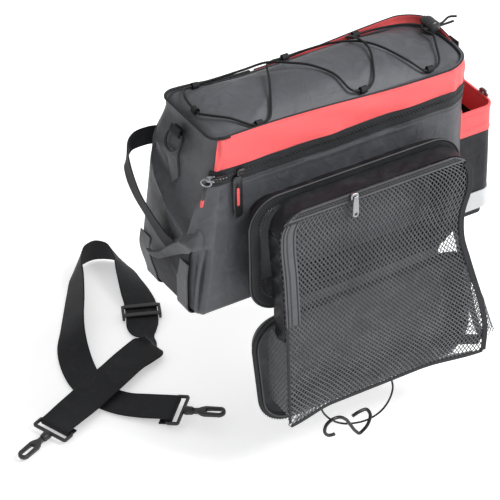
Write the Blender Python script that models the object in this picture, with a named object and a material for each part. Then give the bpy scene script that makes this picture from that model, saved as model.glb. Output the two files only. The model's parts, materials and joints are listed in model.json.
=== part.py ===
"""Bicycle rack bag, its near pannier unzipped and hanging, with its loose shoulder strap.

Metres, +Z up. The origin is the middle of the bag's foot, where it sits on the rack. X runs
along the bag, with the front (saddle) end at -X. The near side with the open pannier is -Y.
"""
import math

import bmesh
import bpy
import numpy as np
from mathutils import Matrix, Vector

# Bag body
BAG_WIDTH = 0.125
FRONT_TOP = 0.187
FRONT_FOOT = 0.220
REAR_END = 0.172
RIM_HEIGHT = 0.238
FRONT_LIP = 0.009
FRONT_CORNER = 0.016
REAR_CORNER = 0.030
REAR_SWELL = 0.012
FRONT_SWELL = 0.012
FAR_PUFF = 0.014
FOOT_ROUND = 0.010
WALL = 0.0025
GAP = 0.0004
# Lid
LID_RISE = 0.024
LID_DROP = 0.0015
# Collar and main zip
COLLAR_TOP = 0.249
COLLAR_FOOT = 0.205
COLLAR_WALL = 0.0016
ZIP_WIDTH = 0.020
TAPE_WALL = 0.0012
SLIDER_LENGTH = 0.011
SLIDER_WIDTH = 0.009
SLIDER_HEIGHT = 0.0042
CORD_PULL_LENGTH = 0.022
CORD_PULL_WIDTH = 0.0036
TAB_PULL_LENGTH = 0.058
TAB_PULL_WIDTH = 0.0125
TAB_PULL_WALL = 0.0022
# Webbing, rings and handle
WEB_WALL = 0.0016
HANDLE_WIDTH = 0.025
RACK_STRAP_WIDTH = 0.025
RING_WIDTH = 0.030
RING_DROP = 0.024
RING_WIRE = 0.0036
RING_TAB_WIDTH = 0.020
# Elastic lacing on the lid
LACING = 0.0030
LOOP_WIDTH = 0.009
LOOP_WALL = 0.0010
LOOP_REACH = 0.0042
LOCK_RADIUS = 0.0088
LOCK_LENGTH = 0.021
BUTTON_RADIUS = 0.0058
BUTTON_REACH = 0.0065
BUTTON_TRAVEL = 0.0040
BUTTON_DEPTH = 0.0050
# Side pannier and its hanging half
PANNIER_LENGTH = 0.302
PANNIER_SHIFT = -0.010
PANNIER_TOP = 0.168
PANNIER_FOOT = 0.004
PANNIER_CORNER = 0.042
PANNIER_DEPTH = 0.030
PANNIER_FLARE = 0.020
PIPING = 0.0032
FLAP_LENGTH = 0.324
FLAP_SHIFT = 0.002
FLAP_TAPER = 0.016
FLAP_DROP = 0.174
FLAP_NOTCH = 0.014
FLAP_DEPTH = 0.016
HINGE_LENGTH = 0.200
CLOTH = 0.0016
# Mesh pouch
POUCH_TOP = 0.157
POUCH_FOOT = -0.166
POUCH_DEPTH = 0.030
POUCH_SWELL = 0.004
FLARE = 0.024
NET_WALL = 0.0012
NET_CORD = 0.0042
BAND_WIDTH = 0.011
BINDING_WIDTH = 0.008
PULL_LENGTH = 0.028
PULL_WIDTH = 0.0085
PULL_WALL = 0.0016
PULL_PIN = 0.0011
# Elastic loop and wire hook
ELASTIC = 0.0026
HOOK_WIRE = 0.0034
# Bottle pocket
POCKET_WIDTH = 0.092
POCKET_REACH = 0.042
POCKET_TOP = 0.153
POCKET_FOOT = -0.012
POCKET_RIM = 0.036
REFLECTOR_WIDTH = 0.026
REFLECTOR_RISE = 0.012
# Closed pannier of the far side
FAR_DEPTH = 0.028
# Shoulder strap on the floor
FLOOR = -0.260
STRAP_WIDTH = 0.045
STRAP_WALL = 0.0022
STRAP_REACH = 0.433
BAR = 0.0042
SLIDE_LENGTH = 0.026
COLLAR_RADIUS = 0.0062
STEM_RADIUS = 0.0021
HOOK_LENGTH = 0.046
HOOK_WIDTH = 0.016
HOOK_WALL = 0.0060

HALF = BAG_WIDTH / 2
CLEAR = 0.0003

# The front end's creases, in shares of the half width (0 at the middle, -1 at the near edge)
# and of the rim height, from one end to the other, then their relief and width in shares of
# FRONT_SWELL.
CREASES = (
    # side_1, height_1, side_2, height_2, relief, width
    (-0.90, 0.84, -0.34, 0.41, 0.30, 0.60),
    (0.55, 0.66, -0.34, 0.41, 0.30, 0.60),
    (-0.18, 0.80, -0.30, 0.52, -0.45, 1.90),
    (0.50, 0.25, -0.34, 0.39, 0.25, 0.60),
    (-0.52, 0.36, -0.60, 0.06, -0.40, 0.70),
    (-0.78, 0.20, -0.80, 0.08, 0.30, 0.90),
)

# Rows of the tub's wall, in shares of the rim height.
WALL_ROWS = (0.0, 0.014, 0.042, 0.14, 0.25, 0.37, 0.48, 0.60, 0.72, 0.84, 0.92, 1.0)

# The pouch's edges, from its foot to its top: share of its height, then where the left and the
# right edge lie, in shares of half the pannier's length from the pannier's middle.
POUCH_EDGES = (
    # height, left, right
    (0.00, -0.765, 1.205),
    (0.12, -0.770, 1.215),
    (0.25, -0.775, 1.165),
    (0.38, -0.780, 1.080),
    (0.50, -0.785, 1.000),
    (0.62, -0.795, 0.930),
    (0.72, -0.805, 0.925),
    (0.84, -0.825, 0.990),
    (0.92, -0.825, 0.985),
    (1.00, -0.820, 0.960),
)

# The lacing's route from the lock back to the lock: where it passes, as a share of the lid's
# length from the front and of its half width, and how many cord thicknesses it is lifted.
LACING_ROUTE = (
    # along, side, lift
    (0.960, 0.12, 1.9),
    (0.930, -0.02, 0.7),
    (0.905, -0.36, 0.0),
    (0.872, -0.74, 0.0),
    (0.846, -0.85, 0.0),
    (0.822, -0.85, 0.0),
    (0.798, -0.85, 0.0),
    (0.760, -0.60, 0.0),
    (0.715, -0.10, 0.0),
    (0.668, 0.26, 0.0),
    (0.600, 0.56, 0.0),
    (0.520, 0.80, 0.0),
    (0.480, 0.85, 0.0),
    (0.455, 0.85, 0.0),
    (0.430, 0.85, 0.0),
    (0.390, 0.70, 0.0),
    (0.345, 0.46, 0.0),
    (0.310, 0.05, 0.0),
    (0.265, -0.42, 0.0),
    (0.225, -0.78, 0.0),
    (0.199, -0.85, 0.0),
    (0.175, -0.85, 0.0),
    (0.151, -0.85, 0.0),
    (0.100, -0.62, 0.0),
    (0.056, -0.36, 0.0),
    (0.036, -0.16, 0.0),
    (0.036, 0.00, 0.0),
    (0.036, 0.16, 0.0),
    (0.045, 0.48, 0.0),
    (0.066, 0.80, 0.0),
    (0.087, 0.85, 0.0),
    (0.111, 0.85, 0.0),
    (0.135, 0.85, 0.0),
    (0.200, 0.78, 0.0),
    (0.275, 0.62, 0.6),
    (0.345, 0.46, 1.3),
    (0.400, 0.22, 0.6),
    (0.455, -0.05, 0.0),
    (0.500, -0.45, 0.0),
    (0.520, -0.77, 0.0),
    (0.542, -0.85, 0.0),
    (0.566, -0.85, 0.0),
    (0.590, -0.85, 0.0),
    (0.620, -0.72, 0.0),
    (0.660, -0.30, 0.0),
    (0.676, 0.02, 0.5),
    (0.668, 0.26, 1.3),
    (0.672, 0.54, 0.5),
    (0.684, 0.78, 0.0),
    (0.706, 0.85, 0.0),
    (0.730, 0.85, 0.0),
    (0.754, 0.85, 0.0),
    (0.815, 0.76, 0.0),
    (0.880, 0.58, 0.5),
    (0.925, 0.38, 1.2),
    (0.960, 0.28, 1.9),
)

# Where the seven loops hold the lacing: along and side as above, and the way to the edge in
# quarter turns from +X.
LACE_LOOPS = (
    # along, side, toward
    (0.822, -0.85, -1),
    (0.455, 0.85, 1),
    (0.175, -0.85, -1),
    (0.036, 0.00, 2),
    (0.111, 0.85, 1),
    (0.566, -0.85, -1),
    (0.730, 0.85, 1),
)

# Where round the plan the front end's ring and the two rack straps are.
RING_TURN = 6.42
RACK_STRAP_TURNS = (6.85, 6.05)

# The grab handle's route: turn round the bag's plan, share of the rim height, and its distance
# from the wall in shares of its webbing's width.
HANDLE_ROUTE = (
    # turn, height, away
    (4.86, 0.778, -0.060),
    (4.97, 0.778, 0.040),
    (5.25, 0.785, 0.420),
    (5.60, 0.780, 0.900),
    (5.95, 0.735, 1.150),
    (6.10, 0.665, 1.120),
    (6.20, 0.580, 0.880),
    (6.30, 0.500, 0.560),
    (6.40, 0.430, 0.280),
    (6.50, 0.385, 0.140),
    (6.57, 0.362, 0.050),
    (6.62, 0.350, -0.010),
)

# The elastic loop: shares of the pouch's width from its left edge, and of the rim height below
# the pouch's foot.
ELASTIC_ROUTE = (
    # along, below
    (0.165, 0.000),
    (0.172, 0.030),
    (0.190, 0.070),
    (0.215, 0.110),
    (0.250, 0.150),
    (0.290, 0.180),
    (0.335, 0.200),
    (0.385, 0.212),
    (0.430, 0.208),
    (0.475, 0.185),
    (0.505, 0.145),
    (0.522, 0.100),
    (0.528, 0.055),
    (0.524, 0.020),
    (0.520, 0.000),
)

# The wire hook: along and below as for the elastic, and in front of it (+) or behind (-).
HOOK_ROUTE = (
    # along, below, front
    (0.225, 0.205, 1.0),
    (0.196, 0.198, 1.0),
    (0.176, 0.165, 1.0),
    (0.184, 0.120, 1.0),
    (0.215, 0.098, 1.0),
    (0.250, 0.102, 1.0),
    (0.280, 0.132, 1.0),
    (0.305, 0.185, 1.0),
    (0.335, 0.248, 1.0),
    (0.352, 0.270, 1.0),
    (0.372, 0.258, 1.0),
    (0.400, 0.215, 1.0),
    (0.412, 0.178, 0.2),
    (0.402, 0.150, -0.8),
    (0.370, 0.148, -1.0),
    (0.330, 0.160, -1.0),
)

# The shoulder strap's route from the left ring to the right ring, as it lies.
STRAP_ROUTE = (
    # along and side: its middle line in shares of the strap's reach from the bag's middle
    # lift: height in wall thicknesses; cross: which way its width runs, in degrees from +X
    # bank: how steeply the width rises that way, in degrees; wide: share of its full width
    # along, side, lift, cross, bank, wide
    (-0.745, 0.300, 4.4, 114, 4, 1.00),
    (-0.700, 0.320, 3.8, 114, 8, 1.00),
    (-0.640, 0.345, 3.4, 114, 12, 1.00),
    (-0.570, 0.375, 4.2, 115, 12, 1.00),
    (-0.500, 0.407, 4.8, 116, 10, 1.00),
    (-0.430, 0.445, 4.2, 114, 8, 1.02),
    (-0.372, 0.469, 3.6, 98, 7, 1.12),
    (-0.330, 0.489, 3.0, 82, 6, 1.24),
    (-0.316, 0.527, 1.2, 101, 3, 1.10),
    (-0.310, 0.569, 0.6, 122, 0, 1.00),
    (-0.297, 0.608, 1.0, 143, 0, 1.00),
    (-0.282, 0.636, 1.8, 156, 0, 1.00),
    (-0.268, 0.668, 2.0, 157, 0, 1.00),
    (-0.252, 0.705, 1.8, 159, 2, 1.00),
    (-0.238, 0.760, 0.8, 166, 14, 1.00),
    (-0.224, 0.830, 0.2, 169, 34, 1.00),
    (-0.212, 0.900, 0.2, 178, 52, 1.00),
    (-0.222, 0.968, 0.2, 207, 66, 1.00),
    (-0.262, 1.000, 0.2, 255, 72, 1.00),
    (-0.312, 0.992, 0.2, 300, 72, 1.00),
    (-0.358, 0.945, 0.2, 324, 66, 1.00),
    (-0.402, 0.868, 0.2, 330, 55, 1.00),
    (-0.455, 0.776, 0.2, 330, 46, 1.00),
    (-0.503, 0.695, 0.2, 331, 40, 1.00),
    (-0.540, 0.626, 0.2, 337, 26, 1.00),
    (-0.568, 0.538, 0.2, 347, 8, 1.00),
    (-0.580, 0.450, 0.2, 360, 2, 1.00),
    (-0.570, 0.370, 0.2, 377, 0, 1.00),
    (-0.535, 0.300, 0.4, 393, 2, 1.00),
    (-0.488, 0.242, 1.6, 401, 6, 1.00),
    (-0.440, 0.190, 3.8, 403, 6, 1.00),
)
SLIDE_ROW = 12


def material(name, colour, roughness, metallic=0.0):
    """A plain material with one colour, roughness and metallic value."""
    made = bpy.data.materials.new(name)
    made.use_nodes = True
    shader = made.node_tree.nodes["Principled BSDF"]
    shader.inputs["Base Color"].default_value = (*colour, 1.0)
    shader.inputs["Roughness"].default_value = roughness
    shader.inputs["Metallic"].default_value = metallic
    return made


def smooth(share):
    """0 below 0, 1 above 1, and a smooth rise between them."""
    held = np.clip(share, 0.0, 1.0)
    return held * held * (3.0 - 2.0 * held)


def through(knots, values, at):
    """A smooth curve through values at knots, read at the places at."""
    knots = np.asarray(knots, float)
    values = np.asarray(values, float)
    slopes = np.gradient(values, knots, axis=0)
    at = np.clip(np.asarray(at, float), knots[0], knots[-1])
    index = np.clip(np.searchsorted(knots, at, side="right") - 1, 0, len(knots) - 2)
    span = knots[index + 1] - knots[index]
    share = (at - knots[index]) / span
    if values.ndim > 1:
        share = share[:, None]
        span = span[:, None]
    square = share * share
    cube = square * share
    return (
        (2 * cube - 3 * square + 1) * values[index]
        + (cube - 2 * square + share) * span * slopes[index]
        + (3 * square - 2 * cube) * values[index + 1]
        + (cube - square) * span * slopes[index + 1]
    )


def route(points, count):
    """count points evenly spaced along the smooth curve through points."""
    points = np.asarray(points, float)
    steps = np.linalg.norm(np.diff(points, axis=0), axis=1)
    knots = np.concatenate([[0.0], np.cumsum(steps)])
    fine = through(knots, points, np.linspace(0.0, knots[-1], 20 * len(points)))
    lengths = np.concatenate([[0.0], np.cumsum(np.linalg.norm(np.diff(fine, axis=0), axis=1))])
    even = np.linspace(0.0, lengths[-1], count)
    return np.stack([np.interp(even, lengths, fine[:, k]) for k in range(points.shape[1])], axis=1)


def eased(points, steps):
    """The smooth curve through points, with steps places from each point to the next."""
    points = np.asarray(points, float)
    knots = np.arange(len(points))
    return through(knots, points, np.linspace(0, len(points) - 1, steps * (len(points) - 1) + 1))


def add(name, vertices, faces, finish, flat=False):
    """One object from vertices and faces, its faces turned outwards."""
    mesh = bpy.data.meshes.new(name)
    mesh.from_pydata([tuple(v) for v in vertices], [], [tuple(f) for f in faces])
    shape = bmesh.new()
    shape.from_mesh(mesh)
    bmesh.ops.recalc_face_normals(shape, faces=shape.faces)
    shape.to_mesh(mesh)
    shape.free()
    mesh.materials.append(finish)
    if not flat:
        mesh.shade_smooth()
        mesh.set_sharp_from_angle(angle=math.radians(40.0))
    made = bpy.data.objects.new(name, mesh)
    bpy.context.scene.collection.objects.link(made)
    return made


def ring_faces(rings, count, offset=0):
    """Faces between neighbouring rings of count points each, numbered from offset."""
    faces = []
    for ring in range(rings - 1):
        for place in range(count):
            after = (place + 1) % count
            low = offset + ring * count
            faces.append((low + place, low + after, low + count + after, low + count + place))
    return faces


def band(name, outer, inner, finish, flat=False):
    """A wall that closes on itself round the way, from two stacks of rings."""
    rings, count = outer.shape[:2]
    vertices = np.concatenate([outer.reshape(-1, 3), inner.reshape(-1, 3)])
    shift = rings * count
    faces = ring_faces(rings, count) + ring_faces(rings, count, shift)
    for place in range(count):
        after = (place + 1) % count
        top = (rings - 1) * count
        faces.append((place, after, shift + after, shift + place))
        faces.append((top + place, top + after, shift + top + after, shift + top + place))
    return add(name, vertices, faces, finish, flat)


def cup(name, outer, inner, finish):
    """A wall closed at its first rings by two middle points, and open at its last rings."""
    rings, count = outer.shape[:2]
    inner_rings = inner.shape[0]
    middle = [outer[0].mean(axis=0), inner[0].mean(axis=0)]
    vertices = np.concatenate([outer.reshape(-1, 3), inner.reshape(-1, 3), middle])
    shift = rings * count
    centre = shift + inner_rings * count
    faces = ring_faces(rings, count) + ring_faces(inner_rings, count, shift)
    top = (rings - 1) * count
    inner_top = shift + (inner_rings - 1) * count
    for place in range(count):
        after = (place + 1) % count
        faces.append((place, after, centre))
        faces.append((shift + place, shift + after, centre + 1))
        faces.append((top + place, top + after, inner_top + after, inner_top + place))
    return add(name, vertices, faces, finish)


def normals(grid):
    """Unit normals of a grid of points."""
    along = np.gradient(grid, axis=0)
    across = np.gradient(grid, axis=1)
    found = np.cross(along, across)
    return found / np.maximum(np.linalg.norm(found, axis=2, keepdims=True), 1e-12)


def panel(name, grid, wall, finish, rest="middle"):
    """A sheet of the given wall on a grid of points. rest says which face lies on the grid."""
    turned = normals(grid) * wall
    lift = {"middle": 0.5, "under": 1.0, "over": 0.0}[rest]
    front = grid + turned * lift
    back = grid + turned * (lift - 1.0)
    rows, columns = grid.shape[:2]
    vertices = np.concatenate([front.reshape(-1, 3), back.reshape(-1, 3)])
    shift = rows * columns
    faces = []
    for row in range(rows - 1):
        for column in range(columns - 1):
            corner = row * columns + column
            square = (corner, corner + 1, corner + columns + 1, corner + columns)
            faces.append(square)
            faces.append(tuple(shift + k for k in reversed(square)))
    rim = [k for k in range(columns)]
    rim += [row * columns + columns - 1 for row in range(1, rows)]
    rim += [(rows - 1) * columns + k for k in range(columns - 2, -1, -1)]
    rim += [row * columns for row in range(rows - 2, 0, -1)]
    for place, start in enumerate(rim):
        after = rim[(place + 1) % len(rim)]
        faces.append((start, after, shift + after, shift + start))
    return add(name, vertices, faces, finish)


def net(name, grid, wall, cord, finish):
    """A sheet with a four-sided gap in each square of the grid, cord thick between the gaps."""
    turned = normals(grid) * wall / 2
    rows, columns = grid.shape[:2]
    corners = np.concatenate([(grid + turned).reshape(-1, 3), (grid - turned).reshape(-1, 3)])
    vertices = list(corners)
    shift = rows * columns
    faces = []
    for row in range(rows - 1):
        for column in range(columns - 1):
            corner = row * columns + column
            square = (corner, corner + 1, corner + columns + 1, corner + columns)
            holes = []
            for side in (0, shift):
                points = np.array([corners[side + k] for k in square])
                middle = points.mean(axis=0)
                start = len(vertices)
                for k in range(4):
                    edge = (points[k] + points[(k + 1) % 4]) / 2
                    reach = np.linalg.norm(edge - middle)
                    vertices.append(edge + (middle - edge) / reach * cord / 2)
                holes.append([start + k for k in range(4)])
            for side, hole in zip((0, shift), holes):
                for k in range(4):
                    after = (k + 1) % 4
                    one, two = side + square[k], side + square[after]
                    before = hole[(k - 1) % 4]
                    tris = [(one, two, hole[k]), (one, hole[k], before)]
                    faces += tris if side == 0 else [tuple(reversed(t)) for t in tris]
            for k in range(4):
                after = (k + 1) % 4
                faces.append((holes[0][k], holes[1][k], holes[1][after], holes[0][after]))
    rim = [k for k in range(columns)]
    rim += [row * columns + columns - 1 for row in range(1, rows)]
    rim += [(rows - 1) * columns + k for k in range(columns - 2, -1, -1)]
    rim += [row * columns for row in range(rows - 2, 0, -1)]
    for place, start in enumerate(rim):
        after = rim[(place + 1) % len(rim)]
        faces.append((start, after, shift + after, shift + start))
    return add(name, np.array(vertices), faces, finish)


def frames(path, closed=False):
    """Unit tangents and two steady cross directions along a path."""
    if closed:
        tangents = np.roll(path, -1, axis=0) - np.roll(path, 1, axis=0)
    else:
        tangents = np.gradient(path, axis=0)
    tangents /= np.linalg.norm(tangents, axis=1, keepdims=True)
    start = np.array([0.0, 0.0, 1.0])
    if abs(tangents[0] @ start) > 0.9:
        start = np.array([0.0, 1.0, 0.0])
    sides = []
    side = start
    for tangent in tangents:
        side = side - tangent * (side @ tangent)
        side /= np.linalg.norm(side)
        sides.append(side)
    sides = np.array(sides)
    return tangents, sides, np.cross(tangents, sides)


def tube(name, path, radius, finish, sides=6, closed=False):
    """A round bar along a path."""
    path = np.asarray(path, float)
    _, first, second = frames(path, closed)
    turn = np.arange(sides) * 2 * math.pi / sides
    rings = path[:, None] + radius * (
        np.cos(turn)[None, :, None] * first[:, None] + np.sin(turn)[None, :, None] * second[:, None]
    )
    if closed:
        count = len(path)
        faces = []
        for ring in range(count):
            after = (ring + 1) % count
            for k in range(sides):
                more = (k + 1) % sides
                faces.append((ring * sides + k, ring * sides + more,
                              after * sides + more, after * sides + k))
        return add(name, rings.reshape(-1, 3), faces, finish)
    faces = ring_faces(len(path), sides)
    faces.append(tuple(range(sides)))
    faces.append(tuple((len(path) - 1) * sides + k for k in range(sides)))
    return add(name, rings.reshape(-1, 3), faces, finish)


def ribbon(name, centres, sides, wall, finish):
    """A flat strap: centres and the half-width vectors to its left edge, with a square wall."""
    grid = np.stack([centres - sides, centres + sides], axis=1)
    tangents = np.gradient(centres, axis=0)
    turned = np.cross(tangents, sides)
    turned /= np.linalg.norm(turned, axis=1, keepdims=True)
    front = grid + turned[:, None] * wall / 2
    back = grid - turned[:, None] * wall / 2
    count = len(centres)
    rings = np.stack([front[:, 0], front[:, 1], back[:, 1], back[:, 0]], axis=1)
    faces = ring_faces(count, 4)
    faces.append((0, 1, 2, 3))
    faces.append(tuple((count - 1) * 4 + k for k in range(4)))
    return add(name, rings.reshape(-1, 3), faces, finish)


def box(name, size, finish, place=None):
    """A block of the given size, turned and moved by place."""
    shape = bmesh.new()
    bmesh.ops.create_cube(shape, size=1.0)
    bmesh.ops.scale(shape, vec=size, verts=shape.verts)
    mesh = bpy.data.meshes.new(name)
    shape.to_mesh(mesh)
    shape.free()
    if finish:
        mesh.materials.append(finish)
    made = bpy.data.objects.new(name, mesh)
    bpy.context.scene.collection.objects.link(made)
    if place is not None:
        mesh.transform(place)
    return made


def turned_solid(name, profile, finish, sides, place):
    """A solid turned about +X from rows of (along, radius) that start and end on the axis."""
    turn = np.arange(sides) * 2 * math.pi / sides
    rings = []
    for along, radius in profile[1:-1]:
        rings.append([(along, radius * math.cos(t), radius * math.sin(t)) for t in turn])
    vertices = [v for ring in rings for v in ring]
    faces = ring_faces(len(rings), sides)
    first = len(vertices)
    vertices.append((profile[0][0], 0.0, 0.0))
    vertices.append((profile[-1][0], 0.0, 0.0))
    last = (len(rings) - 1) * sides
    for k in range(sides):
        after = (k + 1) % sides
        faces.append((k, after, first))
        faces.append((last + k, last + after, first + 1))
    made = add(name, vertices, faces, finish)
    made.data.transform(place)
    return made


def outline_solid(name, outline, wall, finish, place):
    """A flat plate of the given outline in its own XY, wall thick about it."""
    count = len(outline)
    low = [(x, y, -wall / 2) for x, y in outline]
    high = [(x, y, wall / 2) for x, y in outline]
    faces = [tuple(range(count)), tuple(range(2 * count - 1, count - 1, -1))]
    faces += [(k, (k + 1) % count, count + (k + 1) % count, count + k) for k in range(count)]
    made = add(name, low + high, faces, finish, flat=True)
    made.data.transform(place)
    return made


def combine(target, tool, operation):
    """Cuts tool from target, or joins it to it, and removes tool."""
    change = target.modifiers.new(operation.lower(), "BOOLEAN")
    change.operation = operation
    change.solver = "EXACT"
    change.object = tool
    bpy.context.view_layer.update()
    seen = target.evaluated_get(bpy.context.evaluated_depsgraph_get())
    mesh = bpy.data.meshes.new_from_object(seen)
    target.modifiers.clear()
    target.data = mesh
    bpy.data.objects.remove(tool)
    return target


def set_origin(made, point):
    """Puts the object's origin at point and leaves its mesh where it is."""
    made.data.transform(Matrix.Translation(-Vector(point)))
    made.location = point


def basis(origin, first, second):
    """The matrix whose X and Y run along first and second from origin."""
    x = Vector(first).normalized()
    z = x.cross(Vector(second)).normalized()
    y = z.cross(x)
    made = Matrix((x, y, z)).transposed().to_4x4()
    made.translation = Vector(origin)
    return made


def rim_at(x):
    """Height of the wall's top edge: it rises at the front end."""
    return RIM_HEIGHT + FRONT_LIP * smooth((-x - FRONT_TOP + 0.9 * BAG_WIDTH) / (0.8 * BAG_WIDTH))


def plan_edges(height):
    """Front and rear end of the bag's plan at a height."""
    share = np.clip(height / RIM_HEIGHT, 0.0, 1.05)
    front = -FRONT_FOOT + (FRONT_FOOT - FRONT_TOP) * share
    return front, REAR_END + 0.0 * share


def wall_point(turn, height, out):
    """A point out from the side wall's facets: straight between the tub's own rows and columns."""
    turn, height, out = np.broadcast_arrays(*[np.asarray(v, float) for v in (turn, height, out)])
    shape = turn.shape
    turn, height, out = np.mod(turn.ravel(), 8.0), height.ravel(), out.ravel()
    columns = np.append(turns(0.0, 8.0)[:-1], 8.0)
    rows = np.append(WALL_ROWS, 1.1) * RIM_HEIGHT
    column = np.clip(np.searchsorted(columns, turn, side="right") - 1, 0, len(columns) - 2)
    row = np.clip(np.searchsorted(rows, height, side="right") - 1, 0, len(rows) - 2)
    across = ((turn - columns[column]) / (columns[column + 1] - columns[column]))[:, None]
    up = ((height - rows[row]) / (rows[row + 1] - rows[row]))[:, None]
    low = (shaped(columns[column], rows[row], out) * (1 - across)
           + shaped(columns[column + 1], rows[row], out) * across)
    high = (shaped(columns[column], rows[row + 1], out) * (1 - across)
            + shaped(columns[column + 1], rows[row + 1], out) * across)
    return (low * (1 - up) + high * up).reshape(shape + (3,))


def shaped(turn, height, out):
    """A point out from the bag's smooth side wall at a height.

    turn runs 0 to 8 round the plan: the near side, the rear near corner, the rear end, the
    rear far corner, the far side, the front far corner, the front end, the front near corner.
    """
    turn, height, out = np.broadcast_arrays(*[np.asarray(v, float) for v in (turn, height, out)])
    turn = np.mod(turn, 8.0)
    part = np.floor(turn).astype(int)
    share = turn - part
    front, rear = plan_edges(height)
    near_front, far_front = front + FRONT_CORNER, front + FRONT_CORNER
    back = rear - REAR_CORNER
    x = np.select(
        [part == 0, part == 2, part == 4, part == 6],
        [near_front + (back - near_front) * share, rear, back + (far_front - back) * share, front],
        0.0,
    )
    side = HALF - REAR_CORNER
    fore = HALF - FRONT_CORNER
    y = np.select(
        [part == 0, part == 2, part == 4, part == 6],
        [-HALF, -side + 2 * side * share, HALF, fore - 2 * fore * share],
        0.0,
    )
    nx = np.select([part == 2, part == 6], [1.0, -1.0], 0.0)
    ny = np.select([part == 0, part == 4], [-1.0, 1.0], 0.0)
    for corner, cx, cy, radius, begin in (
        (1, back, -side, REAR_CORNER, -90.0),
        (3, back, side, REAR_CORNER, 0.0),
        (5, far_front, fore, FRONT_CORNER, 90.0),
        (7, near_front, -fore, FRONT_CORNER, 180.0),
    ):
        angle = np.radians(begin + 90.0 * share)
        here = part == corner
        nx = np.where(here, np.cos(angle), nx)
        ny = np.where(here, np.sin(angle), ny)
        x = np.where(here, cx + radius * np.cos(angle), x)
        y = np.where(here, cy + radius * np.sin(angle), y)
    x = x + out * nx
    y = y + out * ny
    return np.stack([x + swell(x, y, height), y, height], axis=-1)


def swell(x, y, height):
    """How far the cloth stands out along X: the rear end's roundness and the front's relief."""
    side = np.clip(y / HALF, -1.0, 1.0)
    share = np.clip(height / RIM_HEIGHT, 0.0, 1.05)
    front, rear = plan_edges(height)
    rear_part = smooth((x - rear + 2 * REAR_CORNER) / (2 * REAR_CORNER))
    front_part = smooth((front + 3 * FRONT_CORNER - x) / (3 * FRONT_CORNER))
    lift = smooth(share / 0.25) * smooth((1.0 - share) / 0.18)
    relief = FRONT_SWELL * (1.0 - side**2) * lift * 0.6
    relief = relief + FAR_PUFF * smooth((side + 0.6) / 1.6) * lift
    for side_1, height_1, side_2, height_2, depth, width in CREASES:
        ax, az = side_1 * HALF, height_1 * RIM_HEIGHT
        bx, bz = side_2 * HALF, height_2 * RIM_HEIGHT
        length = (bx - ax) ** 2 + (bz - az) ** 2
        along = ((y - ax) * (bx - ax) + (height - az) * (bz - az)) / length
        along = np.clip(along, 0.0, 1.0)
        away = (y - ax - along * (bx - ax)) ** 2 + (height - az - along * (bz - az)) ** 2
        relief = relief + depth * FRONT_SWELL * np.exp(-away / (width * FRONT_SWELL) ** 2)
    return REAR_SWELL * (1.0 - side**2) * rear_part - relief * front_part


def turns(start, end, side_steps=5, corner_steps=3, end_steps=5):
    """Turn values from start to end, with the steps that each stretch of the plan needs."""
    steps = {0: side_steps, 4: side_steps, 2: end_steps, 6: 2 * end_steps - 1}
    found = []
    for part in range(math.floor(start), math.ceil(end)):
        count = steps.get(part % 8, corner_steps)
        found += [part + k / count for k in range(count)]
    found.append(math.ceil(end))
    return np.array([start] + [t for t in found if start + 1e-6 < t < end - 1e-6] + [end])


def foot_inset(height):
    """How far the rounded foot edge draws the wall in at a height."""
    below = np.clip(FOOT_ROUND - height, 0.0, FOOT_ROUND)
    return FOOT_ROUND - np.sqrt(np.maximum(FOOT_ROUND**2 - below**2, 0.0))


def patch(name, turn_span, height_span, out, wall, finish):
    """A strip of the given wall, out from the bag's side wall."""
    way = turns(*turn_span)
    rise = wall_rows(*height_span)
    inner = wall_point(way[None, :], rise[:, None], out)
    outer = wall_point(way[None, :], rise[:, None], out + wall)
    return slab(name, outer, inner, finish)


def slab(name, outer, inner, finish):
    """A solid between two grids of points."""
    rows, columns = outer.shape[:2]
    vertices = np.concatenate([outer.reshape(-1, 3), inner.reshape(-1, 3)])
    shift = rows * columns
    faces = []
    for row in range(rows - 1):
        for column in range(columns - 1):
            corner = row * columns + column
            square = (corner, corner + 1, corner + columns + 1, corner + columns)
            faces.append(square)
            faces.append(tuple(shift + k for k in reversed(square)))
    rim = [k for k in range(columns)]
    rim += [row * columns + columns - 1 for row in range(1, rows)]
    rim += [(rows - 1) * columns + k for k in range(columns - 2, -1, -1)]
    rim += [row * columns for row in range(rows - 2, 0, -1)]
    for place, start in enumerate(rim):
        after = rim[(place + 1) % len(rim)]
        faces.append((start, after, shift + after, shift + start))
    return add(name, vertices, faces, finish)


def lid_reach():
    """Middle and half length of the lid."""
    inset = WALL + GAP
    return (REAR_END + REAR_SWELL - FRONT_TOP) / 2, (REAR_END + REAR_SWELL + FRONT_TOP) / 2 - inset


def lid_height(x, y):
    """Height of the lid's upper face: a dome that meets the rim, higher at the front lip."""
    middle, reach = lid_reach()
    half = HALF - WALL - GAP
    away = (np.abs((x - middle) / reach) ** 4 + np.abs(y / half) ** 4) ** 0.25
    dome = LID_RISE * (1.0 - np.clip(away, 0.0, 1.0) ** 2.4)
    return rim_at(x) - LID_DROP + dome


def build_body(cloth):
    """The hollow main compartment with its floor."""
    way = turns(0.0, 8.0)[:-1]
    rises = np.array(WALL_ROWS) * RIM_HEIGHT
    outer = wall_point(way[None, :], rises[:, None], -foot_inset(rises)[:, None])
    inner_rises = np.maximum(rises[1:], WALL)
    inner = wall_point(way[None, :], inner_rises[:, None], -WALL - foot_inset(inner_rises)[:, None])
    lip = rim_at(outer[-1, :, 0])
    outer[-1, :, 2] = lip
    inner[-1, :, 2] = lip
    return cup("body_tub", outer, inner, cloth)


def wall_rows(low, high):
    """Heights from low to high with the tub's own rows between them."""
    rows = np.array(WALL_ROWS) * RIM_HEIGHT
    between = rows[(rows > low + 0.03 * HALF) & (rows < high - 0.03 * HALF)]
    return np.concatenate([[low], between, [high]])


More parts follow.
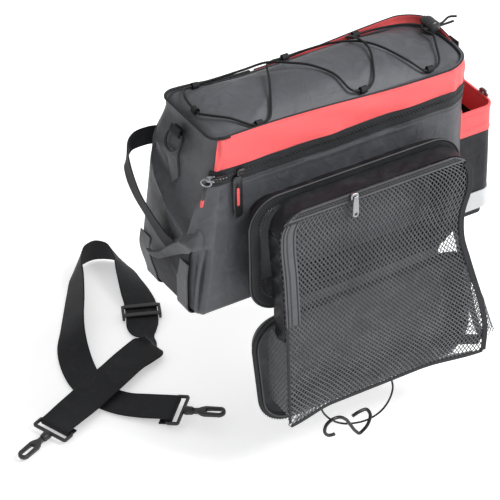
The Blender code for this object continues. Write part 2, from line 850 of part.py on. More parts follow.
def build_lid(cloth):
    """The domed lid, in rings from its middle out to the rim."""
    way = turns(0.0, 8.0)[:-1]
    edge = wall_point(way, RIM_HEIGHT, -WALL - GAP)
    middle = np.array([lid_reach()[0], 0.0])
    shares = np.array([0.35, 0.65, 0.86, 1.0])
    flat = middle + shares[:, None, None] * (edge[None, :, :2] - middle)
    top = np.concatenate([flat, lid_height(flat[..., 0], flat[..., 1])[..., None]], axis=-1)
    under = top.copy()
    under[..., 2] -= WALL
    return cup("lid", top, under, cloth)


def build_collar(red, tape):
    """The red band round three sides and the zip tape under it."""
    patch("red_collar", (0.03, 4.64), (COLLAR_FOOT, COLLAR_TOP), GAP, COLLAR_WALL, red)
    top = COLLAR_FOOT - GAP
    patch("main_zip", (-0.6, 4.80), (top - ZIP_WIDTH, top), GAP, TAPE_WALL, tape)


def surface_frame(turn, height, out):
    """Origin, rearward way, upward way and outward way of the wall at a place."""
    step = 0.01
    here = wall_point(turn, height, out)
    along = wall_point(turn + step, height, out) - wall_point(turn - step, height, out)
    up = wall_point(turn, height + step * RIM_HEIGHT, out) - here
    along /= np.linalg.norm(along)
    up -= along * (up @ along)
    up /= np.linalg.norm(up)
    return here, along, up, np.cross(along, up)


def build_sliders(metal, dark, red):
    """The two zip sliders, the cord pull and the flat pull."""
    seat = GAP + TAPE_WALL + CLEAR
    height = COLLAR_FOOT - 0.42 * ZIP_WIDTH
    turn_side = 0.072
    for name, turn, finish in (("zip_slider_front", -0.48, metal), ("zip_slider_side", turn_side, dark)):
        here, along, up, out = surface_frame(turn, height, seat + SLIDER_HEIGHT / 2)
        box(name, (SLIDER_LENGTH, SLIDER_WIDTH, SLIDER_HEIGHT), finish,
            basis(here + out * CLEAR * 2, along, up))
    drop = height - SLIDER_WIDTH / 2 - 2 * CLEAR
    seat = GAP + TAPE_WALL + CLEAR + 0.95 * CORD_PULL_WIDTH
    here, along, up, out = surface_frame(-0.62, drop - CORD_PULL_WIDTH / 2, seat)
    foot = here - up * CORD_PULL_LENGTH - along * 0.2 * CORD_PULL_LENGTH
    path = route([here, (here + foot) / 2 + out * 0.1 * CORD_PULL_LENGTH, foot], 6)
    tube("zip_pull_cord", path, CORD_PULL_WIDTH / 2, dark)
    way = (path[-1] - path[-2]) / np.linalg.norm(path[-1] - path[-2])
    tip = np.array([path[-1] + way * CLEAR, path[-1] + way * 0.55 * CORD_PULL_LENGTH])
    tube("zip_pull_tip", tip, 0.62 * CORD_PULL_WIDTH, red, sides=8)
    middle = drop - TAB_PULL_LENGTH / 2
    here, along, up, out = surface_frame(turn_side, middle, 0.0)
    seat = GAP + TAPE_WALL + CLEAR + TAB_PULL_WALL / 2
    place = basis(here + out * seat, along, up)
    box("zip_pull_tab", (TAB_PULL_WIDTH, TAB_PULL_LENGTH, TAB_PULL_WALL), dark, place)
    lift = (TAB_PULL_WALL + TAPE_WALL) / 2 + CLEAR
    place = basis(here + out * (seat + lift), along, up)
    box("zip_pull_stripe", (0.26 * TAB_PULL_WIDTH, 0.42 * TAB_PULL_LENGTH, TAPE_WALL), red, place)


def d_outline(width, drop):
    """The closed middle line of a D ring: a straight bar at the top and a round foot."""
    half = width / 2
    straight = drop - half * 0.9
    turn = np.linspace(0.0, math.pi, 9)
    arc = [(half * math.cos(t), -straight - half * 0.9 * math.sin(t)) for t in turn]
    sides = [(-half, -0.5 * straight), (-0.75 * half, 0.0), (0.0, 0.0), (0.75 * half, 0.0),
             (half, -0.5 * straight)]
    return arc + sides


def build_ring(name, tab_name, turn, height, seat, web, hard):
    """A D ring that hangs in a folded webbing tab on an end panel, seat out from the wall."""
    hang = seat + RING_WIRE / 2 + WEB_WALL + 2 * CLEAR
    here, along, up, out = surface_frame(turn, height, hang)
    path = [here + along * x + up * y for x, y in d_outline(RING_WIDTH, RING_DROP)]
    ring = tube(name, path, RING_WIRE / 2, hard, sides=5, closed=True)
    set_origin(ring, here)
    wrap = RING_WIRE / 2 + CLEAR + WEB_WALL / 2
    tail = 0.32 * RING_DROP
    angles = np.linspace(0.0, math.pi, 6)
    points = [(tail, wrap)] + [(-wrap * math.sin(t), wrap * math.cos(t)) for t in angles]
    points += [(tail, -wrap)]
    path = np.array([here + up * rise + out * away for rise, away in points])
    sides = np.tile(along * RING_TAB_WIDTH / 2, (len(path), 1))
    ribbon(tab_name, path, sides, WEB_WALL, web)


def build_webbing(web, cloth):
    """The grab handle, the rack straps and the ring patch on the front end."""
    rows = np.array(HANDLE_ROUTE)
    rises, away = rows[:, 1] * RIM_HEIGHT, rows[:, 2] * HANDLE_WIDTH + 4 * GAP + WEB_WALL
    points = wall_point(rows[:, 0], rises, away)
    outer = wall_point(rows[:, 0], rises, away + HANDLE_WIDTH)
    both = route(np.concatenate([points, outer - points], axis=1), 24)
    centres, outs = both[:, :3], both[:, 3:]
    sides = np.cross(np.gradient(centres, axis=0), outs)
    sides /= np.linalg.norm(sides, axis=1, keepdims=True)
    ribbon("grab_handle", centres, sides * HANDLE_WIDTH / 2, WEB_WALL, web)
    for name, turn in (("rack_strap_near", RACK_STRAP_TURNS[0]), ("rack_strap_far", RACK_STRAP_TURNS[1])):
        build_rack_strap(name, turn, web)
    patch("front_ring_patch", (RING_TURN - 0.10, RING_TURN + 0.10),
          (0.62 * RIM_HEIGHT, 0.74 * RIM_HEIGHT), 5 * GAP, TAPE_WALL, cloth)


def build_rack_strap(name, turn, web):
    """A strap from the front end's foot seam, round the foot edge and under the floor."""
    span = RACK_STRAP_WIDTH / 2 / (BAG_WIDTH - 2 * FRONT_CORNER)
    way = turns(turn - span, turn + span)
    rises = wall_rows(FOOT_ROUND, 0.30 * RIM_HEIGHT)[::-1]
    layers = []
    for out in (2 * GAP + WEB_WALL, 2 * GAP):
        rows = [wall_point(way, rise, out) for rise in rises]
        for angle in np.radians([30.0, 60.0, 90.0]):
            reach = FOOT_ROUND + out
            rise = FOOT_ROUND - reach * math.sin(angle)
            row = wall_point(way, max(rise, 0.0), reach * math.cos(angle) - FOOT_ROUND)
            row[:, 2] = rise
            rows.append(row)
        tail = rows[-1].copy()
        tail[:, 0] += RACK_STRAP_WIDTH
        layers.append(rows + [tail])
    slab(name, np.array(layers[0]), np.array(layers[1]), web)


def lid_frame(along, side):
    """Points on the lid's dome from shares of its length and half width, and its normals there."""
    x = -FRONT_TOP + along * (FRONT_TOP + REAR_END + REAR_SWELL)
    y = side * HALF
    step = 0.02 * HALF
    rise_x = (lid_height(x + step, y) - lid_height(x - step, y)) / (2 * step)
    rise_y = (lid_height(x, y + step) - lid_height(x, y - step)) / (2 * step)
    normal = np.stack([-rise_x, -rise_y, np.ones_like(rise_x)], axis=-1)
    normal /= np.linalg.norm(normal, axis=-1, keepdims=True)
    return np.stack([x, y, lid_height(x, y)], axis=-1), normal


def build_lacing(cord, web, hard):
    """The elastic lacing, the loops that hold it and the cord lock."""
    rows = np.array(LACING_ROUTE)
    seat = LACING / 2 + LOOP_WALL + 10 * CLEAR
    spots, normal = lid_frame(rows[:, 0], rows[:, 1])
    points = spots + normal * (seat + rows[:, 2:] * LACING)
    lock = lock_centre()
    entry = np.array([-LOCK_RADIUS * 1.6, 0.0, 0.0])
    pitch = np.array([0.0, 0.72 * LACING, 0.0])
    spot = lock + np.array([0.0, lock_slot(), 0.0])
    tail = [
        spot - pitch + entry, spot - pitch, spot - pitch - entry,
        spot - pitch * 1.6 - entry * 1.7 + [0, 0, 0.35 * LACING],
        spot - entry * 2.3 + [0, 0, 0.6 * LACING],
        spot + pitch * 1.6 - entry * 1.7 + [0, 0, 0.35 * LACING],
        spot + pitch - entry, spot + pitch, spot + pitch + entry,
    ]
    whole = np.concatenate([tail[4:], points[::-1][1:-1], tail[:4]])
    tube("lacing_cord", eased(whole, 2), LACING / 2, cord, sides=5)
    for number, (along, side, toward) in enumerate(LACE_LOOPS):
        build_loop(f"lace_loop_{number + 1}", along, side, toward, web, seat)
    build_lock(lock, hard)


def build_loop(name, along, across, toward, web, seat):
    """A webbing loop from the lid's edge, under the lacing, over it and back to the edge."""
    foot, up = lid_frame(np.array(along), np.array(across))
    way = np.array([math.cos(toward * math.pi / 2), math.sin(toward * math.pi / 2), 0.0])
    way = way - up * (way @ up)
    way /= np.linalg.norm(way)
    side = np.cross(up, way) * LOOP_WIDTH / 2
    radius = LACING / 2 + LOOP_WALL / 2 + 5 * CLEAR
    rows = [(LOOP_REACH, seat - radius), (0.0, seat - radius)]
    for angle in np.radians([230.0, 180.0, 130.0, 90.0, 45.0]):
        rows.append((radius * math.cos(angle), seat + radius * math.sin(angle)))
    rows.append((LOOP_REACH, seat - radius + LOOP_WALL + 2 * CLEAR))
    centres = np.array([foot + way * reach + up * rise for reach, rise in rows])
    for row, layer in ((0, 1.0), (-1, 2.5)):
        floor = lid_height(centres[row, 0], centres[row, 1]) + layer * LOOP_WALL + 6 * CLEAR
        centres[row, 2] = max(centres[row, 2], floor)
    ribbon(name, centres, np.tile(side, (len(centres), 1)), LOOP_WALL, web)


def lock_centre():
    """Middle of the cord lock's barrel, which rests on the lid near the rear."""
    foot = lid_frame(np.array(0.965), np.array(0.30))[0]
    return foot + np.array([0.0, 0.0, LOCK_RADIUS + 3 * CLEAR + 0.6 * LACING])


def lock_slot():
    """Where the cord's slot lies along the barrel from its middle."""
    return -0.22 * LOCK_LENGTH


def build_lock(centre, hard):
    """The barrel with its cord slot, and its sprung button, which slides along -Y."""
    place = basis(centre, (0, 1, 0), (0, 0, 1))
    half = LOCK_LENGTH / 2
    bore = BUTTON_RADIUS + CLEAR
    deep = half - BUTTON_DEPTH - BUTTON_TRAVEL
    profile = [(-half, 0), (-half, 0.55 * LOCK_RADIUS), (-0.72 * half, LOCK_RADIUS),
               (0.8 * half, LOCK_RADIUS), (half, 0.86 * LOCK_RADIUS), (half, bore),
               (deep, bore), (deep, 0)]
    body = turned_solid("cord_lock_body", profile, hard, 12, place)
    slot = box("slot", (4 * LOCK_RADIUS, 2.44 * LACING + 2 * CLEAR, LACING + 4 * CLEAR), None,
               Matrix.Translation(centre + np.array([0.0, lock_slot(), 0.0])))
    combine(body, slot, "DIFFERENCE")
    start = deep + BUTTON_TRAVEL + CLEAR
    end = half + BUTTON_REACH
    profile = [(start, 0), (start, BUTTON_RADIUS), (end - 0.0012, BUTTON_RADIUS),
               (end, 0.8 * BUTTON_RADIUS), (end, 0)]
    button = turned_solid("cord_lock_button", profile, hard, 12, place)
    set_origin(button, centre + np.array([0.0, half, 0.0]))


def rounded(left, right, low, high, corner, steps=4):
    """A rounded rectangle in X and Z, anticlockwise from the foot's left."""
    points = []
    for cx, cz, begin in ((right - corner, low + corner, -90.0), (right - corner, high - corner, 0.0),
                          (left + corner, high - corner, 90.0), (left + corner, low + corner, 180.0)):
        for angle in np.radians(begin + np.linspace(0.0, 90.0, steps)):
            points.append((cx + corner * math.cos(angle), cz + corner * math.sin(angle)))
    return np.array(points)


def pannier_outline(inset, upper=True, flare=0.0):
    """The rim line of the upper shell or of the hanging flap, drawn in by inset."""
    half = PANNIER_LENGTH / 2 - inset
    if upper:
        low, high = PANNIER_FOOT + inset, PANNIER_TOP - inset
        return rounded(PANNIER_SHIFT - half, PANNIER_SHIFT + half - flare, low, high,
                       PANNIER_CORNER - inset)
    half = FLAP_LENGTH / 2 - inset
    low, high = -FLAP_NOTCH - FLAP_DROP + inset, -FLAP_NOTCH - inset
    line = rounded(FLAP_SHIFT - half, FLAP_SHIFT + half, low, high, PANNIER_CORNER - inset)
    drawn = (FLAP_SHIFT + half - line[:, 0]) / FLAP_LENGTH * (high - line[:, 1]) / FLAP_DROP
    line[:, 0] += FLAP_TAPER * drawn
    return line


def ring_at(points, depth):
    """Lifts outline points in X and Z to a distance from the bag's middle plane, towards -Y."""
    return np.stack([points[:, 0], np.full(len(points), -depth), points[:, 1]], axis=1)


def build_pannier(cloth, tape, cord):
    """The upper shell with its piping and zip tape, open to the front."""
    back = HALF + GAP
    rim = HALF + PANNIER_DEPTH
    depths = (back, (back + rim) / 2, rim)
    flares = (PANNIER_FLARE, 0.45 * PANNIER_FLARE, 0.0)
    outer = np.array([ring_at(pannier_outline(f), d) for f, d in zip(flares, depths)])
    inner = np.array([ring_at(pannier_outline(f + CLOTH), d) for f, d in zip(flares, depths)])
    band("pannier_gusset", outer, inner, cloth)
    line = ring_at(pannier_outline(CLOTH / 2), rim + PIPING / 2 + CLEAR)
    tube("pannier_piping", line, PIPING / 2, cord, sides=5, closed=True)
    face = rim + PIPING / 2 + CLEAR
    start = CLOTH / 2 + PIPING / 2 + CLEAR
    end = start + 0.45 * (PANNIER_CORNER - start)
    rings = [ring_at(pannier_outline(start), face), ring_at(pannier_outline(end), face)]
    shift = np.array([0.0, TAPE_WALL / 2, 0.0])
    band("pannier_zip", np.array(rings) - shift, np.array(rings) + shift, tape)


def build_flap(cloth, tape, cord):
    """The pannier's other half, which hangs from a cloth hinge below the upper shell."""
    rim = HALF + PANNIER_DEPTH
    back = rim - FLAP_DEPTH
    outer = [ring_at(pannier_outline(i, False), d)
             for i, d in ((0.78 * PANNIER_CORNER, back), (0.35 * PANNIER_CORNER, back),
                          (0.10 * PANNIER_CORNER, back + 0.3 * FLAP_DEPTH), (0.0, rim))]
    inner = [ring_at(pannier_outline(i + 0.6 * CLOTH, False), d + CLOTH * s)
             for i, d, s in ((0.78 * PANNIER_CORNER, back, 1.0), (0.35 * PANNIER_CORNER, back, 1.0),
                             (0.10 * PANNIER_CORNER, back + 0.3 * FLAP_DEPTH, 0.8), (0.0, rim, 0.0))]
    cup("flap_tray", np.array(outer), np.array(inner), cloth)
    line = ring_at(pannier_outline(CLOTH + PIPING, False), rim + PIPING / 2 + TAPE_WALL + 2 * CLEAR)
    tube("flap_piping", line, PIPING / 2, cord, sides=5, closed=True)
    rings = [ring_at(pannier_outline(-BINDING_WIDTH / 3, False), rim + CLEAR + TAPE_WALL / 2),
             ring_at(pannier_outline(BINDING_WIDTH, False), rim + CLEAR + TAPE_WALL / 2)]
    shift = np.array([0.0, TAPE_WALL / 2, 0.0])
    band("flap_zip", np.array(rings) - shift, np.array(rings) + shift, tape)
    low = -FLAP_NOTCH + CLEAR
    high = PANNIER_FOOT - CLEAR
    middle = rim - CLOTH
    box("pannier_hinge", (HINGE_LENGTH, 2 * CLOTH, high - low), cloth,
        Matrix.Translation((PANNIER_SHIFT, -middle, (low + high) / 2)))


def pouch_edges(share):
    """X of the pouch's left and right edge at a share of its height, with rounded top corners."""
    rows = np.array(POUCH_EDGES)
    half = PANNIER_LENGTH / 2
    sides = through(rows[:, 0], rows[:, 1:], np.ravel(share)) * half + PANNIER_SHIFT
    corner = 0.8 * PANNIER_CORNER
    rise = np.clip(np.ravel(share) * (POUCH_TOP - POUCH_FOOT) - (POUCH_TOP - POUCH_FOOT - corner), 0, corner)
    inset = corner - np.sqrt(np.maximum(corner**2 - rise**2, 0.0))
    return (sides[:, 0] + inset).reshape(np.shape(share)), (sides[:, 1] - inset).reshape(np.shape(share))


def pouch_front():
    """Distance of the pouch's front face from the bag's middle plane."""
    return HALF + PANNIER_DEPTH + POUCH_DEPTH


def pouch_face(across, share, out):
    """A point on the pouch's front face from shares of its width and height."""
    left, right = pouch_edges(share)
    x = left + (right - left) * across
    z = POUCH_FOOT + (POUCH_TOP - POUCH_FOOT) * share
    bulge = POUCH_SWELL * np.sin(math.pi * across) * np.sin(math.pi * np.clip(share, 0.0, 1.0))
    return np.stack([x, -(pouch_front() + bulge + out), z + 0 * across], axis=-1)


def pouch_side(share, back, edge, columns=3, flare=0.0, end=None):
    """A grid from the pouch's front edge back towards the shell; edge is 0 left, 1 right."""
    front = pouch_front() - NET_WALL / 2 - 2 * CLEAR
    depth = np.linspace(0.0, 1.0, columns)
    line = pouch_edges(share)[edge][:, None]
    stop = line if end is None else np.minimum(line, end)
    bow = np.sin(math.pi * depth)[None, :] * (1 if edge else -1)
    x = line + (stop - line) * depth[None, :] + flare * smooth(1.0 - share / share[-1])[:, None] * bow
    y = -(front + (np.reshape(back, (-1, 1)) - front) * depth[None, :]) + 0 * x
    z = (POUCH_FOOT + (POUCH_TOP - POUCH_FOOT) * share)[:, None] + 0 * x
    return np.stack([x, y, z], axis=-1)


def build_pouch(mesh, cloth, tape, metal):
    """The mesh pouch: front net, side nets, cloth edges, zip slider and pull."""
    shell = HALF + PANNIER_DEPTH + PIPING + 4 * CLEAR + TAPE_WALL
    seam = HALF + PANNIER_DEPTH + PIPING / 2 + TAPE_WALL / 2 + 2 * CLEAR
    tray = HALF + PANNIER_DEPTH - FLAP_DEPTH + CLOTH + 4 * CLEAR
    share = np.linspace(0.0, 0.965, 9)
    across = np.linspace(0.0, 1.0, 8)
    net("pouch_net_front", pouch_face(across[None, :], share[:, None] + 0 * across[None, :], 0.0),
        NET_WALL, NET_CORD, mesh)
    span = POUCH_TOP - POUCH_FOOT
    waist = (-FLAP_NOTCH - 0.46 * PANNIER_CORNER - POUCH_FOOT) / span
    low = np.linspace(0.06, waist, 6)
    high = np.linspace(waist + 2 * CLEAR / span, 0.90, 8)
    rim = FLAP_SHIFT + FLAP_LENGTH / 2 - 1.6 * BINDING_WIDTH
    net("pouch_net_left", pouch_side(low, tray, 0), NET_WALL, NET_CORD, mesh)
    net("pouch_net_right", pouch_side(low, shell, 1, flare=FLARE, end=rim), NET_WALL, NET_CORD, mesh)
    backs = np.where(POUCH_FOOT + span * high > -FLAP_NOTCH + BINDING_WIDTH, shell - 4 * CLEAR, shell)
    panel("pouch_left_gusset", pouch_side(high, backs, 0), CLOTH, cloth)
    panel("pouch_right_gusset", pouch_side(high, backs, 1), CLOTH, cloth)
    build_pouch_top(shell, seam, cloth)
    left, right = pouch_edges(np.array([0.0]))
    along = np.linspace(0.0, 1.0, 8)[:, None]
    depth = np.linspace(0.0, 1.0, 3)[None, :]
    start = left[0] + np.where(depth < 0.3, 3 * CLOTH, 0.5 * PANNIER_CORNER)
    edge = np.where(depth < 0.3, right[0] - 3 * CLOTH, rim - 0.4 * PANNIER_CORNER)
    y = -(pouch_front() - NET_WALL - CLEAR) * (1 - depth) - tray * depth
    grid = np.stack(np.broadcast_arrays(start + (edge - start) * along, y, POUCH_FOOT), axis=-1)
    net("pouch_net_bottom", grid, NET_WALL, NET_CORD, mesh)
    rise = BAND_WIDTH / span
    across = np.linspace(0.0, 1.0, 9)
    rows = np.array([1.0 - rise, 1.0 - rise / 2, 0.999])
    out = NET_WALL / 2 + CLEAR + POUCH_SWELL * 0.12
    shares = rows[:, None] + 0 * across[None, :]
    slab("pouch_top_band", pouch_face(across[None, :], shares, out + CLOTH),
         pouch_face(across[None, :], shares, out), cloth)
    heights = np.linspace(0.01, 1.0 - rise - 0.01, 10)
    _, right = pouch_edges(heights)
    z = POUCH_FOOT + span * heights
    y = -(pouch_front() + out)
    inner = np.stack([np.stack([right - BINDING_WIDTH, 0 * right + y, z], axis=1),
                      np.stack([right, 0 * right + y, z], axis=1)], axis=1)
    slab("pouch_binding", inner - np.array([0.0, CLOTH, 0.0]), inner, tape)
    build_pull(metal)


def build_pouch_top(shell, seam, cloth):
    """The cloth gusset over the pouch's top edge and its two rounded corners."""
    front = pouch_front() - NET_WALL / 2 - CLEAR
    share = np.concatenate([np.linspace(0.905, 0.99, 6), [0.9985]])
    left, right = pouch_edges(share)
    z = POUCH_FOOT + (POUCH_TOP - POUCH_FOOT) * share
    middle = np.linspace(left[-1], right[-1], 6)[1:-1]
    x = np.concatenate([left, middle, right[::-1]])
    z = np.concatenate([z, np.full(4, POUCH_TOP), z[::-1]])
    depth = np.linspace(0.0, 1.0, 2)
    back = np.where(np.abs(x - PANNIER_SHIFT) < 0.35 * PANNIER_LENGTH, seam, shell)
    y = -(front + (back[:, None] - front) * depth)
    grid = np.stack(np.broadcast_arrays(x[:, None], y, z[:, None]), axis=-1)
    panel("pouch_top_gusset", grid, CLOTH, cloth)


def build_pull(metal):
    """The pouch zip's slider on the top edge, and its metal pull, which swings on a cross pin."""
    along = 0.325
    face = pouch_face(np.array(along), np.array(1.0), 0.0)
    front = -(pouch_front() + NET_WALL / 2 + 2 * CLEAR + POUCH_SWELL * 0.12 + CLOTH)
    top = POUCH_TOP - 0.25 * BAND_WIDTH
    centre = np.array([face[0], front - SLIDER_HEIGHT / 2, top])
    box("pouch_slider", (SLIDER_LENGTH, SLIDER_HEIGHT, SLIDER_WIDTH), metal, Matrix.Translation(centre))
    pin = centre + np.array([0.0, -SLIDER_HEIGHT / 2 - CLEAR - PULL_PIN, 0.0])
    half = PULL_WIDTH / 2
    turn = np.linspace(0.0, math.pi, 9)
    reach = PULL_LENGTH - half
    outline = [(half * math.cos(t), -reach - half * math.sin(t)) for t in turn]
    outline += [(-0.9 * half, 0.0), (-0.7 * half, 0.25 * half), (0.7 * half, 0.25 * half), (0.9 * half, 0.0)]
    place = basis(pin, (1, 0, 0), (0, 0, 1))
    pull = outline_solid("pouch_pull_tab", outline, PULL_WALL, metal, place)
    eye = turned_solid("eye", [(-half, 0), (-half, 0.36 * half), (half, 0.36 * half), (half, 0)], None, 10,
                       basis(pin - np.array([0.0, 0.0, reach]), (0, 1, 0), (0, 0, 1)))
    combine(pull, eye, "DIFFERENCE")
    set_origin(pull, pin)


def below_pouch(rows):
    """Points in the pouch's front plane from rows of along and below shares."""
    left, right = pouch_edges(np.array([0.0]))
    rows = np.array(rows)
    x = left[0] + (right[0] - left[0]) * rows[:, 0]
    z = POUCH_FOOT - NET_WALL / 2 - 3 * CLEAR - rows[:, 1] * RIM_HEIGHT
    return np.stack([x, np.full(len(rows), -pouch_front() + 2 * NET_WALL), z], axis=1)


def build_elastic(cord, hard):
    """The free elastic loop under the pouch and the wire hook that hangs on it."""
    points = route(below_pouch(ELASTIC_ROUTE), 24)
    line = bpy.data.curves.new("elastic_loop", "CURVE")
    line.dimensions = "3D"
    line.bevel_depth = ELASTIC / 2
    line.bevel_resolution = 2
    line.use_fill_caps = True
    spline = line.splines.new("POLY")
    spline.points.add(len(points) - 1)
    for place, point in zip(spline.points, points):
        place.co = (*point, 1.0)
    line.materials.append(cord)
    bpy.context.scene.collection.objects.link(bpy.data.objects.new("elastic_loop", line))
    rows = np.array(HOOK_ROUTE)
    points = below_pouch(rows[:, :2])
    points[:, 1] -= rows[:, 2] * (ELASTIC / 2 + HOOK_WIRE / 2 + 2 * CLEAR)
    tube("wire_hook", route(points, 38), HOOK_WIRE / 2, hard, sides=5)


def pocket_ring(height, inset):
    """A ring of the bottle pocket: a rounded box against the bag's rear end."""
    half = POCKET_WIDTH / 2 - inset
    end = REAR_END + REAR_SWELL + POCKET_REACH - inset
    corner = 0.35 * POCKET_REACH - inset
    back = np.linspace(half, -half, 8)
    side = np.clip(np.abs(back) - HALF + REAR_CORNER, 0.0, REAR_CORNER)
    face = REAR_END - REAR_CORNER + np.sqrt(REAR_CORNER**2 - side**2)
    face = face + REAR_SWELL * (1.0 - (back / HALF) ** 2) + 3 * GAP + inset
    points = list(zip(face, back))
    for sign, begin in ((-1.0, -90.0), (1.0, 0.0)):
        for angle in np.radians(begin + np.linspace(0.0, 90.0, 5)):
            points.append((end - corner + corner * math.cos(angle),
                           sign * (half - corner) + corner * math.sin(angle)))
    return np.array([(x, y, height) for x, y in points])


def build_pocket(cloth, red, shiny, hard):
    """The bottle pocket on the rear end, its red rim, reflector and toggle."""
    seam = POCKET_TOP - POCKET_RIM
    rises = [POCKET_FOOT, POCKET_FOOT + 0.15 * POCKET_REACH, 0.35 * seam, seam]
    draws = [0.15 * POCKET_REACH, 0.03 * POCKET_REACH, 0.0, 0.0]
    outer = [pocket_ring(z, d) for z, d in zip(rises, draws)]
    inner = [pocket_ring(max(z, POCKET_FOOT + CLOTH), d + CLOTH) for z, d in zip(rises, draws)]
    cup("bottle_pocket", np.array(outer), np.array(inner), cloth)
    rises = np.linspace(seam + CLEAR, POCKET_TOP, 2)
    band("pocket_rim", np.array([pocket_ring(z, -0.3 * CLOTH) for z in rises]),
         np.array([pocket_ring(z, 0.9 * CLOTH) for z in rises]), red)
    low = REFLECTOR_RISE - 0.4 * REFLECTOR_WIDTH
    low = max(low, POCKET_FOOT + 0.2 * POCKET_REACH)
    rises = [low, low + REFLECTOR_WIDTH]
    pick = np.arange(8, 18)
    outer = np.array([pocket_ring(z, -GAP - TAPE_WALL)[pick] for z in rises])
    inner = np.array([pocket_ring(z, -GAP)[pick] for z in rises])
    slab("pocket_reflector", outer, inner, shiny)
    end = REAR_END + REAR_SWELL + POCKET_REACH
    place = basis((end + 0.3 * CLOTH, -0.18 * POCKET_WIDTH, POCKET_TOP - 0.18 * POCKET_RIM),
                  (0, 1, 0), (0, 0, 1))
    angle = np.linspace(0.0, 2 * math.pi, 13)[:-1]
    outline = [(0.10 * POCKET_WIDTH * math.cos(a), 0.16 * POCKET_RIM * math.sin(a)) for a in angle]
    place.translation += Vector((COLLAR_WALL / 2 + CLEAR, 0.0, 0.0))
    outline_solid("pocket_toggle", outline, COLLAR_WALL, hard, place)


def build_far_pannier(cloth, cord):
    """The closed pannier of the far side: a shallow hollow shell that is open to the bag."""
    back = HALF + GAP
    face = HALF + FAR_DEPTH
    steps = ((0.80 * PANNIER_CORNER, face), (0.30 * PANNIER_CORNER, face),
             (0.06 * PANNIER_CORNER, face - 0.25 * FAR_DEPTH), (0.0, back))
    outer = [ring_at(pannier_outline(i), -d) for i, d in steps]
    inner = [ring_at(pannier_outline(i + 0.7 * CLOTH), -d + (CLOTH if d > back else 0.0))
             for i, d in steps]
    cup("far_pannier", np.array(outer), np.array(inner), cloth)
    line = ring_at(pannier_outline(0.30 * PANNIER_CORNER), -face - PIPING / 2 - CLEAR)
    tube("far_piping", line, PIPING / 2, cord, sides=5, closed=True)


def strap_rows():
    """The strap's middle line and its half-width vectors, from ring to ring."""
    rows = np.array(STRAP_ROUTE)
    flat = rows[:, :2] * STRAP_REACH
    cross, bank = np.radians(rows[:, 3]), np.radians(rows[:, 4])
    half = STRAP_WIDTH / 2 * rows[:, 5]
    side = np.stack([np.cos(cross) * np.cos(bank), np.sin(cross) * np.cos(bank), np.sin(bank)],
                    axis=1) * half[:, None]
    height = FLOOR + CLEAR + rows[:, 2] * STRAP_WALL + STRAP_WALL / 2 + half * np.abs(np.sin(bank))
    return np.stack([flat[:, 0], flat[:, 1], height], axis=1), side


def build_strap(web, hard):
    """The shoulder strap as it lies, with its slide, two end rings and two snap hooks."""
    centres, sides = strap_rows()
    slide = centres[SLIDE_ROW], centres[SLIDE_ROW + 1] - centres[SLIDE_ROW - 1], sides[SLIDE_ROW]
    wrap = 0.72 * BAR + 2 * CLEAR + STRAP_WALL / 2
    ends = []
    for which in (0, -1):
        step = centres[0] - centres[1] if which == 0 else centres[-1] - centres[-2]
        out = step / np.linalg.norm(step)
        side = sides[which] - out * (sides[which] @ out)
        side *= STRAP_WIDTH / 2 / np.linalg.norm(side)
        up = np.cross(out, side)
        up /= np.linalg.norm(up) * np.sign(up[2])
        axis = centres[which] + out * wrap * 1.6 - up * wrap
        turn = np.linspace(0.0, math.pi, 7)[:, None]
        curl = axis + up * wrap * np.cos(turn) + out * wrap * np.sin(turn)
        tail = axis - up * wrap - out * 0.3 * STRAP_WIDTH
        ends.append((axis, out, side, np.concatenate([curl, tail[None]])))
    fine, fine_sides = strap_fine(centres, sides)
    curl_sides = [np.tile(end[2], (8, 1)) for end in ends]
    ribbon("shoulder_strap", np.concatenate([ends[0][3][::-1], fine, ends[1][3]]),
           np.concatenate([curl_sides[0], fine_sides, curl_sides[1]]), STRAP_WALL, web)
    for label, (axis, out, side, _) in zip(("left", "right"), ends):
        build_hook(label, axis, out, side, hard)
    build_slide(*slide, hard)


def strap_fine(centres, sides):
    """The strap's rows, with two more between rows that lie far apart."""
    steps = np.linalg.norm(np.diff(centres, axis=0), axis=1)
    knots = np.concatenate([[0.0], np.cumsum(steps)])
    at = []
    for start, step in zip(knots[:-1], steps):
        count = 2 if step > 0.5 * STRAP_WIDTH else 1
        at += [start + step * k / count for k in range(count)]
    at.append(knots[-1])
    return through(knots, centres, at), through(knots, sides, at)


def build_slide(centre, way, side, hard):
    """The slide: a frame whose two end bars lie over the strap and whose middle bar is under it."""
    up = np.cross(way, side)
    up /= np.linalg.norm(up) * np.sign(up[2])
    place = basis(centre, side, up)
    width = STRAP_WIDTH + 6 * CLEAR + 2 * BAR
    rise = STRAP_WALL / 2 + 2 * CLEAR + BAR * 0.35
    frame = box("strap_slide", (width, 2.0 * rise + 0.7 * BAR, SLIDE_LENGTH), hard, place)
    inside = width - 2 * BAR
    cuts = [((inside, 2 * rise + BAR, 2 * SLIDE_LENGTH), (0, -0.85 * BAR, 0)),
            ((inside, 4 * rise, SLIDE_LENGTH - 2 * BAR), (0, 0, 0))]
    for size, spot in cuts:
        combine(frame, box("window", size, None, place @ Matrix.Translation(spot)), "DIFFERENCE")
    bar = box("bar", (inside + BAR, 0.7 * BAR, BAR), hard, place @ Matrix.Translation((0, -rise + 0.05 * BAR, 0)))
    combine(frame, bar, "UNION")


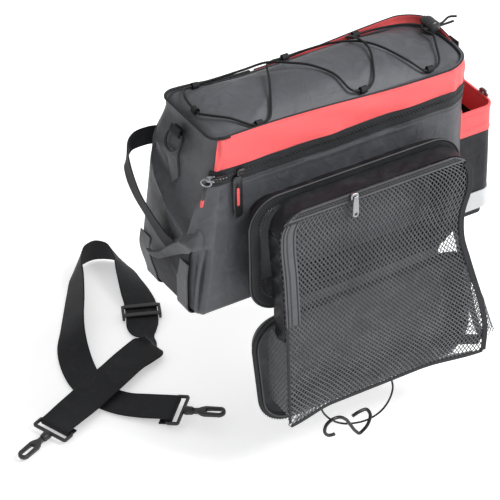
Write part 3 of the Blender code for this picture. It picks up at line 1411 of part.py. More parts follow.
def build_hook(label, axis, out, side, hard):
    """An end ring through the strap's fold, and the snap hook that swivels on its stem."""
    place = basis(axis, out, side)
    width = STRAP_WIDTH + 6 * CLEAR
    inner = 2.6 * BAR
    long = inner + 2 * BAR
    middle = place @ Matrix.Translation((long / 2 - BAR / 2, 0, 0))
    frame = box(f"strap_ring_{label}", (long, width + 2 * BAR, BAR), hard, middle)
    combine(frame, box("window", (inner, width, 2 * BAR), None, middle), "DIFFERENCE")
    start = inner + 1.0 * BAR
    foot = inner + 1.5 * BAR + CLEAR
    head = foot + 1.3 * COLLAR_RADIUS
    profile = [(start, 0), (start, STEM_RADIUS), (head, STEM_RADIUS), (head, 1.6 * STEM_RADIUS),
               (head + STEM_RADIUS, 1.6 * STEM_RADIUS), (head + STEM_RADIUS, 0)]
    combine(frame, turned_solid("stem", profile, hard, 8, place), "UNION")
    bore = STEM_RADIUS + CLEAR
    room = 1.6 * STEM_RADIUS + CLEAR
    end = head + STEM_RADIUS + CLEAR
    close = end + 0.35 * COLLAR_RADIUS
    profile = [(end, 0), (end, room), (head - CLEAR, room), (head - CLEAR, bore), (foot, bore),
               (foot, 0.92 * COLLAR_RADIUS), (foot + 0.3 * COLLAR_RADIUS, COLLAR_RADIUS),
               (end, 0.9 * COLLAR_RADIUS), (close, 0.7 * COLLAR_RADIUS), (close, 0)]
    hook = turned_solid(f"snap_hook_{label}", profile, hard, 10, place)
    reach = HOOK_LENGTH
    half = HOOK_WIDTH / 2
    shank = close - 0.25 * COLLAR_RADIUS
    bow = shank + reach - half
    turn = np.radians(np.linspace(90.0, -90.0, 7))
    outline = [(shank, 0.30 * half), (shank + 0.15 * reach, 0.36 * half), (shank + 0.34 * reach, half)]
    outline += [(bow + half * math.cos(t), half * math.sin(t)) for t in turn]
    outline += [(shank + 0.34 * reach, -half), (shank + 0.15 * reach, -0.36 * half), (shank, -0.30 * half)]
    combine(hook, outline_solid("hook_plate", outline, HOOK_WALL, hard, place), "UNION")
    core = half - 0.9 * BAR
    hole = [(bow + core * math.cos(t), core * math.sin(t)) for t in turn]
    hole += [(shank + 0.42 * reach, -core), (shank + 0.42 * reach, core)]
    combine(hook, outline_solid("hook_eye", hole, 2 * HOOK_WALL, None, place), "DIFFERENCE")
    set_origin(hook, axis)


def main():
    """Clears the scene and builds every piece of the bag."""
    for old in list(bpy.data.objects):
        bpy.data.objects.remove(old, do_unlink=True)
    cloth = material("dark_nylon", (0.085, 0.088, 0.100), 0.62)
    dark_cloth = material("black_nylon", (0.030, 0.031, 0.034), 0.60)
    red = material("coral_cloth", (0.860, 0.130, 0.125), 0.60)
    web = material("black_webbing", (0.022, 0.023, 0.025), 0.75)
    tape = material("zip_tape", (0.025, 0.026, 0.028), 0.55)
    piping = material("grey_piping", (0.110, 0.112, 0.110), 0.50)
    lacing = material("elastic_cord", (0.016, 0.016, 0.018), 0.55)
    mesh = material("black_net", (0.040, 0.041, 0.045), 0.65)
    metal = material("zip_metal", (0.560, 0.570, 0.580), 0.32, 1.0)
    hard = material("black_plastic", (0.024, 0.024, 0.026), 0.35)
    shiny = material("reflective_tape", (0.520, 0.530, 0.540), 0.40)
    wire = material("coated_wire", (0.012, 0.012, 0.013), 0.30)
    build_body(cloth)
    build_lid(cloth)
    build_collar(red, tape)
    build_sliders(metal, hard, red)
    build_ring("front_ring", "front_ring_tab", RING_TURN, 0.95 * RIM_HEIGHT, 6 * GAP, web, hard)
    build_ring("rear_ring", "rear_ring_tab", 2.50, 0.95 * RIM_HEIGHT, 2 * GAP + COLLAR_WALL, web, hard)
    build_webbing(web, cloth)
    build_lacing(lacing, web, hard)
    build_pannier(dark_cloth, tape, piping)
    build_flap(cloth, tape, piping)
    build_pouch(mesh, cloth, tape, metal)
    build_elastic(lacing, wire)
    build_pocket(dark_cloth, red, shiny, hard)
    build_far_pannier(cloth, piping)
    build_strap(web, hard)


main()
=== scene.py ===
"""The looks of a bicycle rack bag: cloth, webbing, zips, nets, cords and hard fittings round the frame."""

import json
import math

import bpy
import bmesh
import numpy as np
from mathutils import Matrix, Vector


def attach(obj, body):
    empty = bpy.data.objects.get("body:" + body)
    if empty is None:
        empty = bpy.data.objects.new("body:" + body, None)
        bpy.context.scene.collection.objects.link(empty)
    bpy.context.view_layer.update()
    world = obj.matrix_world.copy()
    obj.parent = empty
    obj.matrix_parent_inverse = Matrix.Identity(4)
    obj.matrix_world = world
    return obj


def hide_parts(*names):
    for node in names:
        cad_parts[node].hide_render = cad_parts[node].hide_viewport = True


bl_info = {
    "name": "Rack bag looks",
    "version": (1, 0, 0),
    "blender": (4, 5, 0),
    "location": "3D View > Sidebar > Rack bag",
    "description": "Builds the visible cloth, webbing, zips, nets and fittings of a bicycle rack bag",
    "category": "Object",
}

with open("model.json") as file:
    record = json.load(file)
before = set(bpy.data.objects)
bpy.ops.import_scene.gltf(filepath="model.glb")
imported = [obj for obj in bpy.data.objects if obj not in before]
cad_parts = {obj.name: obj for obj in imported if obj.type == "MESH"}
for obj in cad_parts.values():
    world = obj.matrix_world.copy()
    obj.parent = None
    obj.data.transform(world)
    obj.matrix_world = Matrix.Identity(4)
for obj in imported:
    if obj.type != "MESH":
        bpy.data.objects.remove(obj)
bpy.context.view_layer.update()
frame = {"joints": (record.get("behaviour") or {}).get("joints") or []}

BODY = "bag"

# Driving sizes of the bag's frame, in metres.
BAG_WIDTH = 0.125
HALF = BAG_WIDTH / 2
FRONT_TOP = 0.187
FRONT_FOOT = 0.220
REAR_END = 0.172
RIM_HEIGHT = 0.238
FRONT_LIP = 0.009
FRONT_CORNER = 0.016
REAR_CORNER = 0.030
REAR_SWELL = 0.012
FRONT_SWELL = 0.012
FAR_PUFF = 0.014
FOOT_ROUND = 0.010
WALL = 0.0025
GAP = 0.0004
CLEAR = 0.0003
LID_RISE = 0.024
LID_DROP = 0.0015
COLLAR_TOP = 0.249
COLLAR_FOOT = 0.205
COLLAR_WALL = 0.0016
ZIP_WIDTH = 0.020
TAPE_WALL = 0.0012
WEB_WALL = 0.0016
HANDLE_WIDTH = 0.025
RACK_STRAP_WIDTH = 0.025
LACING = 0.0030
LOOP_WIDTH = 0.009
LOOP_WALL = 0.0010
LOOP_REACH = 0.0042
PANNIER_LENGTH = 0.302
PANNIER_SHIFT = -0.010
PANNIER_TOP = 0.168
PANNIER_FOOT = 0.004
PANNIER_CORNER = 0.042
PANNIER_DEPTH = 0.030
PANNIER_FLARE = 0.020
PIPING = 0.0032
FLAP_LENGTH = 0.324
FLAP_SHIFT = 0.002
FLAP_TAPER = 0.016
FLAP_DROP = 0.174
FLAP_NOTCH = 0.014
FLAP_DEPTH = 0.016
HINGE_LENGTH = 0.200
CLOTH = 0.0016
POUCH_TOP = 0.157
POUCH_FOOT = -0.166
POUCH_DEPTH = 0.030
POUCH_SWELL = 0.004
FLARE = 0.024
BAND_WIDTH = 0.011
BINDING_WIDTH = 0.008
ELASTIC = 0.0026
HOOK_WIRE = 0.0034
NET_WALL = 0.0012
POCKET_WIDTH = 0.092
POCKET_REACH = 0.042
POCKET_TOP = 0.153
POCKET_FOOT = -0.012
POCKET_RIM = 0.036
FAR_DEPTH = 0.028
FLOOR = -0.260
STRAP_WIDTH = 0.045
STRAP_WALL = 0.0022
STRAP_REACH = 0.433
BAR = 0.0042

# Fittings of the bag, in metres; a turn is a place round the plan, from 0 to 8.
CORD_PULL_TURN = -0.62
CORD_PULL_LENGTH = 0.022
CORD_PULL_WIDTH = 0.0036
TAB_PULL_LENGTH = 0.058
TAB_PULL_WIDTH = 0.0125
TAB_PULL_WALL = 0.0022
SLIDER_LENGTH = 0.011
SLIDER_WIDTH = 0.009
SLIDER_HEIGHT = 0.0042
RING_WIDTH = 0.030
RING_DROP = 0.024
RING_WIRE = 0.0036
RING_TAB_WIDTH = 0.020
RING_TURN = 6.42
REAR_RING_TURN = 2.50
LOCK_RADIUS = 0.0088
LOCK_LENGTH = 0.021
LOCK_SLOT = -0.22 * LOCK_LENGTH
BUTTON_RADIUS = 0.0058
BUTTON_REACH = 0.0065
BUTTON_DEPTH = 0.0050
BUTTON_TRAVEL = 0.0040
PULL_LENGTH = 0.028
PULL_WIDTH = 0.0085
PULL_WALL = 0.0016
REFLECTOR_WIDTH = 0.026
REFLECTOR_RISE = 0.012
SLIDE_ROW = 12
SLIDE_LENGTH = 0.026
SWIVEL_RADIUS = 0.0062
STEM_RADIUS = 0.0021
HOOK_LENGTH = 0.046
HOOK_WIDTH = 0.016
HOOK_WALL = 0.0060

# Sizes that follow from those above.
POUCH_SPAN = POUCH_TOP - POUCH_FOOT
PANNIER_RIM = HALF + PANNIER_DEPTH
POUCH_FRONT = PANNIER_RIM + POUCH_DEPTH
BAND_SHARE = BAND_WIDTH / POUCH_SPAN
BAND_OUT = NET_WALL / 2 + CLEAR + POUCH_SWELL * 0.12
ZIP_COIL = 0.42 * ZIP_WIDTH
ZIP_SEAT = GAP + TAPE_WALL + 3 * CLEAR
THIN_PIPING = 0.36 * PIPING
RING_INSIDE = 2.6 * BAR
SWIVEL_FOOT = RING_INSIDE + 1.5 * BAR + CLEAR
SWIVEL_HEAD = SWIVEL_FOOT + 1.3 * SWIVEL_RADIUS

# Lie of the worn cloth, in metres.
FOOT_ARCH = 0.012  # how far the net's foot is drawn up between the pouch's corners
FLAP_LIFT = 0.012  # how far the hanging half's foot is drawn up
HINGE_SPREAD = 0.026  # how far the hinge cloth reaches past the hinge towards the rear
FOOT_RECESS = 0.0042  # how far the wall stands back under the front end's foot seam
COLLAR_TURNS = (-0.40, 4.64)
COLLAR_REAR_DROP = 0.011
COLLAR_SIDE_DROP = 0.0125
COLLAR_PUFF = 0.0009
COLLAR_LEAN = 0.0012
ZIP_TURNS = (-0.60, 4.80)

# Points along the pieces' rows.
OUTLINE_POINTS = 260
SIDE_POINTS = 8
BACK_POINTS = 40
ARC_POINTS = 18
LOOP_POINTS = 160
CURL_POINTS = 15

# Light of the stage.
KEY_SPOT = (1.05, -1.35, 1.95)
KEY_SIZE = 1.1
BRIGHT_WAY = (0.55, -0.15, 0.82)
BRIGHT_SHARE = 0.62
FLOOR_REACH = 6.0
FLOOR_DROP = 0.0018
FLOOR_GLOW = 0.42
SENSOR = 36.0

# The camera stands off the front near corner, and its axis passes the frame's middle.
CAMERA_AZIMUTH = math.radians(32.0)
CAMERA_ELEVATION = math.radians(35.5)
CAMERA_DISTANCE = 3.0
CAMERA_LENS = 170.64
# Where the frame's middle lies from the row's origin, in the view's own directions.
AIM_RIGHT = -72.0 / 2370.0
AIM_UP = -10.0 / 2370.0


def colour(label, use, *value):
    """A colour setting."""
    return bpy.props.FloatVectorProperty(name=label, description=use, subtype="COLOR", size=3, min=0, max=1,
                                         default=value)


class BagColours(bpy.types.PropertyGroup):
    """Colours of the bag's cloth, trim and fittings."""

    nylon: colour("Grey nylon", "Main cloth", 0.074, 0.076, 0.086)
    lining: colour("Black nylon", "Thin cloth of the pockets", 0.021, 0.0215, 0.025)
    coral: colour("Coral cloth", "Collar and pocket rim", 0.90, 0.125, 0.130)
    webbing: colour("Webbing", "Straps, handle and loops", 0.024, 0.0245, 0.027)
    tape: colour("Zip tape", "Zip tapes and bindings", 0.020, 0.021, 0.024)
    piping: colour("Piping", "Raised edges of the panniers", 0.060, 0.061, 0.064)
    cord: colour("Elastic", "Elastic cords", 0.008, 0.008, 0.009)
    net: colour("Net", "Strands of the pouch", 0.150, 0.153, 0.162)
    plastic: colour("Plastic", "Hooks, rings and slides", 0.016, 0.016, 0.018)
    metal: colour("Zip metal", "Sliders and pulls", 0.30, 0.305, 0.32)
    silver: colour("Reflector", "Reflective tape", 0.56, 0.57, 0.58)
    floor: colour("Floor", "Studio floor", 0.93, 0.93, 0.93)


class BagCloth(bpy.types.PropertyGroup):
    """Sizes of weave, folds and stitches."""

    weave: bpy.props.FloatProperty(
        name="Weave pitch", description="Width of one thread pair", unit="LENGTH", default=0.0011, min=0.0002)
    rib: bpy.props.FloatProperty(
        name="Webbing rib", description="Width of one rib of the webbing", unit="LENGTH",
        default=0.0022, min=0.0005)
    fold: bpy.props.FloatProperty(
        name="Fold depth", description="Depth of the front end's folds", unit="LENGTH", default=0.0060, min=0.0)
    stitch: bpy.props.FloatProperty(
        name="Stitch", description="Length of one stitch", unit="LENGTH", default=0.0030, min=0.001)
    tooth: bpy.props.FloatProperty(
        name="Zip tooth", description="Spacing of the zip teeth", unit="LENGTH", default=0.0022, min=0.001)


class BagNet(bpy.types.PropertyGroup):
    """Sizes of the pouch's net."""

    pitch: bpy.props.FloatProperty(
        name="Net pitch", description="Width of one diamond of the net", unit="LENGTH", default=0.0062, min=0.003)
    strand: bpy.props.FloatProperty(
        name="Strand", description="Thickness of one strand", unit="LENGTH", default=0.0013, min=0.0003)
    stretch: bpy.props.FloatProperty(
        name="Net stretch", description="Height of a diamond over its width", default=1.40, min=0.5, max=3.0)


class BagStage(bpy.types.PropertyGroup):
    """Light and floor."""

    key: bpy.props.FloatProperty(
        name="Key light", description="Strength of the soft box over the bag", unit="POWER", default=58.0, min=0.0)
    fill: bpy.props.FloatProperty(
        name="Surroundings", description="Brightness of the white studio", default=0.52, min=0.0)


# Shapes in numbers


def smooth(share):
    """0 below 0, 1 above 1, and a smooth rise between them."""
    held = np.clip(share, 0.0, 1.0)
    return held * held * (3.0 - 2.0 * held)


def through(knots, values, at):
    """A cubic curve through values at knots, read at the places at."""
    knots = np.asarray(knots, float)
    values = np.asarray(values, float)
    slopes = np.gradient(values, knots, axis=0)
    at = np.clip(np.asarray(at, float), knots[0], knots[-1])
    index = np.clip(np.searchsorted(knots, at, side="right") - 1, 0, len(knots) - 2)
    span = knots[index + 1] - knots[index]
    share = (at - knots[index]) / span
    if values.ndim > 1:
        share, span = share[:, None], span[:, None]
    square, cube = share**2, share**3
    return ((2 * cube - 3 * square + 1) * values[index] + (cube - 2 * square + share) * span * slopes[index]
            + (3 * square - 2 * cube) * values[index + 1] + (cube - square) * span * slopes[index + 1])


def lengths(path):
    """How far along a path each of its points lies."""
    return np.concatenate([[0.0], np.cumsum(np.linalg.norm(np.diff(path, axis=0), axis=1))])


def route(points, count):
    """count points evenly spaced along the cubic curve through points."""
    points = np.asarray(points, float)
    knots = lengths(points)
    fine = through(knots, points, np.linspace(0.0, knots[-1], 20 * len(points)))
    reach = lengths(fine)
    even = np.linspace(0.0, reach[-1], count)
    return np.stack([np.interp(even, reach, fine[:, k]) for k in range(points.shape[1])], axis=1)


def unit(vectors):
    """Vectors made one long."""
    return vectors / np.maximum(np.linalg.norm(vectors, axis=-1, keepdims=True), 1e-12)


def grid_normals(grid):
    """Unit normals of a grid of points: its way along the rows crossed with its way along the columns."""
    return unit(np.cross(np.gradient(grid, axis=0), np.gradient(grid, axis=1)))


def plan_front(height):
    """X of the leaning front end at a height."""
    return -FRONT_FOOT + (FRONT_FOOT - FRONT_TOP) * np.clip(height / RIM_HEIGHT, 0.0, 1.05)


def rim_at(x):
    """Height of the wall's top edge: it rises at the front end."""
    return RIM_HEIGHT + FRONT_LIP * smooth((-x - FRONT_TOP + 0.9 * BAG_WIDTH) / (0.8 * BAG_WIDTH))


# Lengths of the eight stretches of the plan, from the near side on round by the rear.
STRETCHES = np.array([0.347, 0.047, 0.065, 0.047, 0.347, 0.025, 0.093, 0.025])
PLAN_MARKS = np.concatenate([[0.0], np.cumsum(STRETCHES)])


def unroll(turn):
    """Distance round the plan at a turn value."""
    return np.interp(turn, np.arange(9.0), PLAN_MARKS)


# Folds of the walls: each runs from one place to another, and a place is a turn round the plan and
# a share of the rim height. Relief is in fold depths, outwards if above 0.
FOLDS = (
    # turn_1, height_1, turn_2, height_2, relief, width
    (7.55, 0.83, 6.88, 0.43, 0.80, 0.0045),
    (6.12, 0.66, 6.88, 0.43, 0.85, 0.0050),
    (7.62, 0.44, 6.88, 0.42, 0.55, 0.0070),
    (6.45, 0.27, 6.15, 0.25, 0.35, 0.0045),
    (7.14, 0.36, 7.04, 0.02, -1.40, 0.0050),
    (7.36, 0.32, 7.28, 0.05, 0.55, 0.0040),
    (7.66, 0.40, 7.52, 0.04, -1.00, 0.0026),
    (7.95, 0.40, 7.85, 0.05, 0.30, 0.0070),
    (7.75, 0.62, 7.50, 0.05, 0.28, 0.0130),
    (0.02, 0.66, 0.06, 0.10, -0.30, 0.0100),
    (0.10, 0.60, 0.07, 0.25, 0.25, 0.0100),
    (7.30, 0.78, 7.72, 0.52, -0.30, 0.0080),
    (6.30, 0.78, 6.34, 0.56, -0.35, 0.0060),
    (6.02, 0.86, 6.25, 0.72, 0.30, 0.0060),
    (5.20, 0.80, 5.45, 0.30, 0.40, 0.0120),
    (5.80, 0.62, 5.95, 0.30, -0.30, 0.0080),
    (0.93, 0.62, 0.97, 0.30, -0.25, 0.0090),
    (1.30, 0.70, 1.20, 0.10, 0.22, 0.0110),
    (3.60, 0.70, 3.75, 0.12, 0.22, 0.0110),
    (0.30, 0.742, 0.85, 0.738, 0.16, 0.0030),
    (4.10, 0.745, 4.90, 0.742, 0.16, 0.0030),
    (4.40, 0.60, 4.65, 0.20, 0.20, 0.0150),
)

# The two lines of the front end's pushed-in facet, and its depth in fold depths.
FACET = ((7.55, 0.83), (6.12, 0.66), (6.88, 0.43), 1.35)


def wall_relief(turn, height, depth):
    """How far the folds push the wall out.

    Each fold adds relief * depth / (1 + (d / width)^2), where d is the distance to its line, and
    the facet between the front end's two crossing folds is pushed in by a smooth step.
    """
    way = unroll(turn)
    found = np.zeros(np.broadcast(way, height).shape)
    for turn_1, high_1, turn_2, high_2, relief, width in FOLDS:
        a = np.array([unroll(turn_1), high_1 * RIM_HEIGHT])
        b = np.array([unroll(turn_2), high_2 * RIM_HEIGHT])
        step = b - a
        share = np.clip(((way - a[0]) * step[0] + (height - a[1]) * step[1]) / (step @ step), 0.0, 1.0)
        away = np.sqrt((way - a[0] - share * step[0]) ** 2 + (height - a[1] - share * step[1]) ** 2)
        ends = 0.35 + 0.65 * np.sin(math.pi * np.clip(share, 0.06, 0.94))
        found = found + relief * ends / (1.0 + (away / width) ** 2) ** 1.5
    near, far, tip, push = FACET
    inside = np.ones_like(found)
    for mark, sign in ((near, -1.0), (far, 1.0)):
        a = np.array([unroll(mark[0]), mark[1] * RIM_HEIGHT])
        b = np.array([unroll(tip[0]), tip[1] * RIM_HEIGHT])
        step = (b - a) / np.linalg.norm(b - a)
        inside = inside * smooth(sign * (step[0] * (height - a[1]) - step[1] * (way - a[0])) / 0.011)
    inside = inside * smooth((0.97 - height / RIM_HEIGHT) / 0.30) * (way > unroll(5.5))
    return depth * (found - push * inside)


def wall_ripple(turn, height):
    """Slow unevenness of the cloth: a sum of sines of the way round and the height."""
    way = unroll(turn)
    round_way = PLAN_MARKS[-1]
    waves = 0.0
    for k, m, phase, size in ((5, 14.0, 0.3, 0.5), (9, -21.0, 1.9, 0.35), (16, 33.0, 4.1, 0.22),
                              (27, -47.0, 2.2, 0.12)):
        waves = waves + size * np.sin(2 * math.pi * k * way / round_way + m * height + phase)
    fade = smooth(height / 0.03) * smooth((RIM_HEIGHT - height) / 0.03)
    return 0.0011 * waves * fade


def wall_point(turn, height, out, depth=0.0060, folded=True):
    """A point out from the bag's side wall at a height.

    turn runs 0 to 8 round the plan: the near side, the rear near corner, the rear end, the
    rear far corner, the far side, the front far corner, the front end, the front near corner.
    """
    turn, height, out = np.broadcast_arrays(*[np.asarray(v, float) for v in (turn, height, out)])
    turn = np.mod(turn, 8.0)
    part = np.floor(turn).astype(int)
    share = turn - part
    front = plan_front(height)
    fore_x, back = front + FRONT_CORNER, REAR_END - REAR_CORNER
    side, fore = HALF - REAR_CORNER, HALF - FRONT_CORNER
    sides = [part == 0, part == 2, part == 4, part == 6]
    x = np.select(sides, [fore_x + (back - fore_x) * share, REAR_END + 0 * share,
                          back + (fore_x - back) * share, front])
    y = np.select(sides, [-HALF + 0 * share, -side + 2 * side * share, HALF + 0 * share, fore - 2 * fore * share])
    nx = np.select(sides, [0 * share, 1 + 0 * share, 0 * share, -1 + 0 * share])
    ny = np.select(sides, [-1 + 0 * share, 0 * share, 1 + 0 * share, 0 * share])
    for corner, cx, cy, radius, begin in ((1, back, -side, REAR_CORNER, -90.0), (3, back, side, REAR_CORNER, 0.0),
                                          (5, fore_x, fore, FRONT_CORNER, 90.0),
                                          (7, fore_x, -fore, FRONT_CORNER, 180.0)):
        angle = np.radians(begin + 90.0 * share)
        here = part == corner
        nx, ny = np.where(here, np.cos(angle), nx), np.where(here, np.sin(angle), ny)
        x, y = np.where(here, cx + radius * np.cos(angle), x), np.where(here, cy + radius * np.sin(angle), y)
    if folded:
        out = out + wall_ripple(turn, height) + wall_relief(turn, height, depth)
    x, y = x + out * nx, y + out * ny
    return np.stack([x + wall_swell(x, y, height), y, height], axis=-1)


def wall_line(turn, height, out, fold):
    """A path on the folded wall and its outward directions."""
    path = wall_point(turn, height, out, fold)
    return path, unit(path - wall_point(turn, height, out - 0.01, fold))


def wall_swell(x, y, height):
    """How far the cloth stands out along X: the rear end's roundness and the front end's."""
    side = np.clip(y / HALF, -1.0, 1.0)
    share = np.clip(height / RIM_HEIGHT, 0.0, 1.05)
    front = plan_front(height)
    rear_part = smooth((x - REAR_END + 2 * REAR_CORNER) / (2 * REAR_CORNER))
    front_part = smooth((front + 3 * FRONT_CORNER - x) / (3 * FRONT_CORNER))
    lift = smooth(share / 0.25) * smooth((1.0 - share) / 0.18)
    relief = 0.6 * FRONT_SWELL * (1.0 - side**2) * lift + FAR_PUFF * smooth((side + 0.6) / 1.6) * lift
    return REAR_SWELL * (1.0 - side**2) * rear_part - relief * front_part


def foot_inset(height):
    """How far the rounded foot edge draws the wall in at a height."""
    below = np.clip(FOOT_ROUND - height, 0.0, FOOT_ROUND)
    return FOOT_ROUND - np.sqrt(np.maximum(FOOT_ROUND**2 - below**2, 0.0))


def lid_height(x, y):
    """Height of the lid's upper face: a dome that meets the rim, higher at the front lip."""
    middle = (REAR_END + REAR_SWELL - FRONT_TOP) / 2
    reach = (REAR_END + REAR_SWELL + FRONT_TOP) / 2 - WALL - GAP
    away = (np.abs((x - middle) / reach) ** 4 + np.abs(y / (HALF - WALL - GAP)) ** 4) ** 0.25
    return rim_at(x) - LID_DROP + LID_RISE * (1.0 - np.clip(away, 0.0, 1.0) ** 2.4)


def lid_frame(along, side):
    """Points on the lid's dome from shares of its length and half width, and its normals there."""
    x, y = -FRONT_TOP + along * (FRONT_TOP + REAR_END + REAR_SWELL), side * HALF
    step = 0.02 * HALF
    rise_x = (lid_height(x + step, y) - lid_height(x - step, y)) / (2 * step)
    rise_y = (lid_height(x, y + step) - lid_height(x, y - step)) / (2 * step)
    normal = unit(np.stack([-rise_x, -rise_y, np.ones_like(rise_x)], axis=-1))
    return np.stack([x, y, lid_height(x, y)], axis=-1), normal


# Meshes from whole arrays


def lattice(rows, columns, wrap_rows=False, wrap_columns=False):
    """Quads of a grid as corner numbers, with the row and column of each corner before wrapping."""
    r = np.arange(rows if wrap_rows else rows - 1)[:, None]
    c = np.arange(columns if wrap_columns else columns - 1)[None, :]
    row = np.stack(np.broadcast_arrays(r, r, r + 1, r + 1), axis=-1) + 0 * c[..., None]
    column = np.stack(np.broadcast_arrays(c, c + 1, c + 1, c), axis=-1) + 0 * r[..., None]
    corner = (row % rows) * columns + column % columns
    return corner.reshape(-1, 4), row.reshape(-1, 4), column.reshape(-1, 4)


def link_piece(name, vertices, faces, finish, body=BODY, replaces=(), slot=None, sharp=40.0, uv=None):
    """One object from vertices and faces, its faces turned outwards, riding on a body."""
    mesh = bpy.data.meshes.new(name)
    mesh.from_pydata(np.asarray(vertices).tolist(), [], faces if isinstance(faces, list) else faces.tolist())
    if uv is not None:
        layer = mesh.uv_layers.new(name="UVMap")
        layer.data.foreach_set("uv", np.asarray(uv, np.float32).ravel())
    shape = bmesh.new()
    shape.from_mesh(mesh)
    bmesh.ops.recalc_face_normals(shape, faces=shape.faces)
    shape.to_mesh(mesh)
    shape.free()
    mesh.materials.append(finish)
    mesh.shade_smooth()
    mesh.set_sharp_from_angle(angle=math.radians(sharp))
    made = bpy.data.objects.new(name, mesh)
    bpy.context.scene.collection.objects.link(made)
    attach(made, body)
    if replaces:
        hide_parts(*replaces)
    return made


def spans(grid, axis, wrap):
    """Mean distance of each row or column of a grid from the first, in metres."""
    closed = np.concatenate([grid, np.take(grid, [0], axis=axis)], axis=axis) if wrap else grid
    steps = np.linalg.norm(np.diff(closed, axis=axis), axis=2).mean(axis=1 - axis)
    return np.concatenate([[0.0], np.cumsum(steps)])


def shell(name, outer, inner, finish, wrap=False, **more):
    """A closed wall between two grids of points of the same size; wrap joins last column to first."""
    rows, columns = outer.shape[:2]
    whole = np.concatenate([outer, inner[::-1]], axis=0)
    corner, row, column = lattice(2 * rows, columns, True, wrap)
    rise = spans(outer, 0, False)
    rise = np.concatenate([rise, rise[::-1], rise[:1]])
    way = spans(outer, 1, wrap)
    uv = np.stack([way[column], rise[row]], axis=-1).reshape(-1, 2)
    faces = corner.tolist()
    if not wrap:
        r = np.arange(rows - 1)
        for c in (0, columns - 1):
            ends = np.stack([r, r + 1, 2 * rows - 2 - r, 2 * rows - 1 - r], axis=1)
            faces += (ends * columns + c).tolist()
            uv = np.concatenate([uv, np.stack([np.full(4 * len(r), way[c]), rise[np.stack(
                [r, r + 1, r + 1, r], axis=1)].ravel()], axis=1)])
    return link_piece(name, whole.reshape(-1, 3), faces, finish, uv=uv, **more)


def wall_cloth(name, turn, height, out, wall, fold, finish, **more):
    """A piece of cloth on the folded wall, its outer face at out and its thickness wall."""
    return shell(name, wall_point(turn, height, out, fold), wall_point(turn, height, out - wall, fold), finish,
                 **more)


def sheet(name, grid, wall, finish, wrap=False, **more):
    """A closed wall of the given thickness about a grid of points."""
    turned = grid_normals(grid) * wall / 2
    if wrap:
        padded = np.concatenate([grid[:, -2:], grid, grid[:, :2]], axis=1)
        turned = grid_normals(padded)[:, 2:-2] * wall / 2
    return shell(name, grid + turned, grid - turned, finish, wrap, **more)


def side_frames(path, ups, closed=False):
    """Unit tangents, side directions and square up directions along a path with rough ups."""
    if closed:
        tangent = unit(np.roll(path, -1, axis=0) - np.roll(path, 1, axis=0))
    else:
        tangent = unit(np.gradient(path, axis=0))
    side = unit(np.cross(tangent, ups))
    return tangent, side, np.cross(side, tangent)


def carry(name, path, ups, profile, finish, closed=False, **more):
    """A closed profile carried along a path: each point is path + side * across + up * lift."""
    path, profile = np.asarray(path, float), np.asarray(profile, float)
    ups = np.broadcast_to(np.asarray(ups, float), path.shape)
    _, side, up = side_frames(path, ups, closed)
    if profile.ndim == 2:
        profile = np.broadcast_to(profile, (len(path),) + profile.shape)
    rings = path[:, None] + side[:, None] * profile[..., :1] + up[:, None] * profile[..., 1:]
    corner, row, column = lattice(len(path), profile.shape[1], closed, True)
    way = spans(rings, 0, closed)
    across = spans(rings, 1, True)
    uv = np.stack([across[column], way[row]], axis=-1).reshape(-1, 2)
    faces = corner.tolist()
    if not closed:
        count = profile.shape[1]
        for start in (0, (len(path) - 1) * count):
            faces.append(list(range(start, start + count)))
            uv = np.concatenate([uv, np.zeros((count, 2))])
    return link_piece(name, rings.reshape(-1, 3), faces, finish, uv=uv, **more)


def circle(radius, sides):
    """A round profile."""
    turn = np.arange(sides) * 2 * math.pi / sides
    return np.stack([radius * np.cos(turn), radius * np.sin(turn)], axis=1)


def strap_profile(width, wall):
    """A webbing's section: flat faces, slightly thicker woven edges and round sides."""
    half, lip = width / 2, 0.5 * wall
    return np.array([(-half + lip, -0.55 * wall), (-half + 2.2 * lip, -0.5 * wall), (0.0, -0.47 * wall),
                     (half - 2.2 * lip, -0.5 * wall), (half - lip, -0.55 * wall), (half, -0.25 * wall),
                     (half, 0.25 * wall), (half - lip, 0.55 * wall), (half - 2.2 * lip, 0.5 * wall),
                     (0.0, 0.47 * wall), (-half + 2.2 * lip, 0.5 * wall), (-half + lip, 0.55 * wall),
                     (-half, 0.25 * wall), (-half, -0.25 * wall)])


def steady(path, start=(0.0, 0.0, 1.0)):
    """Up directions carried along a path without twist, from the first one."""
    tangent = unit(np.gradient(path, axis=0))
    side = np.array(start, float)
    if abs(tangent[0] @ side) > 0.9:
        side = np.array([0.0, 1.0, 0.0])
    found = []
    for way in tangent:
        side = unit(side - way * (side @ way))
        found.append(side)
    return np.array(found)


def tube(name, path, radius, finish, sides=10, closed=False, **more):
    """A round bar along a path."""
    path = np.asarray(path, float)
    return carry(name, path, steady(path), circle(radius, sides), finish, closed, **more)


BEAD = np.array([(-0.5, 0, 0), (-0.25, 0.5, 0.1), (-0.25, -0.5, 0.1), (-0.25, 0, 0.5),
                 (0.25, 0.5, 0.1), (0.25, -0.5, 0.1), (0.25, 0, 0.5), (0.5, 0, 0)])
BEAD_FACES = np.array([(0, 2, 3), (0, 3, 1), (0, 1, 2), (1, 3, 6), (1, 6, 4), (3, 2, 5), (3, 5, 6),
                       (2, 1, 4), (2, 4, 5), (4, 6, 7), (6, 5, 7), (5, 4, 7)])


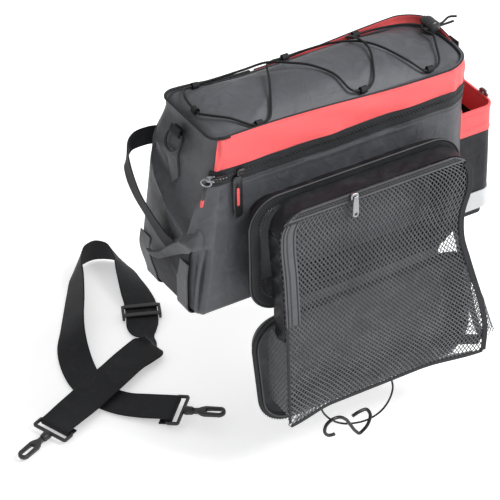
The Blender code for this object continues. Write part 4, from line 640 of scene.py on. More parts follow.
def scatter(name, points, ways, ups, size, finish, **more):
    """Small beads at points: each is the bead's shape times size along way, side and up."""
    points, ways, ups = (np.asarray(v, float).reshape(-1, 3) for v in (points, ways, ups))
    ways = unit(ways)
    side = unit(np.cross(ups, ways))
    up = np.cross(ways, side)
    shape = BEAD * np.asarray(size)
    spots = (points[:, None] + ways[:, None] * shape[None, :, :1] + side[:, None] * shape[None, :, 1:2]
             + up[:, None] * shape[None, :, 2:])
    faces = BEAD_FACES[None] + np.arange(len(points))[:, None, None] * len(BEAD)
    return link_piece(name, spots.reshape(-1, 3), faces.reshape(-1, 3), finish, **more)


def along_path(path, ups, pitch, closed=False):
    """Points, ways and ups every pitch along a path."""
    path = np.asarray(path, float)
    ups = np.broadcast_to(np.asarray(ups, float), path.shape)
    if closed:
        path, ups = np.concatenate([path, path[:1]]), np.concatenate([ups, ups[:1]])
    reach = lengths(path)
    at = np.arange(0.5 * pitch, reach[-1], pitch)
    points = np.stack([np.interp(at, reach, path[:, k]) for k in range(3)], axis=1)
    tall = unit(np.stack([np.interp(at, reach, ups[:, k]) for k in range(3)], axis=1))
    return points, unit(np.gradient(points, axis=0)), tall


def stitches(name, path, ups, finish, pitch, closed=False, **more):
    """A row of stitches along a path: one bead for each."""
    points, ways, tall = along_path(path, ups, pitch, closed)
    return scatter(name, points, ways, tall, (0.72 * pitch, 0.0008, 0.0007), finish, **more)


def teeth(name, path, ups, finish, pitch, width=0.0052, closed=False, **more):
    """Two rows of zip teeth along a path, set in turn left and right."""
    points, ways, tall = along_path(path, ups, pitch, closed)
    side = unit(np.cross(tall, ways))
    shift = np.where(np.arange(len(points)) % 2 == 0, 1.0, -1.0)[:, None] * side * 0.16 * width
    return scatter(name, points + shift, side, tall, (0.72 * width, 0.85 * pitch, 0.0016), finish, **more)


# Finishes


def shader_group(name, inputs, outputs):
    """A new shader node group with float or colour inputs and outputs."""
    tree = bpy.data.node_groups.new(name, "ShaderNodeTree")
    for label, kind, value in inputs:
        made = tree.interface.new_socket(label, in_out="INPUT", socket_type=kind)
        if value is not None:
            made.default_value = value
    for label, kind in outputs:
        tree.interface.new_socket(label, in_out="OUTPUT", socket_type=kind)
    return tree, tree.nodes.new("NodeGroupInput"), tree.nodes.new("NodeGroupOutput")


def wire(tree, node, **values):
    """Sets or links a node's inputs by place, from in_0 on."""
    for label, value in values.items():
        socket = node.inputs[int(label[3:])]
        if isinstance(value, bpy.types.NodeSocket):
            tree.links.new(value, socket)
        else:
            socket.default_value = value
    return node


def maths(tree, operation, first, second=0.0, third=0.0):
    """The result of one Math node."""
    node = tree.nodes.new("ShaderNodeMath")
    node.operation = operation
    return wire(tree, node, in_0=first, in_1=second, in_2=third).outputs[0]


def mixed(tree, share, first, second):
    """A mix of two colours by a share."""
    node = tree.nodes.new("ShaderNodeMix")
    node.data_type = "RGBA"
    tree.links.new(share, node.inputs["Factor"])
    for value, socket in ((first, node.inputs[6]), (second, node.inputs[7])):
        if isinstance(value, bpy.types.NodeSocket):
            tree.links.new(value, socket)
        else:
            socket.default_value = (*value[:3], 1.0)
    return node.outputs[2]


def weave_group():
    """Plain weave on UV metres: threads over and under each other as a product of two sines."""
    found = bpy.data.node_groups.get("plain_weave")
    if found:
        return found
    tree, start, end = shader_group(
        "plain_weave", [("Pitch", "NodeSocketFloat", 0.001), ("Lengthways", "NodeSocketFloat", 1.0)],
        [("Height", "NodeSocketFloat")])
    place = tree.nodes.new("ShaderNodeUVMap")
    split = tree.nodes.new("ShaderNodeSeparateXYZ")
    tree.links.new(place.outputs[0], split.inputs[0])
    turn = maths(tree, "DIVIDE", 2 * math.pi, start.outputs[0])
    across = maths(tree, "SINE", maths(tree, "MULTIPLY", split.outputs[0], turn))
    stretched = maths(tree, "MULTIPLY", turn, start.outputs[1])
    along = maths(tree, "SINE", maths(tree, "MULTIPLY", split.outputs[1], stretched))
    height = maths(tree, "MULTIPLY_ADD", maths(tree, "MULTIPLY", across, along), 0.5, 0.5)
    tree.links.new(height, end.inputs[0])
    return tree


def mottle_and_highlight_group():
    """Cloth unevenness on Object metres: large soft patches and small creases; the creases also drive the painted
    highlight on crease ridges.
    """
    found = bpy.data.node_groups.get("cloth_mottle_and_highlight")
    if found:
        return found
    tree, start, end = shader_group(
        "cloth_mottle_and_highlight", [("Patch", "NodeSocketFloat", 14.0), ("Crease", "NodeSocketFloat", 60.0)],
        [("Patches", "NodeSocketFloat"), ("Creases", "NodeSocketFloat")])
    place = tree.nodes.new("ShaderNodeTexCoord")
    large = tree.nodes.new("ShaderNodeTexNoise")
    wire(tree, large, in_0=place.outputs["Object"], in_2=start.outputs[0])
    small = tree.nodes.new("ShaderNodeTexNoise")
    wire(tree, small, in_0=place.outputs["Object"], in_2=start.outputs[1])
    small.inputs["Distortion"].default_value = 0.6
    tree.links.new(large.outputs["Fac"], end.inputs[0])
    tree.links.new(small.outputs["Fac"], end.inputs[1])
    return tree


def finish_of(name, colour, roughness, weave=0.0, lengthways=1.0, bump=0.25, crease=0.35, light=1.35,
              sheen=0.0, metallic=0.0, coat=0.0, patches=0.22, crease_scale=60.0, shine=0.28):
    """A procedural material: weave and creases in the bump; soft patches of tone, a painted highlight on the crease
    ridges and painted shade between the threads in the colour; creases in the roughness.
    """
    found = bpy.data.materials.get(name)
    if found:
        return found
    made = bpy.data.materials.new(name)
    made.use_nodes = True
    tree = made.node_tree
    shader = tree.nodes["Principled BSDF"]
    shader.inputs["Metallic"].default_value = metallic
    shader.inputs["Coat Weight"].default_value = coat
    shader.inputs["Sheen Weight"].default_value = sheen
    shader.inputs["Sheen Roughness"].default_value = 0.5
    shader.inputs["Specular IOR Level"].default_value = shine
    mottle_and_highlight = tree.nodes.new("ShaderNodeGroup")
    mottle_and_highlight.node_tree = mottle_and_highlight_group()
    mottle_and_highlight.inputs["Crease"].default_value = crease_scale
    patch = maths(tree, "MULTIPLY_ADD", mottle_and_highlight.outputs[0], 2.4, -0.7)
    patch = maths(tree, "MINIMUM", maths(tree, "MAXIMUM", patch, 0.0), 1.0)
    dark = tuple(c * (1.0 - patches) for c in colour)
    # The pale colour, the colour times light, is the painted highlight laid on crease ridges.
    highlight_tint = tuple(min(c * light, 1.0) for c in colour)
    shade = mixed(tree, patch, dark, tuple(c * (1.0 + 0.4 * patches) for c in colour))
    # Painted highlight: where the crease noise is high, the colour is mixed towards the pale one, by at most 0.55.
    ridge_highlight = maths(tree, "MULTIPLY_ADD", mottle_and_highlight.outputs[1], 2.6, -1.25)
    ridge_highlight = maths(tree, "MINIMUM", maths(tree, "MAXIMUM", ridge_highlight, 0.0), 0.55)
    shade = mixed(tree, ridge_highlight, shade, highlight_tint)
    lump = tree.nodes.new("ShaderNodeBump")
    lump.inputs["Strength"].default_value = crease
    lump.inputs["Distance"].default_value = 0.0022
    tree.links.new(mottle_and_highlight.outputs[1], lump.inputs["Height"])
    normal = lump.outputs[0]
    if weave:
        thread = tree.nodes.new("ShaderNodeGroup")
        thread.node_tree = weave_group()
        thread.inputs[0].default_value = weave
        thread.inputs[1].default_value = lengthways
        fine = tree.nodes.new("ShaderNodeBump")
        fine.inputs["Strength"].default_value = bump
        fine.inputs["Distance"].default_value = 0.0003
        tree.links.new(thread.outputs[0], fine.inputs["Height"])
        tree.links.new(normal, fine.inputs["Normal"])
        normal = fine.outputs[0]
        # Painted shade between the threads: the weave's low places are darkened towards 0.35 of the colour.
        weave_shade = maths(tree, "MULTIPLY_ADD", thread.outputs[0], -0.30, 0.30)
        shade = mixed(tree, weave_shade, shade, tuple(c * 0.35 for c in colour))
    tree.links.new(shade, shader.inputs["Base Color"])
    tree.links.new(normal, shader.inputs["Normal"])
    rough = maths(tree, "MULTIPLY_ADD", mottle_and_highlight.outputs[1], 0.18, roughness - 0.09)
    tree.links.new(rough, shader.inputs["Roughness"])
    return made


def finishes():
    """Every finish of the bag by its slot, from the scene's colours and cloth sizes."""
    tint = bpy.context.scene.rack_bag_colours
    cloth = bpy.context.scene.rack_bag_cloth
    weave, rib = cloth.weave, cloth.rib
    return {
        "dark_nylon": finish_of("grey_nylon", tint.nylon, 0.50, weave, 1.0, 0.22, 0.55, sheen=0.03, shine=0.42),
        "black_nylon": finish_of("thin_black_nylon", tint.lining, 0.50, weave, 1.0, 0.15, 0.95, 1.7,
                                 crease_scale=38.0, shine=0.16),
        "coral_cloth": finish_of("coral_nylon", tint.coral, 0.55, weave, 1.0, 0.12, 0.22, 1.05, patches=0.06),
        "black_webbing": finish_of("ribbed_webbing", tint.webbing, 0.62, rib, 0.42, 0.60, 0.12, 1.5, shine=0.16),
        "zip_tape": finish_of("zip_cloth", tint.tape, 0.60, weave, 0.5, 0.30, 0.25, 1.4),
        "grey_piping": finish_of("piping_cloth", tint.piping, 0.52, weave, 1.0, 0.2, 0.15, 1.2),
        "elastic_cord": finish_of("braided_elastic", tint.cord, 0.50, 0.0016, 1.0, 0.55, 0.05, 1.4),
        "black_net": finish_of("net_strand", tint.net, 0.55, 0.0, crease=0.05, light=1.3),
        "zip_metal": finish_of("plated_zinc", tint.metal, 0.34, 0.0, crease=0.06, light=1.15, metallic=1.0,
                               patches=0.15, crease_scale=220.0, shine=0.5),
        "black_plastic": finish_of("satin_acetal", tint.plastic, 0.36, 0.0, crease=0.05, light=1.6, coat=0.10,
                                   crease_scale=300.0, shine=0.5),
        "reflective_tape": finish_of("silver_tape", tint.silver, 0.38, 0.0022, 1.0, 0.18, 0.12, 1.1,
                                     patches=0.10),
        "coated_wire": finish_of("black_wire", tint.cord, 0.30, 0.0, crease=0.04, light=1.4, coat=0.20),
        "thread": finish_of("stitch_thread", tint.tape, 0.6, 0.0, crease=0.05, light=1.3),
        "coral_thread": finish_of("coral_thread", tint.coral, 0.6, 0.0, crease=0.05, light=1.1),
    }


def finish_piece(operator_class):
    """The usual options of an operator that builds pieces."""
    operator_class.bl_options = {"REGISTER", "UNDO"}
    return operator_class


@finish_piece
class BAG_OT_stage(bpy.types.Operator):
    """Camera, floor, soft box and white surroundings"""

    bl_idname = "rackbag.stage"
    bl_label = "Stage"

    def execute(self, context):
        stage = context.scene.rack_bag_stage
        a, e = CAMERA_AZIMUTH, CAMERA_ELEVATION
        back = Vector((-math.sin(a) * math.cos(e), -math.cos(a) * math.cos(e), math.sin(e)))
        right = Vector((math.cos(a), -math.sin(a), 0.0))
        up = back.cross(right)
        axis = (back - right * AIM_RIGHT - up * AIM_UP).normalized()
        right = (right - axis * right.dot(axis)).normalized()
        lens = bpy.data.cameras.new("photo_camera")
        lens.sensor_width = SENSOR
        lens.lens = CAMERA_LENS
        camera = bpy.data.objects.new("photo_camera", lens)
        place = Matrix((right, axis.cross(right), axis)).transposed().to_4x4()
        place.translation = back * CAMERA_DISTANCE
        camera.matrix_world = place
        context.scene.collection.objects.link(camera)
        context.scene.camera = camera
        self.build_floor(context)
        spot = Vector(KEY_SPOT)
        glow = bpy.data.lights.new("key_box", "AREA")
        glow.shape = "DISK"
        glow.size = KEY_SIZE
        glow.energy = stage.key
        lamp = bpy.data.objects.new("key_box", glow)
        lamp.location = spot
        lamp.rotation_euler = (-spot).to_track_quat("-Z", "Y").to_euler()
        context.scene.collection.objects.link(lamp)
        world = bpy.data.worlds.new("white_studio")
        world.use_nodes = True
        tree = world.node_tree
        way = tree.nodes.new("ShaderNodeTexCoord")
        toward = tree.nodes.new("ShaderNodeVectorMath")
        toward.operation = "DOT_PRODUCT"
        toward.inputs[1].default_value = Vector(BRIGHT_WAY).normalized()
        tree.links.new(way.outputs["Generated"], toward.inputs[0])
        bright = maths(tree, "MULTIPLY_ADD", toward.outputs["Value"], BRIGHT_SHARE * stage.fill, stage.fill)
        background = tree.nodes["Background"]
        background.inputs[0].default_value = (1.0, 1.0, 1.0, 1.0)
        tree.links.new(bright, background.inputs[1])
        context.scene.world = world
        context.scene.view_settings.view_transform = "Standard"
        return {"FINISHED"}

    def build_floor(self, context):
        """A wide flat floor just under the strap, far past the view."""
        reach, low = FLOOR_REACH, FLOOR - FLOOR_DROP
        mesh = bpy.data.meshes.new("studio_floor")
        mesh.from_pydata([(-reach, -reach, low), (reach, -reach, low), (reach, reach, low), (-reach, reach, low)],
                         [], [(0, 1, 2, 3)])
        paint = bpy.data.materials.new("studio_floor")
        paint.use_nodes = True
        shader = paint.node_tree.nodes["Principled BSDF"]
        shader.inputs["Base Color"].default_value = (*context.scene.rack_bag_colours.floor, 1.0)
        shader.inputs["Roughness"].default_value = 0.9
        shader.inputs["Specular IOR Level"].default_value = 0.1
        shader.inputs["Emission Color"].default_value = (1.0, 1.0, 1.0, 1.0)
        shader.inputs["Emission Strength"].default_value = FLOOR_GLOW
        mesh.materials.append(paint)
        floor = bpy.data.objects.new("studio_floor", mesh)
        context.scene.collection.objects.link(floor)


# The elastic loop and the wire hook under the pouch, as shares of the pouch's width from its left
# edge and of the rim height below its foot.
ELASTIC_ROUTE = (
    (0.165, 0.000), (0.172, 0.030), (0.190, 0.070), (0.215, 0.110), (0.250, 0.150), (0.290, 0.180),
    (0.335, 0.200), (0.385, 0.212), (0.430, 0.208), (0.475, 0.185), (0.505, 0.145), (0.522, 0.100),
    (0.528, 0.055), (0.524, 0.020), (0.520, 0.000),
)
HOOK_ROUTE = (
    # along, below, in front (+) or behind (-)
    (0.225, 0.205, 1.0), (0.196, 0.198, 1.0), (0.176, 0.165, 1.0), (0.184, 0.120, 1.0), (0.215, 0.098, 1.0),
    (0.250, 0.102, 1.0), (0.280, 0.132, 1.0), (0.305, 0.185, 1.0), (0.335, 0.248, 1.0), (0.352, 0.270, 1.0),
    (0.372, 0.258, 1.0), (0.400, 0.215, 1.0), (0.412, 0.178, 0.2), (0.402, 0.150, -0.8), (0.370, 0.148, -1.0),
    (0.330, 0.160, -1.0),
)

# The pouch's edges, from its foot to its top: share of its height, then where the left and the
# right edge lie, in shares of half the pannier's length from the pannier's middle.
POUCH_EDGES = (
    # height, left, right
    (0.00, -0.765, 1.205), (0.12, -0.770, 1.215), (0.25, -0.775, 1.165), (0.38, -0.780, 1.080),
    (0.50, -0.785, 1.000), (0.62, -0.795, 0.930), (0.72, -0.805, 0.925), (0.84, -0.825, 0.990),
    (0.92, -0.825, 0.985), (1.00, -0.820, 0.960),
)


def pouch_edges(share):
    """X of the pouch's left and right edge at a share of its height, with rounded top corners."""
    rows = np.array(POUCH_EDGES)
    sides = through(rows[:, 0], rows[:, 1:], np.ravel(share)) * PANNIER_LENGTH / 2 + PANNIER_SHIFT
    corner = 0.8 * PANNIER_CORNER
    rise = np.clip(np.ravel(share) * POUCH_SPAN - (POUCH_SPAN - corner), 0, corner)
    inset = corner - np.sqrt(np.maximum(corner**2 - rise**2, 0.0))
    return (sides[:, 0] + inset).reshape(np.shape(share)), (sides[:, 1] - inset).reshape(np.shape(share))


def pouch_sag(across, share):
    """How far the loose net stands out: a swell, with slack waves that fade at the edges."""
    fade = np.sin(math.pi * np.clip(across, 0.0, 1.0)) * np.sin(math.pi * np.clip(share, 0.0, 1.0))
    waves = (0.0016 * np.sin(9.0 * across + 7.0 * share + 0.4) + 0.0011 * np.sin(5.0 * across - 15.0 * share)
             + 0.0007 * np.sin(21.0 * across + 4.0 * share))
    return POUCH_SWELL * fade + waves * np.sqrt(np.maximum(fade, 0.0))


def foot_arch(across):
    """How far the net's foot is drawn up between its corners."""
    return FOOT_ARCH * smooth(np.asarray(across) / 0.22) * smooth((1.0 - np.asarray(across)) / 0.35)


def pouch_face(across, share, out, sag=True):
    """A point on the pouch's front face from shares of its width and height."""
    left, right = pouch_edges(share)
    x = left + (right - left) * across
    z = POUCH_FOOT + POUCH_SPAN * share
    z = z + foot_arch(across) * (1.0 - smooth(np.asarray(share) / 0.35))
    bulge = pouch_sag(across, share) if sag else 0.0
    return np.stack(np.broadcast_arrays(x, -(POUCH_FRONT + bulge + out), z), axis=-1)


def below_pouch(rows):
    """Points in the pouch's front plane from rows of along and below shares."""
    left, right = pouch_edges(np.array([0.0]))
    rows = np.array(rows)
    x = left[0] + (right[0] - left[0]) * rows[:, 0]
    z = POUCH_FOOT + 0.9 * FOOT_ARCH - NET_WALL / 2 - 3 * CLEAR - rows[:, 1] * RIM_HEIGHT
    return np.stack([x, np.full(len(rows), -POUCH_FRONT + 2 * NET_WALL), z], axis=1)


@finish_piece
class BAG_OT_cords(bpy.types.Operator):
    """Free elastic loop with its wire hook"""

    bl_idname = "rackbag.cords"
    bl_label = "Free cords"

    def execute(self, context):
        finish = finishes()
        line = route(below_pouch(ELASTIC_ROUTE), 40)
        loop = tube("elastic_cord_loop", line, ELASTIC / 2, finish["elastic_cord"], 12,
                    replaces=["elastic_loop"], slot="elastic_cord")
        rows = np.array(HOOK_ROUTE)
        points = below_pouch(rows[:, :2])
        points[:, 1] -= rows[:, 2] * (ELASTIC / 2 + HOOK_WIRE / 2 + 2 * CLEAR)
        hook = tube("bent_wire_hook", route(points, 90), 0.68 * HOOK_WIRE, finish["coated_wire"], 12,
                    replaces=["wire_hook"], slot="coated_wire")
        return {"FINISHED"}


# The slanting seam over the front end's foot: turn round the plan and height.
FOOT_SEAM = ((5.8, 0.055), (6.22, 0.055), (6.45, 0.059), (6.88, 0.086), (7.20, 0.100), (8.0, 0.104))


@finish_piece
class BAG_OT_tub(bpy.types.Operator):
    """Main compartment of grey nylon with its folded front end, seams and front edge binding"""

    bl_idname = "rackbag.tub"
    bl_label = "Main compartment"

    def execute(self, context):
        cloth = context.scene.rack_bag_cloth
        finish = finishes()
        way = np.concatenate([np.linspace(0.0, 6.0, 240, endpoint=False),
                              np.linspace(6.0, 8.0, 260, endpoint=False)])
        rises = np.concatenate([np.linspace(0.0, FOOT_ROUND, 7)[:-1], np.linspace(FOOT_ROUND, RIM_HEIGHT, 84)])
        welt = self.welts(way, rises)
        outer = wall_point(way[None, :], rises[:, None], welt - foot_inset(rises)[:, None], cloth.fold)
        inner = wall_point(way[None, :], np.maximum(rises, WALL)[:, None], -WALL - foot_inset(rises)[:, None],
                           cloth.fold)
        lip = rim_at(outer[-1, :, 0])
        outer[-1, :, 2], inner[-1, :, 2] = lip, lip
        floors = []
        for ring in (outer[0], inner[0]):
            middle = ring.mean(axis=0)
            shares = np.array([0.01, 0.3, 0.6, 0.85, 0.96])[:, None, None]
            floors.append(middle + shares * (ring - middle))
        link = shell("tub_shell", np.concatenate([floors[0], outer]), np.concatenate([floors[1], inner]),
                     finish["dark_nylon"], True, replaces=["body_tub"], slot="dark_nylon")
        link.data.set_sharp_from_angle(angle=math.radians(60.0))
        self.build_seams(cloth, finish)
        self.build_foot_flap(cloth, finish)
        return {"FINISHED"}

    def build_foot_flap(self, cloth, finish):
        """The cloth gathered over the front end's foot seam, the thin black cloth below it, and a black sheet in the
        pleats' recess that paints their shade.
        """
        way = np.linspace(6.10, 7.50, 120)[None, :]
        share = np.linspace(0.0, 1.0, 26)[:, None]
        low = np.interp(way, *np.transpose(FOOT_SEAM)) - 0.0020
        tall = 0.0240 * smooth((way - 6.08) / 0.75) * smooth((7.75 - way) / 0.50) + 0.0015
        out = 0.0052 * smooth((1.02 - share) / 0.35) * smooth((way - 6.05) / 0.25) * smooth((7.52 - way) / 0.30)
        out = out + 0.0010 * np.sin(9.0 * way + 5.0 * share) * (1 - share) + 0.0012
        wall_cloth("foot_flap", way, low + tall * share, out, 0.0014, cloth.fold, finish["dark_nylon"],
                   slot="dark_nylon")
        way = np.linspace(6.20, 6.94, 60)[None, :]
        top = np.interp(way, *np.transpose(FOOT_SEAM)) - 0.0030
        rise = FOOT_ROUND + (top - FOOT_ROUND) * np.linspace(0.0, 1.0, 40)[:, None]
        wall_cloth("foot_panel", way, rise, 0.0010, 0.0014, cloth.fold, finish["black_nylon"], slot="black_nylon")
        # Painted shade: a black sheet set back in the recess under the foot seam darkens the pleats' grooves.
        way = np.linspace(6.985, 7.24, 24)[None, :]
        rise = np.linspace(0.012, 0.088, 60)[:, None]
        wall_cloth("foot_pleat_painted_shade", way, rise, 0.0006 - FOOT_RECESS, 0.0012, cloth.fold, finish["black_nylon"],
                   slot="black_nylon")

    def welts(self, way, rises):
        """Low ridges where wall panels are sewn: under the collar, and the front end's corner seams."""
        way, rise = np.broadcast_arrays(way[None, :], rises[:, None])
        found = np.zeros(way.shape)
        sides = smooth((way - 0.02) / 0.1) * smooth((4.95 - way) / 0.1)
        for share, size in ((0.815, 0.0009), (0.772, 0.0011), (0.742, 0.0008)):
            line = share * RIM_HEIGHT
            found += sides * size * np.exp(-(((rise - line) / 0.0016) ** 2))
            found -= sides * 0.7 * size * np.exp(-(((rise - line + 0.0034) / 0.0014) ** 2))
        seam = np.interp(way, *np.transpose(FOOT_SEAM))
        lower = smooth((seam - rise) / 0.0035) * smooth((way - 5.8) / 0.15) * smooth((7.95 - way) / 0.5)
        flap = np.exp(-np.maximum(rise - seam, 0.0) / 0.012) * smooth((rise - seam) / 0.002 + 1.0)
        flap = flap * smooth((way - 6.05) / 0.3) * smooth((7.5 - way) / 0.4)
        return found - FOOT_RECESS * lower + 0.0026 * flap

    def build_seams(self, cloth, finish):
        """Edge binding of the front lip and stitch rows along the seams."""
        way = np.linspace(4.66, 8.02, 150)
        edge = wall_point(way, RIM_HEIGHT, 0.0004, cloth.fold)
        edge[:, 2] = rim_at(edge[:, 0]) + 0.0006
        ups = np.tile((0.0, 0.0, 1.0), (len(edge), 1))
        carry("front_edge_binding", edge, ups, strap_profile(0.0040, 0.0024), finish["black_webbing"])
        way = np.linspace(0.06, 4.6, 500)
        for name, rise, out in (("seam_stitches_upper", 0.804, 0.0012), ("seam_stitches_lower", 0.757, 0.0010)):
            stitches(name, *wall_line(way, rise * RIM_HEIGHT, out, cloth.fold), finish["thread"], cloth.stitch)


# Folds of the lid: from one place to another in shares of its length and half width, then relief
# in metres and width in metres.
LID_FOLDS = (
    # along_1, side_1, along_2, side_2, relief, width
    (0.03, 0.10, 0.30, 0.55, 0.0026, 0.005),
    (0.06, -0.30, 0.24, -0.20, -0.0022, 0.010),
    (0.16, -0.80, 0.30, -0.30, 0.0020, 0.006),
    (0.30, 0.60, 0.50, 0.05, -0.0020, 0.008),
    (0.44, 0.75, 0.40, 0.20, 0.0022, 0.006),
    (0.56, -0.78, 0.50, -0.20, 0.0020, 0.006),
    (0.58, -0.75, 0.70, -0.25, 0.0016, 0.006),
    (0.70, 0.20, 0.86, -0.20, -0.0018, 0.010),
    (0.82, -0.80, 0.80, -0.30, 0.0020, 0.006),
    (0.90, 0.10, 0.98, -0.30, 0.0016, 0.007),
    (0.66, 0.30, 0.72, 0.80, 0.0018, 0.006),
)


@finish_piece
class BAG_OT_lid(bpy.types.Operator):
    """Domed cloth lid with soft folds between its lacing loops"""

    bl_idname = "rackbag.lid"
    bl_label = "Lid"

    def execute(self, context):
        finish = finishes()
        way = np.linspace(0.0, 8.0, 8 * 44, endpoint=False)
        edge = wall_point(way, RIM_HEIGHT, -WALL - GAP, folded=False)
        middle = np.array([(REAR_END + REAR_SWELL - FRONT_TOP) / 2, 0.0])
        shares = np.concatenate([[0.004], np.linspace(0.03, 0.95, 46), [0.965, 0.98, 0.992, 1.0]])
        flat = middle + shares[:, None, None] * (edge[None, :, :2] - middle)
        x, y = flat[..., 0], flat[..., 1]
        rise = lid_height(x, y) + self.creases(x, y) - 0.0030 * smooth((shares[:, None] - 0.965) / 0.035)
        top = np.concatenate([flat, rise[..., None]], axis=-1)
        under = top.copy()
        under[..., 2] -= WALL
        shell("lid_cloth", top, under, finish["dark_nylon"], True, replaces=["lid"], slot="dark_nylon")
        return {"FINISHED"}

    def creases(self, x, y):
        """Soft ridges and hollows pulled towards the loops: folds of relief / (1 + (d / width)^2)."""
        found = 0.0009 * np.sin(31 * x + 12 * y) + 0.0007 * np.sin(19 * x - 48 * y + 1.0)
        for along_1, side_1, along_2, side_2, relief, width in LID_FOLDS:
            a = np.array([-FRONT_TOP + along_1 * (FRONT_TOP + REAR_END), side_1 * HALF])
            b = np.array([-FRONT_TOP + along_2 * (FRONT_TOP + REAR_END), side_2 * HALF])
            step = b - a
            share = np.clip(((x - a[0]) * step[0] + (y - a[1]) * step[1]) / (step @ step), 0.0, 1.0)
            away = np.hypot(x - a[0] - share * step[0], y - a[1] - share * step[1])
            found = found + relief * np.sin(math.pi * np.clip(share, 0.08, 0.92)) / (1 + (away / width) ** 2) ** 1.5
        edge = np.maximum(np.abs(y) / HALF, np.abs(x - (REAR_END - FRONT_TOP) / 2) / 0.18)
        return found * smooth((1.02 - edge) / 0.18)


@finish_piece
class BAG_OT_collar(bpy.types.Operator):
    """Coral collar with its dark edges and stitches, and the zip under it"""

    bl_idname = "rackbag.collar"
    bl_label = "Collar and main zip"

    def execute(self, context):
        cloth = context.scene.rack_bag_cloth
        finish = finishes()
        way = np.linspace(*COLLAR_TURNS, 390)
        share = np.linspace(0.0, 1.0, 22)
        crest = COLLAR_TOP - COLLAR_REAR_DROP * smooth((way - 3.95) / 0.68)
        crest = crest - COLLAR_SIDE_DROP * smooth((way - 0.15) / 0.80) * smooth((3.3 - way) / 1.2)
        rises = COLLAR_FOOT + (crest - COLLAR_FOOT)[None, :] * share[:, None]
        puff = COLLAR_PUFF * np.sin(math.pi * share)[:, None] * (1 + 0.5 * np.sin(23 * way)[None, :])
        puff = puff + 0.0005 * np.sin(6 * share[:, None] + 17 * way[None, :])
        lean = -COLLAR_LEAN * smooth((share - 0.82) / 0.18)[:, None]
        outer = wall_point(way[None, :], rises, GAP + COLLAR_WALL + puff + lean, cloth.fold)
        inner = wall_point(way[None, :], rises, GAP + 0.3 * puff + lean, cloth.fold)
        shell("coral_collar", outer, inner, finish["coral_cloth"], replaces=["red_collar"], slot="coral_cloth")
        for name, rise, out in (("collar_foot_edge", COLLAR_FOOT - 0.0002, GAP + COLLAR_WALL * 0.8),
                                ("collar_top_edge", crest + 0.0002, GAP + COLLAR_WALL * 0.2)):
            line = wall_point(way, rise, out, cloth.fold)
            tube(name, line, 0.0010, finish["zip_tape"], 6)
        for name, rise in (("collar_stitches_low", COLLAR_FOOT + 0.0030 + 0 * way),
                           ("collar_stitches_high", crest - 0.0034)):
            at = (rise - COLLAR_FOOT) / (crest - COLLAR_FOOT)
            out = GAP + COLLAR_WALL + COLLAR_PUFF * np.sin(math.pi * at) - COLLAR_LEAN * smooth((at - 0.82) / 0.18)
            stitches(name, *wall_line(way, rise, out + 0.0001, cloth.fold), finish["coral_thread"], cloth.stitch)
        self.build_zip(cloth, finish)
        return {"FINISHED"}

    def build_zip(self, cloth, finish):
        """The zip's tape with its coil and two rows of stitches."""
        way = np.linspace(*ZIP_TURNS, 400)
        top = COLLAR_FOOT - GAP
        rises = np.linspace(top - ZIP_WIDTH, top, 9)
        wall_cloth("main_zip_tape", way[None, :], rises[:, None], GAP + TAPE_WALL, TAPE_WALL, cloth.fold,
                   finish["zip_tape"], replaces=["main_zip"], slot="zip_tape")
        line, outs = wall_line(way, top - ZIP_COIL, GAP + TAPE_WALL + 0.0004, cloth.fold)
        teeth("main_zip_teeth", line, outs, finish["black_plastic"], cloth.tooth)
        for name, share in (("main_zip_stitches_high", 0.16), ("main_zip_stitches_low", 0.84)):
            line = wall_point(way, top - share * ZIP_WIDTH, GAP + TAPE_WALL + 0.0001, cloth.fold)
            stitches(name, line, outs, finish["thread"], cloth.stitch)


def basis(origin, first, second):
    """The matrix whose X and Y run along first and second from origin."""
    x = Vector(first).normalized()
    z = x.cross(Vector(second)).normalized()
    made = Matrix((x, z.cross(x), z)).transposed().to_4x4()
    made.translation = Vector(origin)
    return made


def placed(place, points):
    """Points carried by a matrix."""
    turned = np.array(place)
    return np.asarray(points, float) @ turned[:3, :3].T + turned[:3, 3]


def block(name, size, place, finish, power=0.35, **more):
    """A rounded block: a sphere's sines and cosines raised to a power, times half the size."""
    rows, columns = 16, 28
    v = np.linspace(-math.pi / 2 * 0.985, math.pi / 2 * 0.985, rows)[:, None]
    u = np.linspace(0.0, 2 * math.pi, columns, endpoint=False)[None, :]

    def bent(value):
        return np.sign(value) * np.abs(value) ** power

    grid = np.stack(np.broadcast_arrays(bent(np.cos(v)) * bent(np.cos(u)), bent(np.cos(v)) * bent(np.sin(u)),
                                        bent(np.sin(v))), axis=-1) * np.asarray(size) / 2
    faces = lattice(rows, columns, False, True)[0].tolist()
    faces += [list(range(columns)), list(range((rows - 1) * columns, rows * columns))]
    return link_piece(name, placed(place, grid.reshape(-1, 3)), faces, finish, **more)


def turned(name, profile, place, finish, sides=28, **more):
    """A solid turned about X from rows of (along, radius) that start and end near the axis."""
    rows = np.array(profile, float)
    turn = np.arange(sides) * 2 * math.pi / sides
    radius = np.maximum(rows[:, 1:], 1e-5)
    grid = np.stack([rows[:, :1] + 0 * turn, radius * np.cos(turn), radius * np.sin(turn)], axis=-1)
    faces = lattice(len(rows), sides, False, True)[0].tolist()
    faces += [list(range(sides)), list(range((len(rows) - 1) * sides, len(rows) * sides))]
    return link_piece(name, placed(place, grid.reshape(-1, 3)), faces, finish, sharp=50.0, **more)


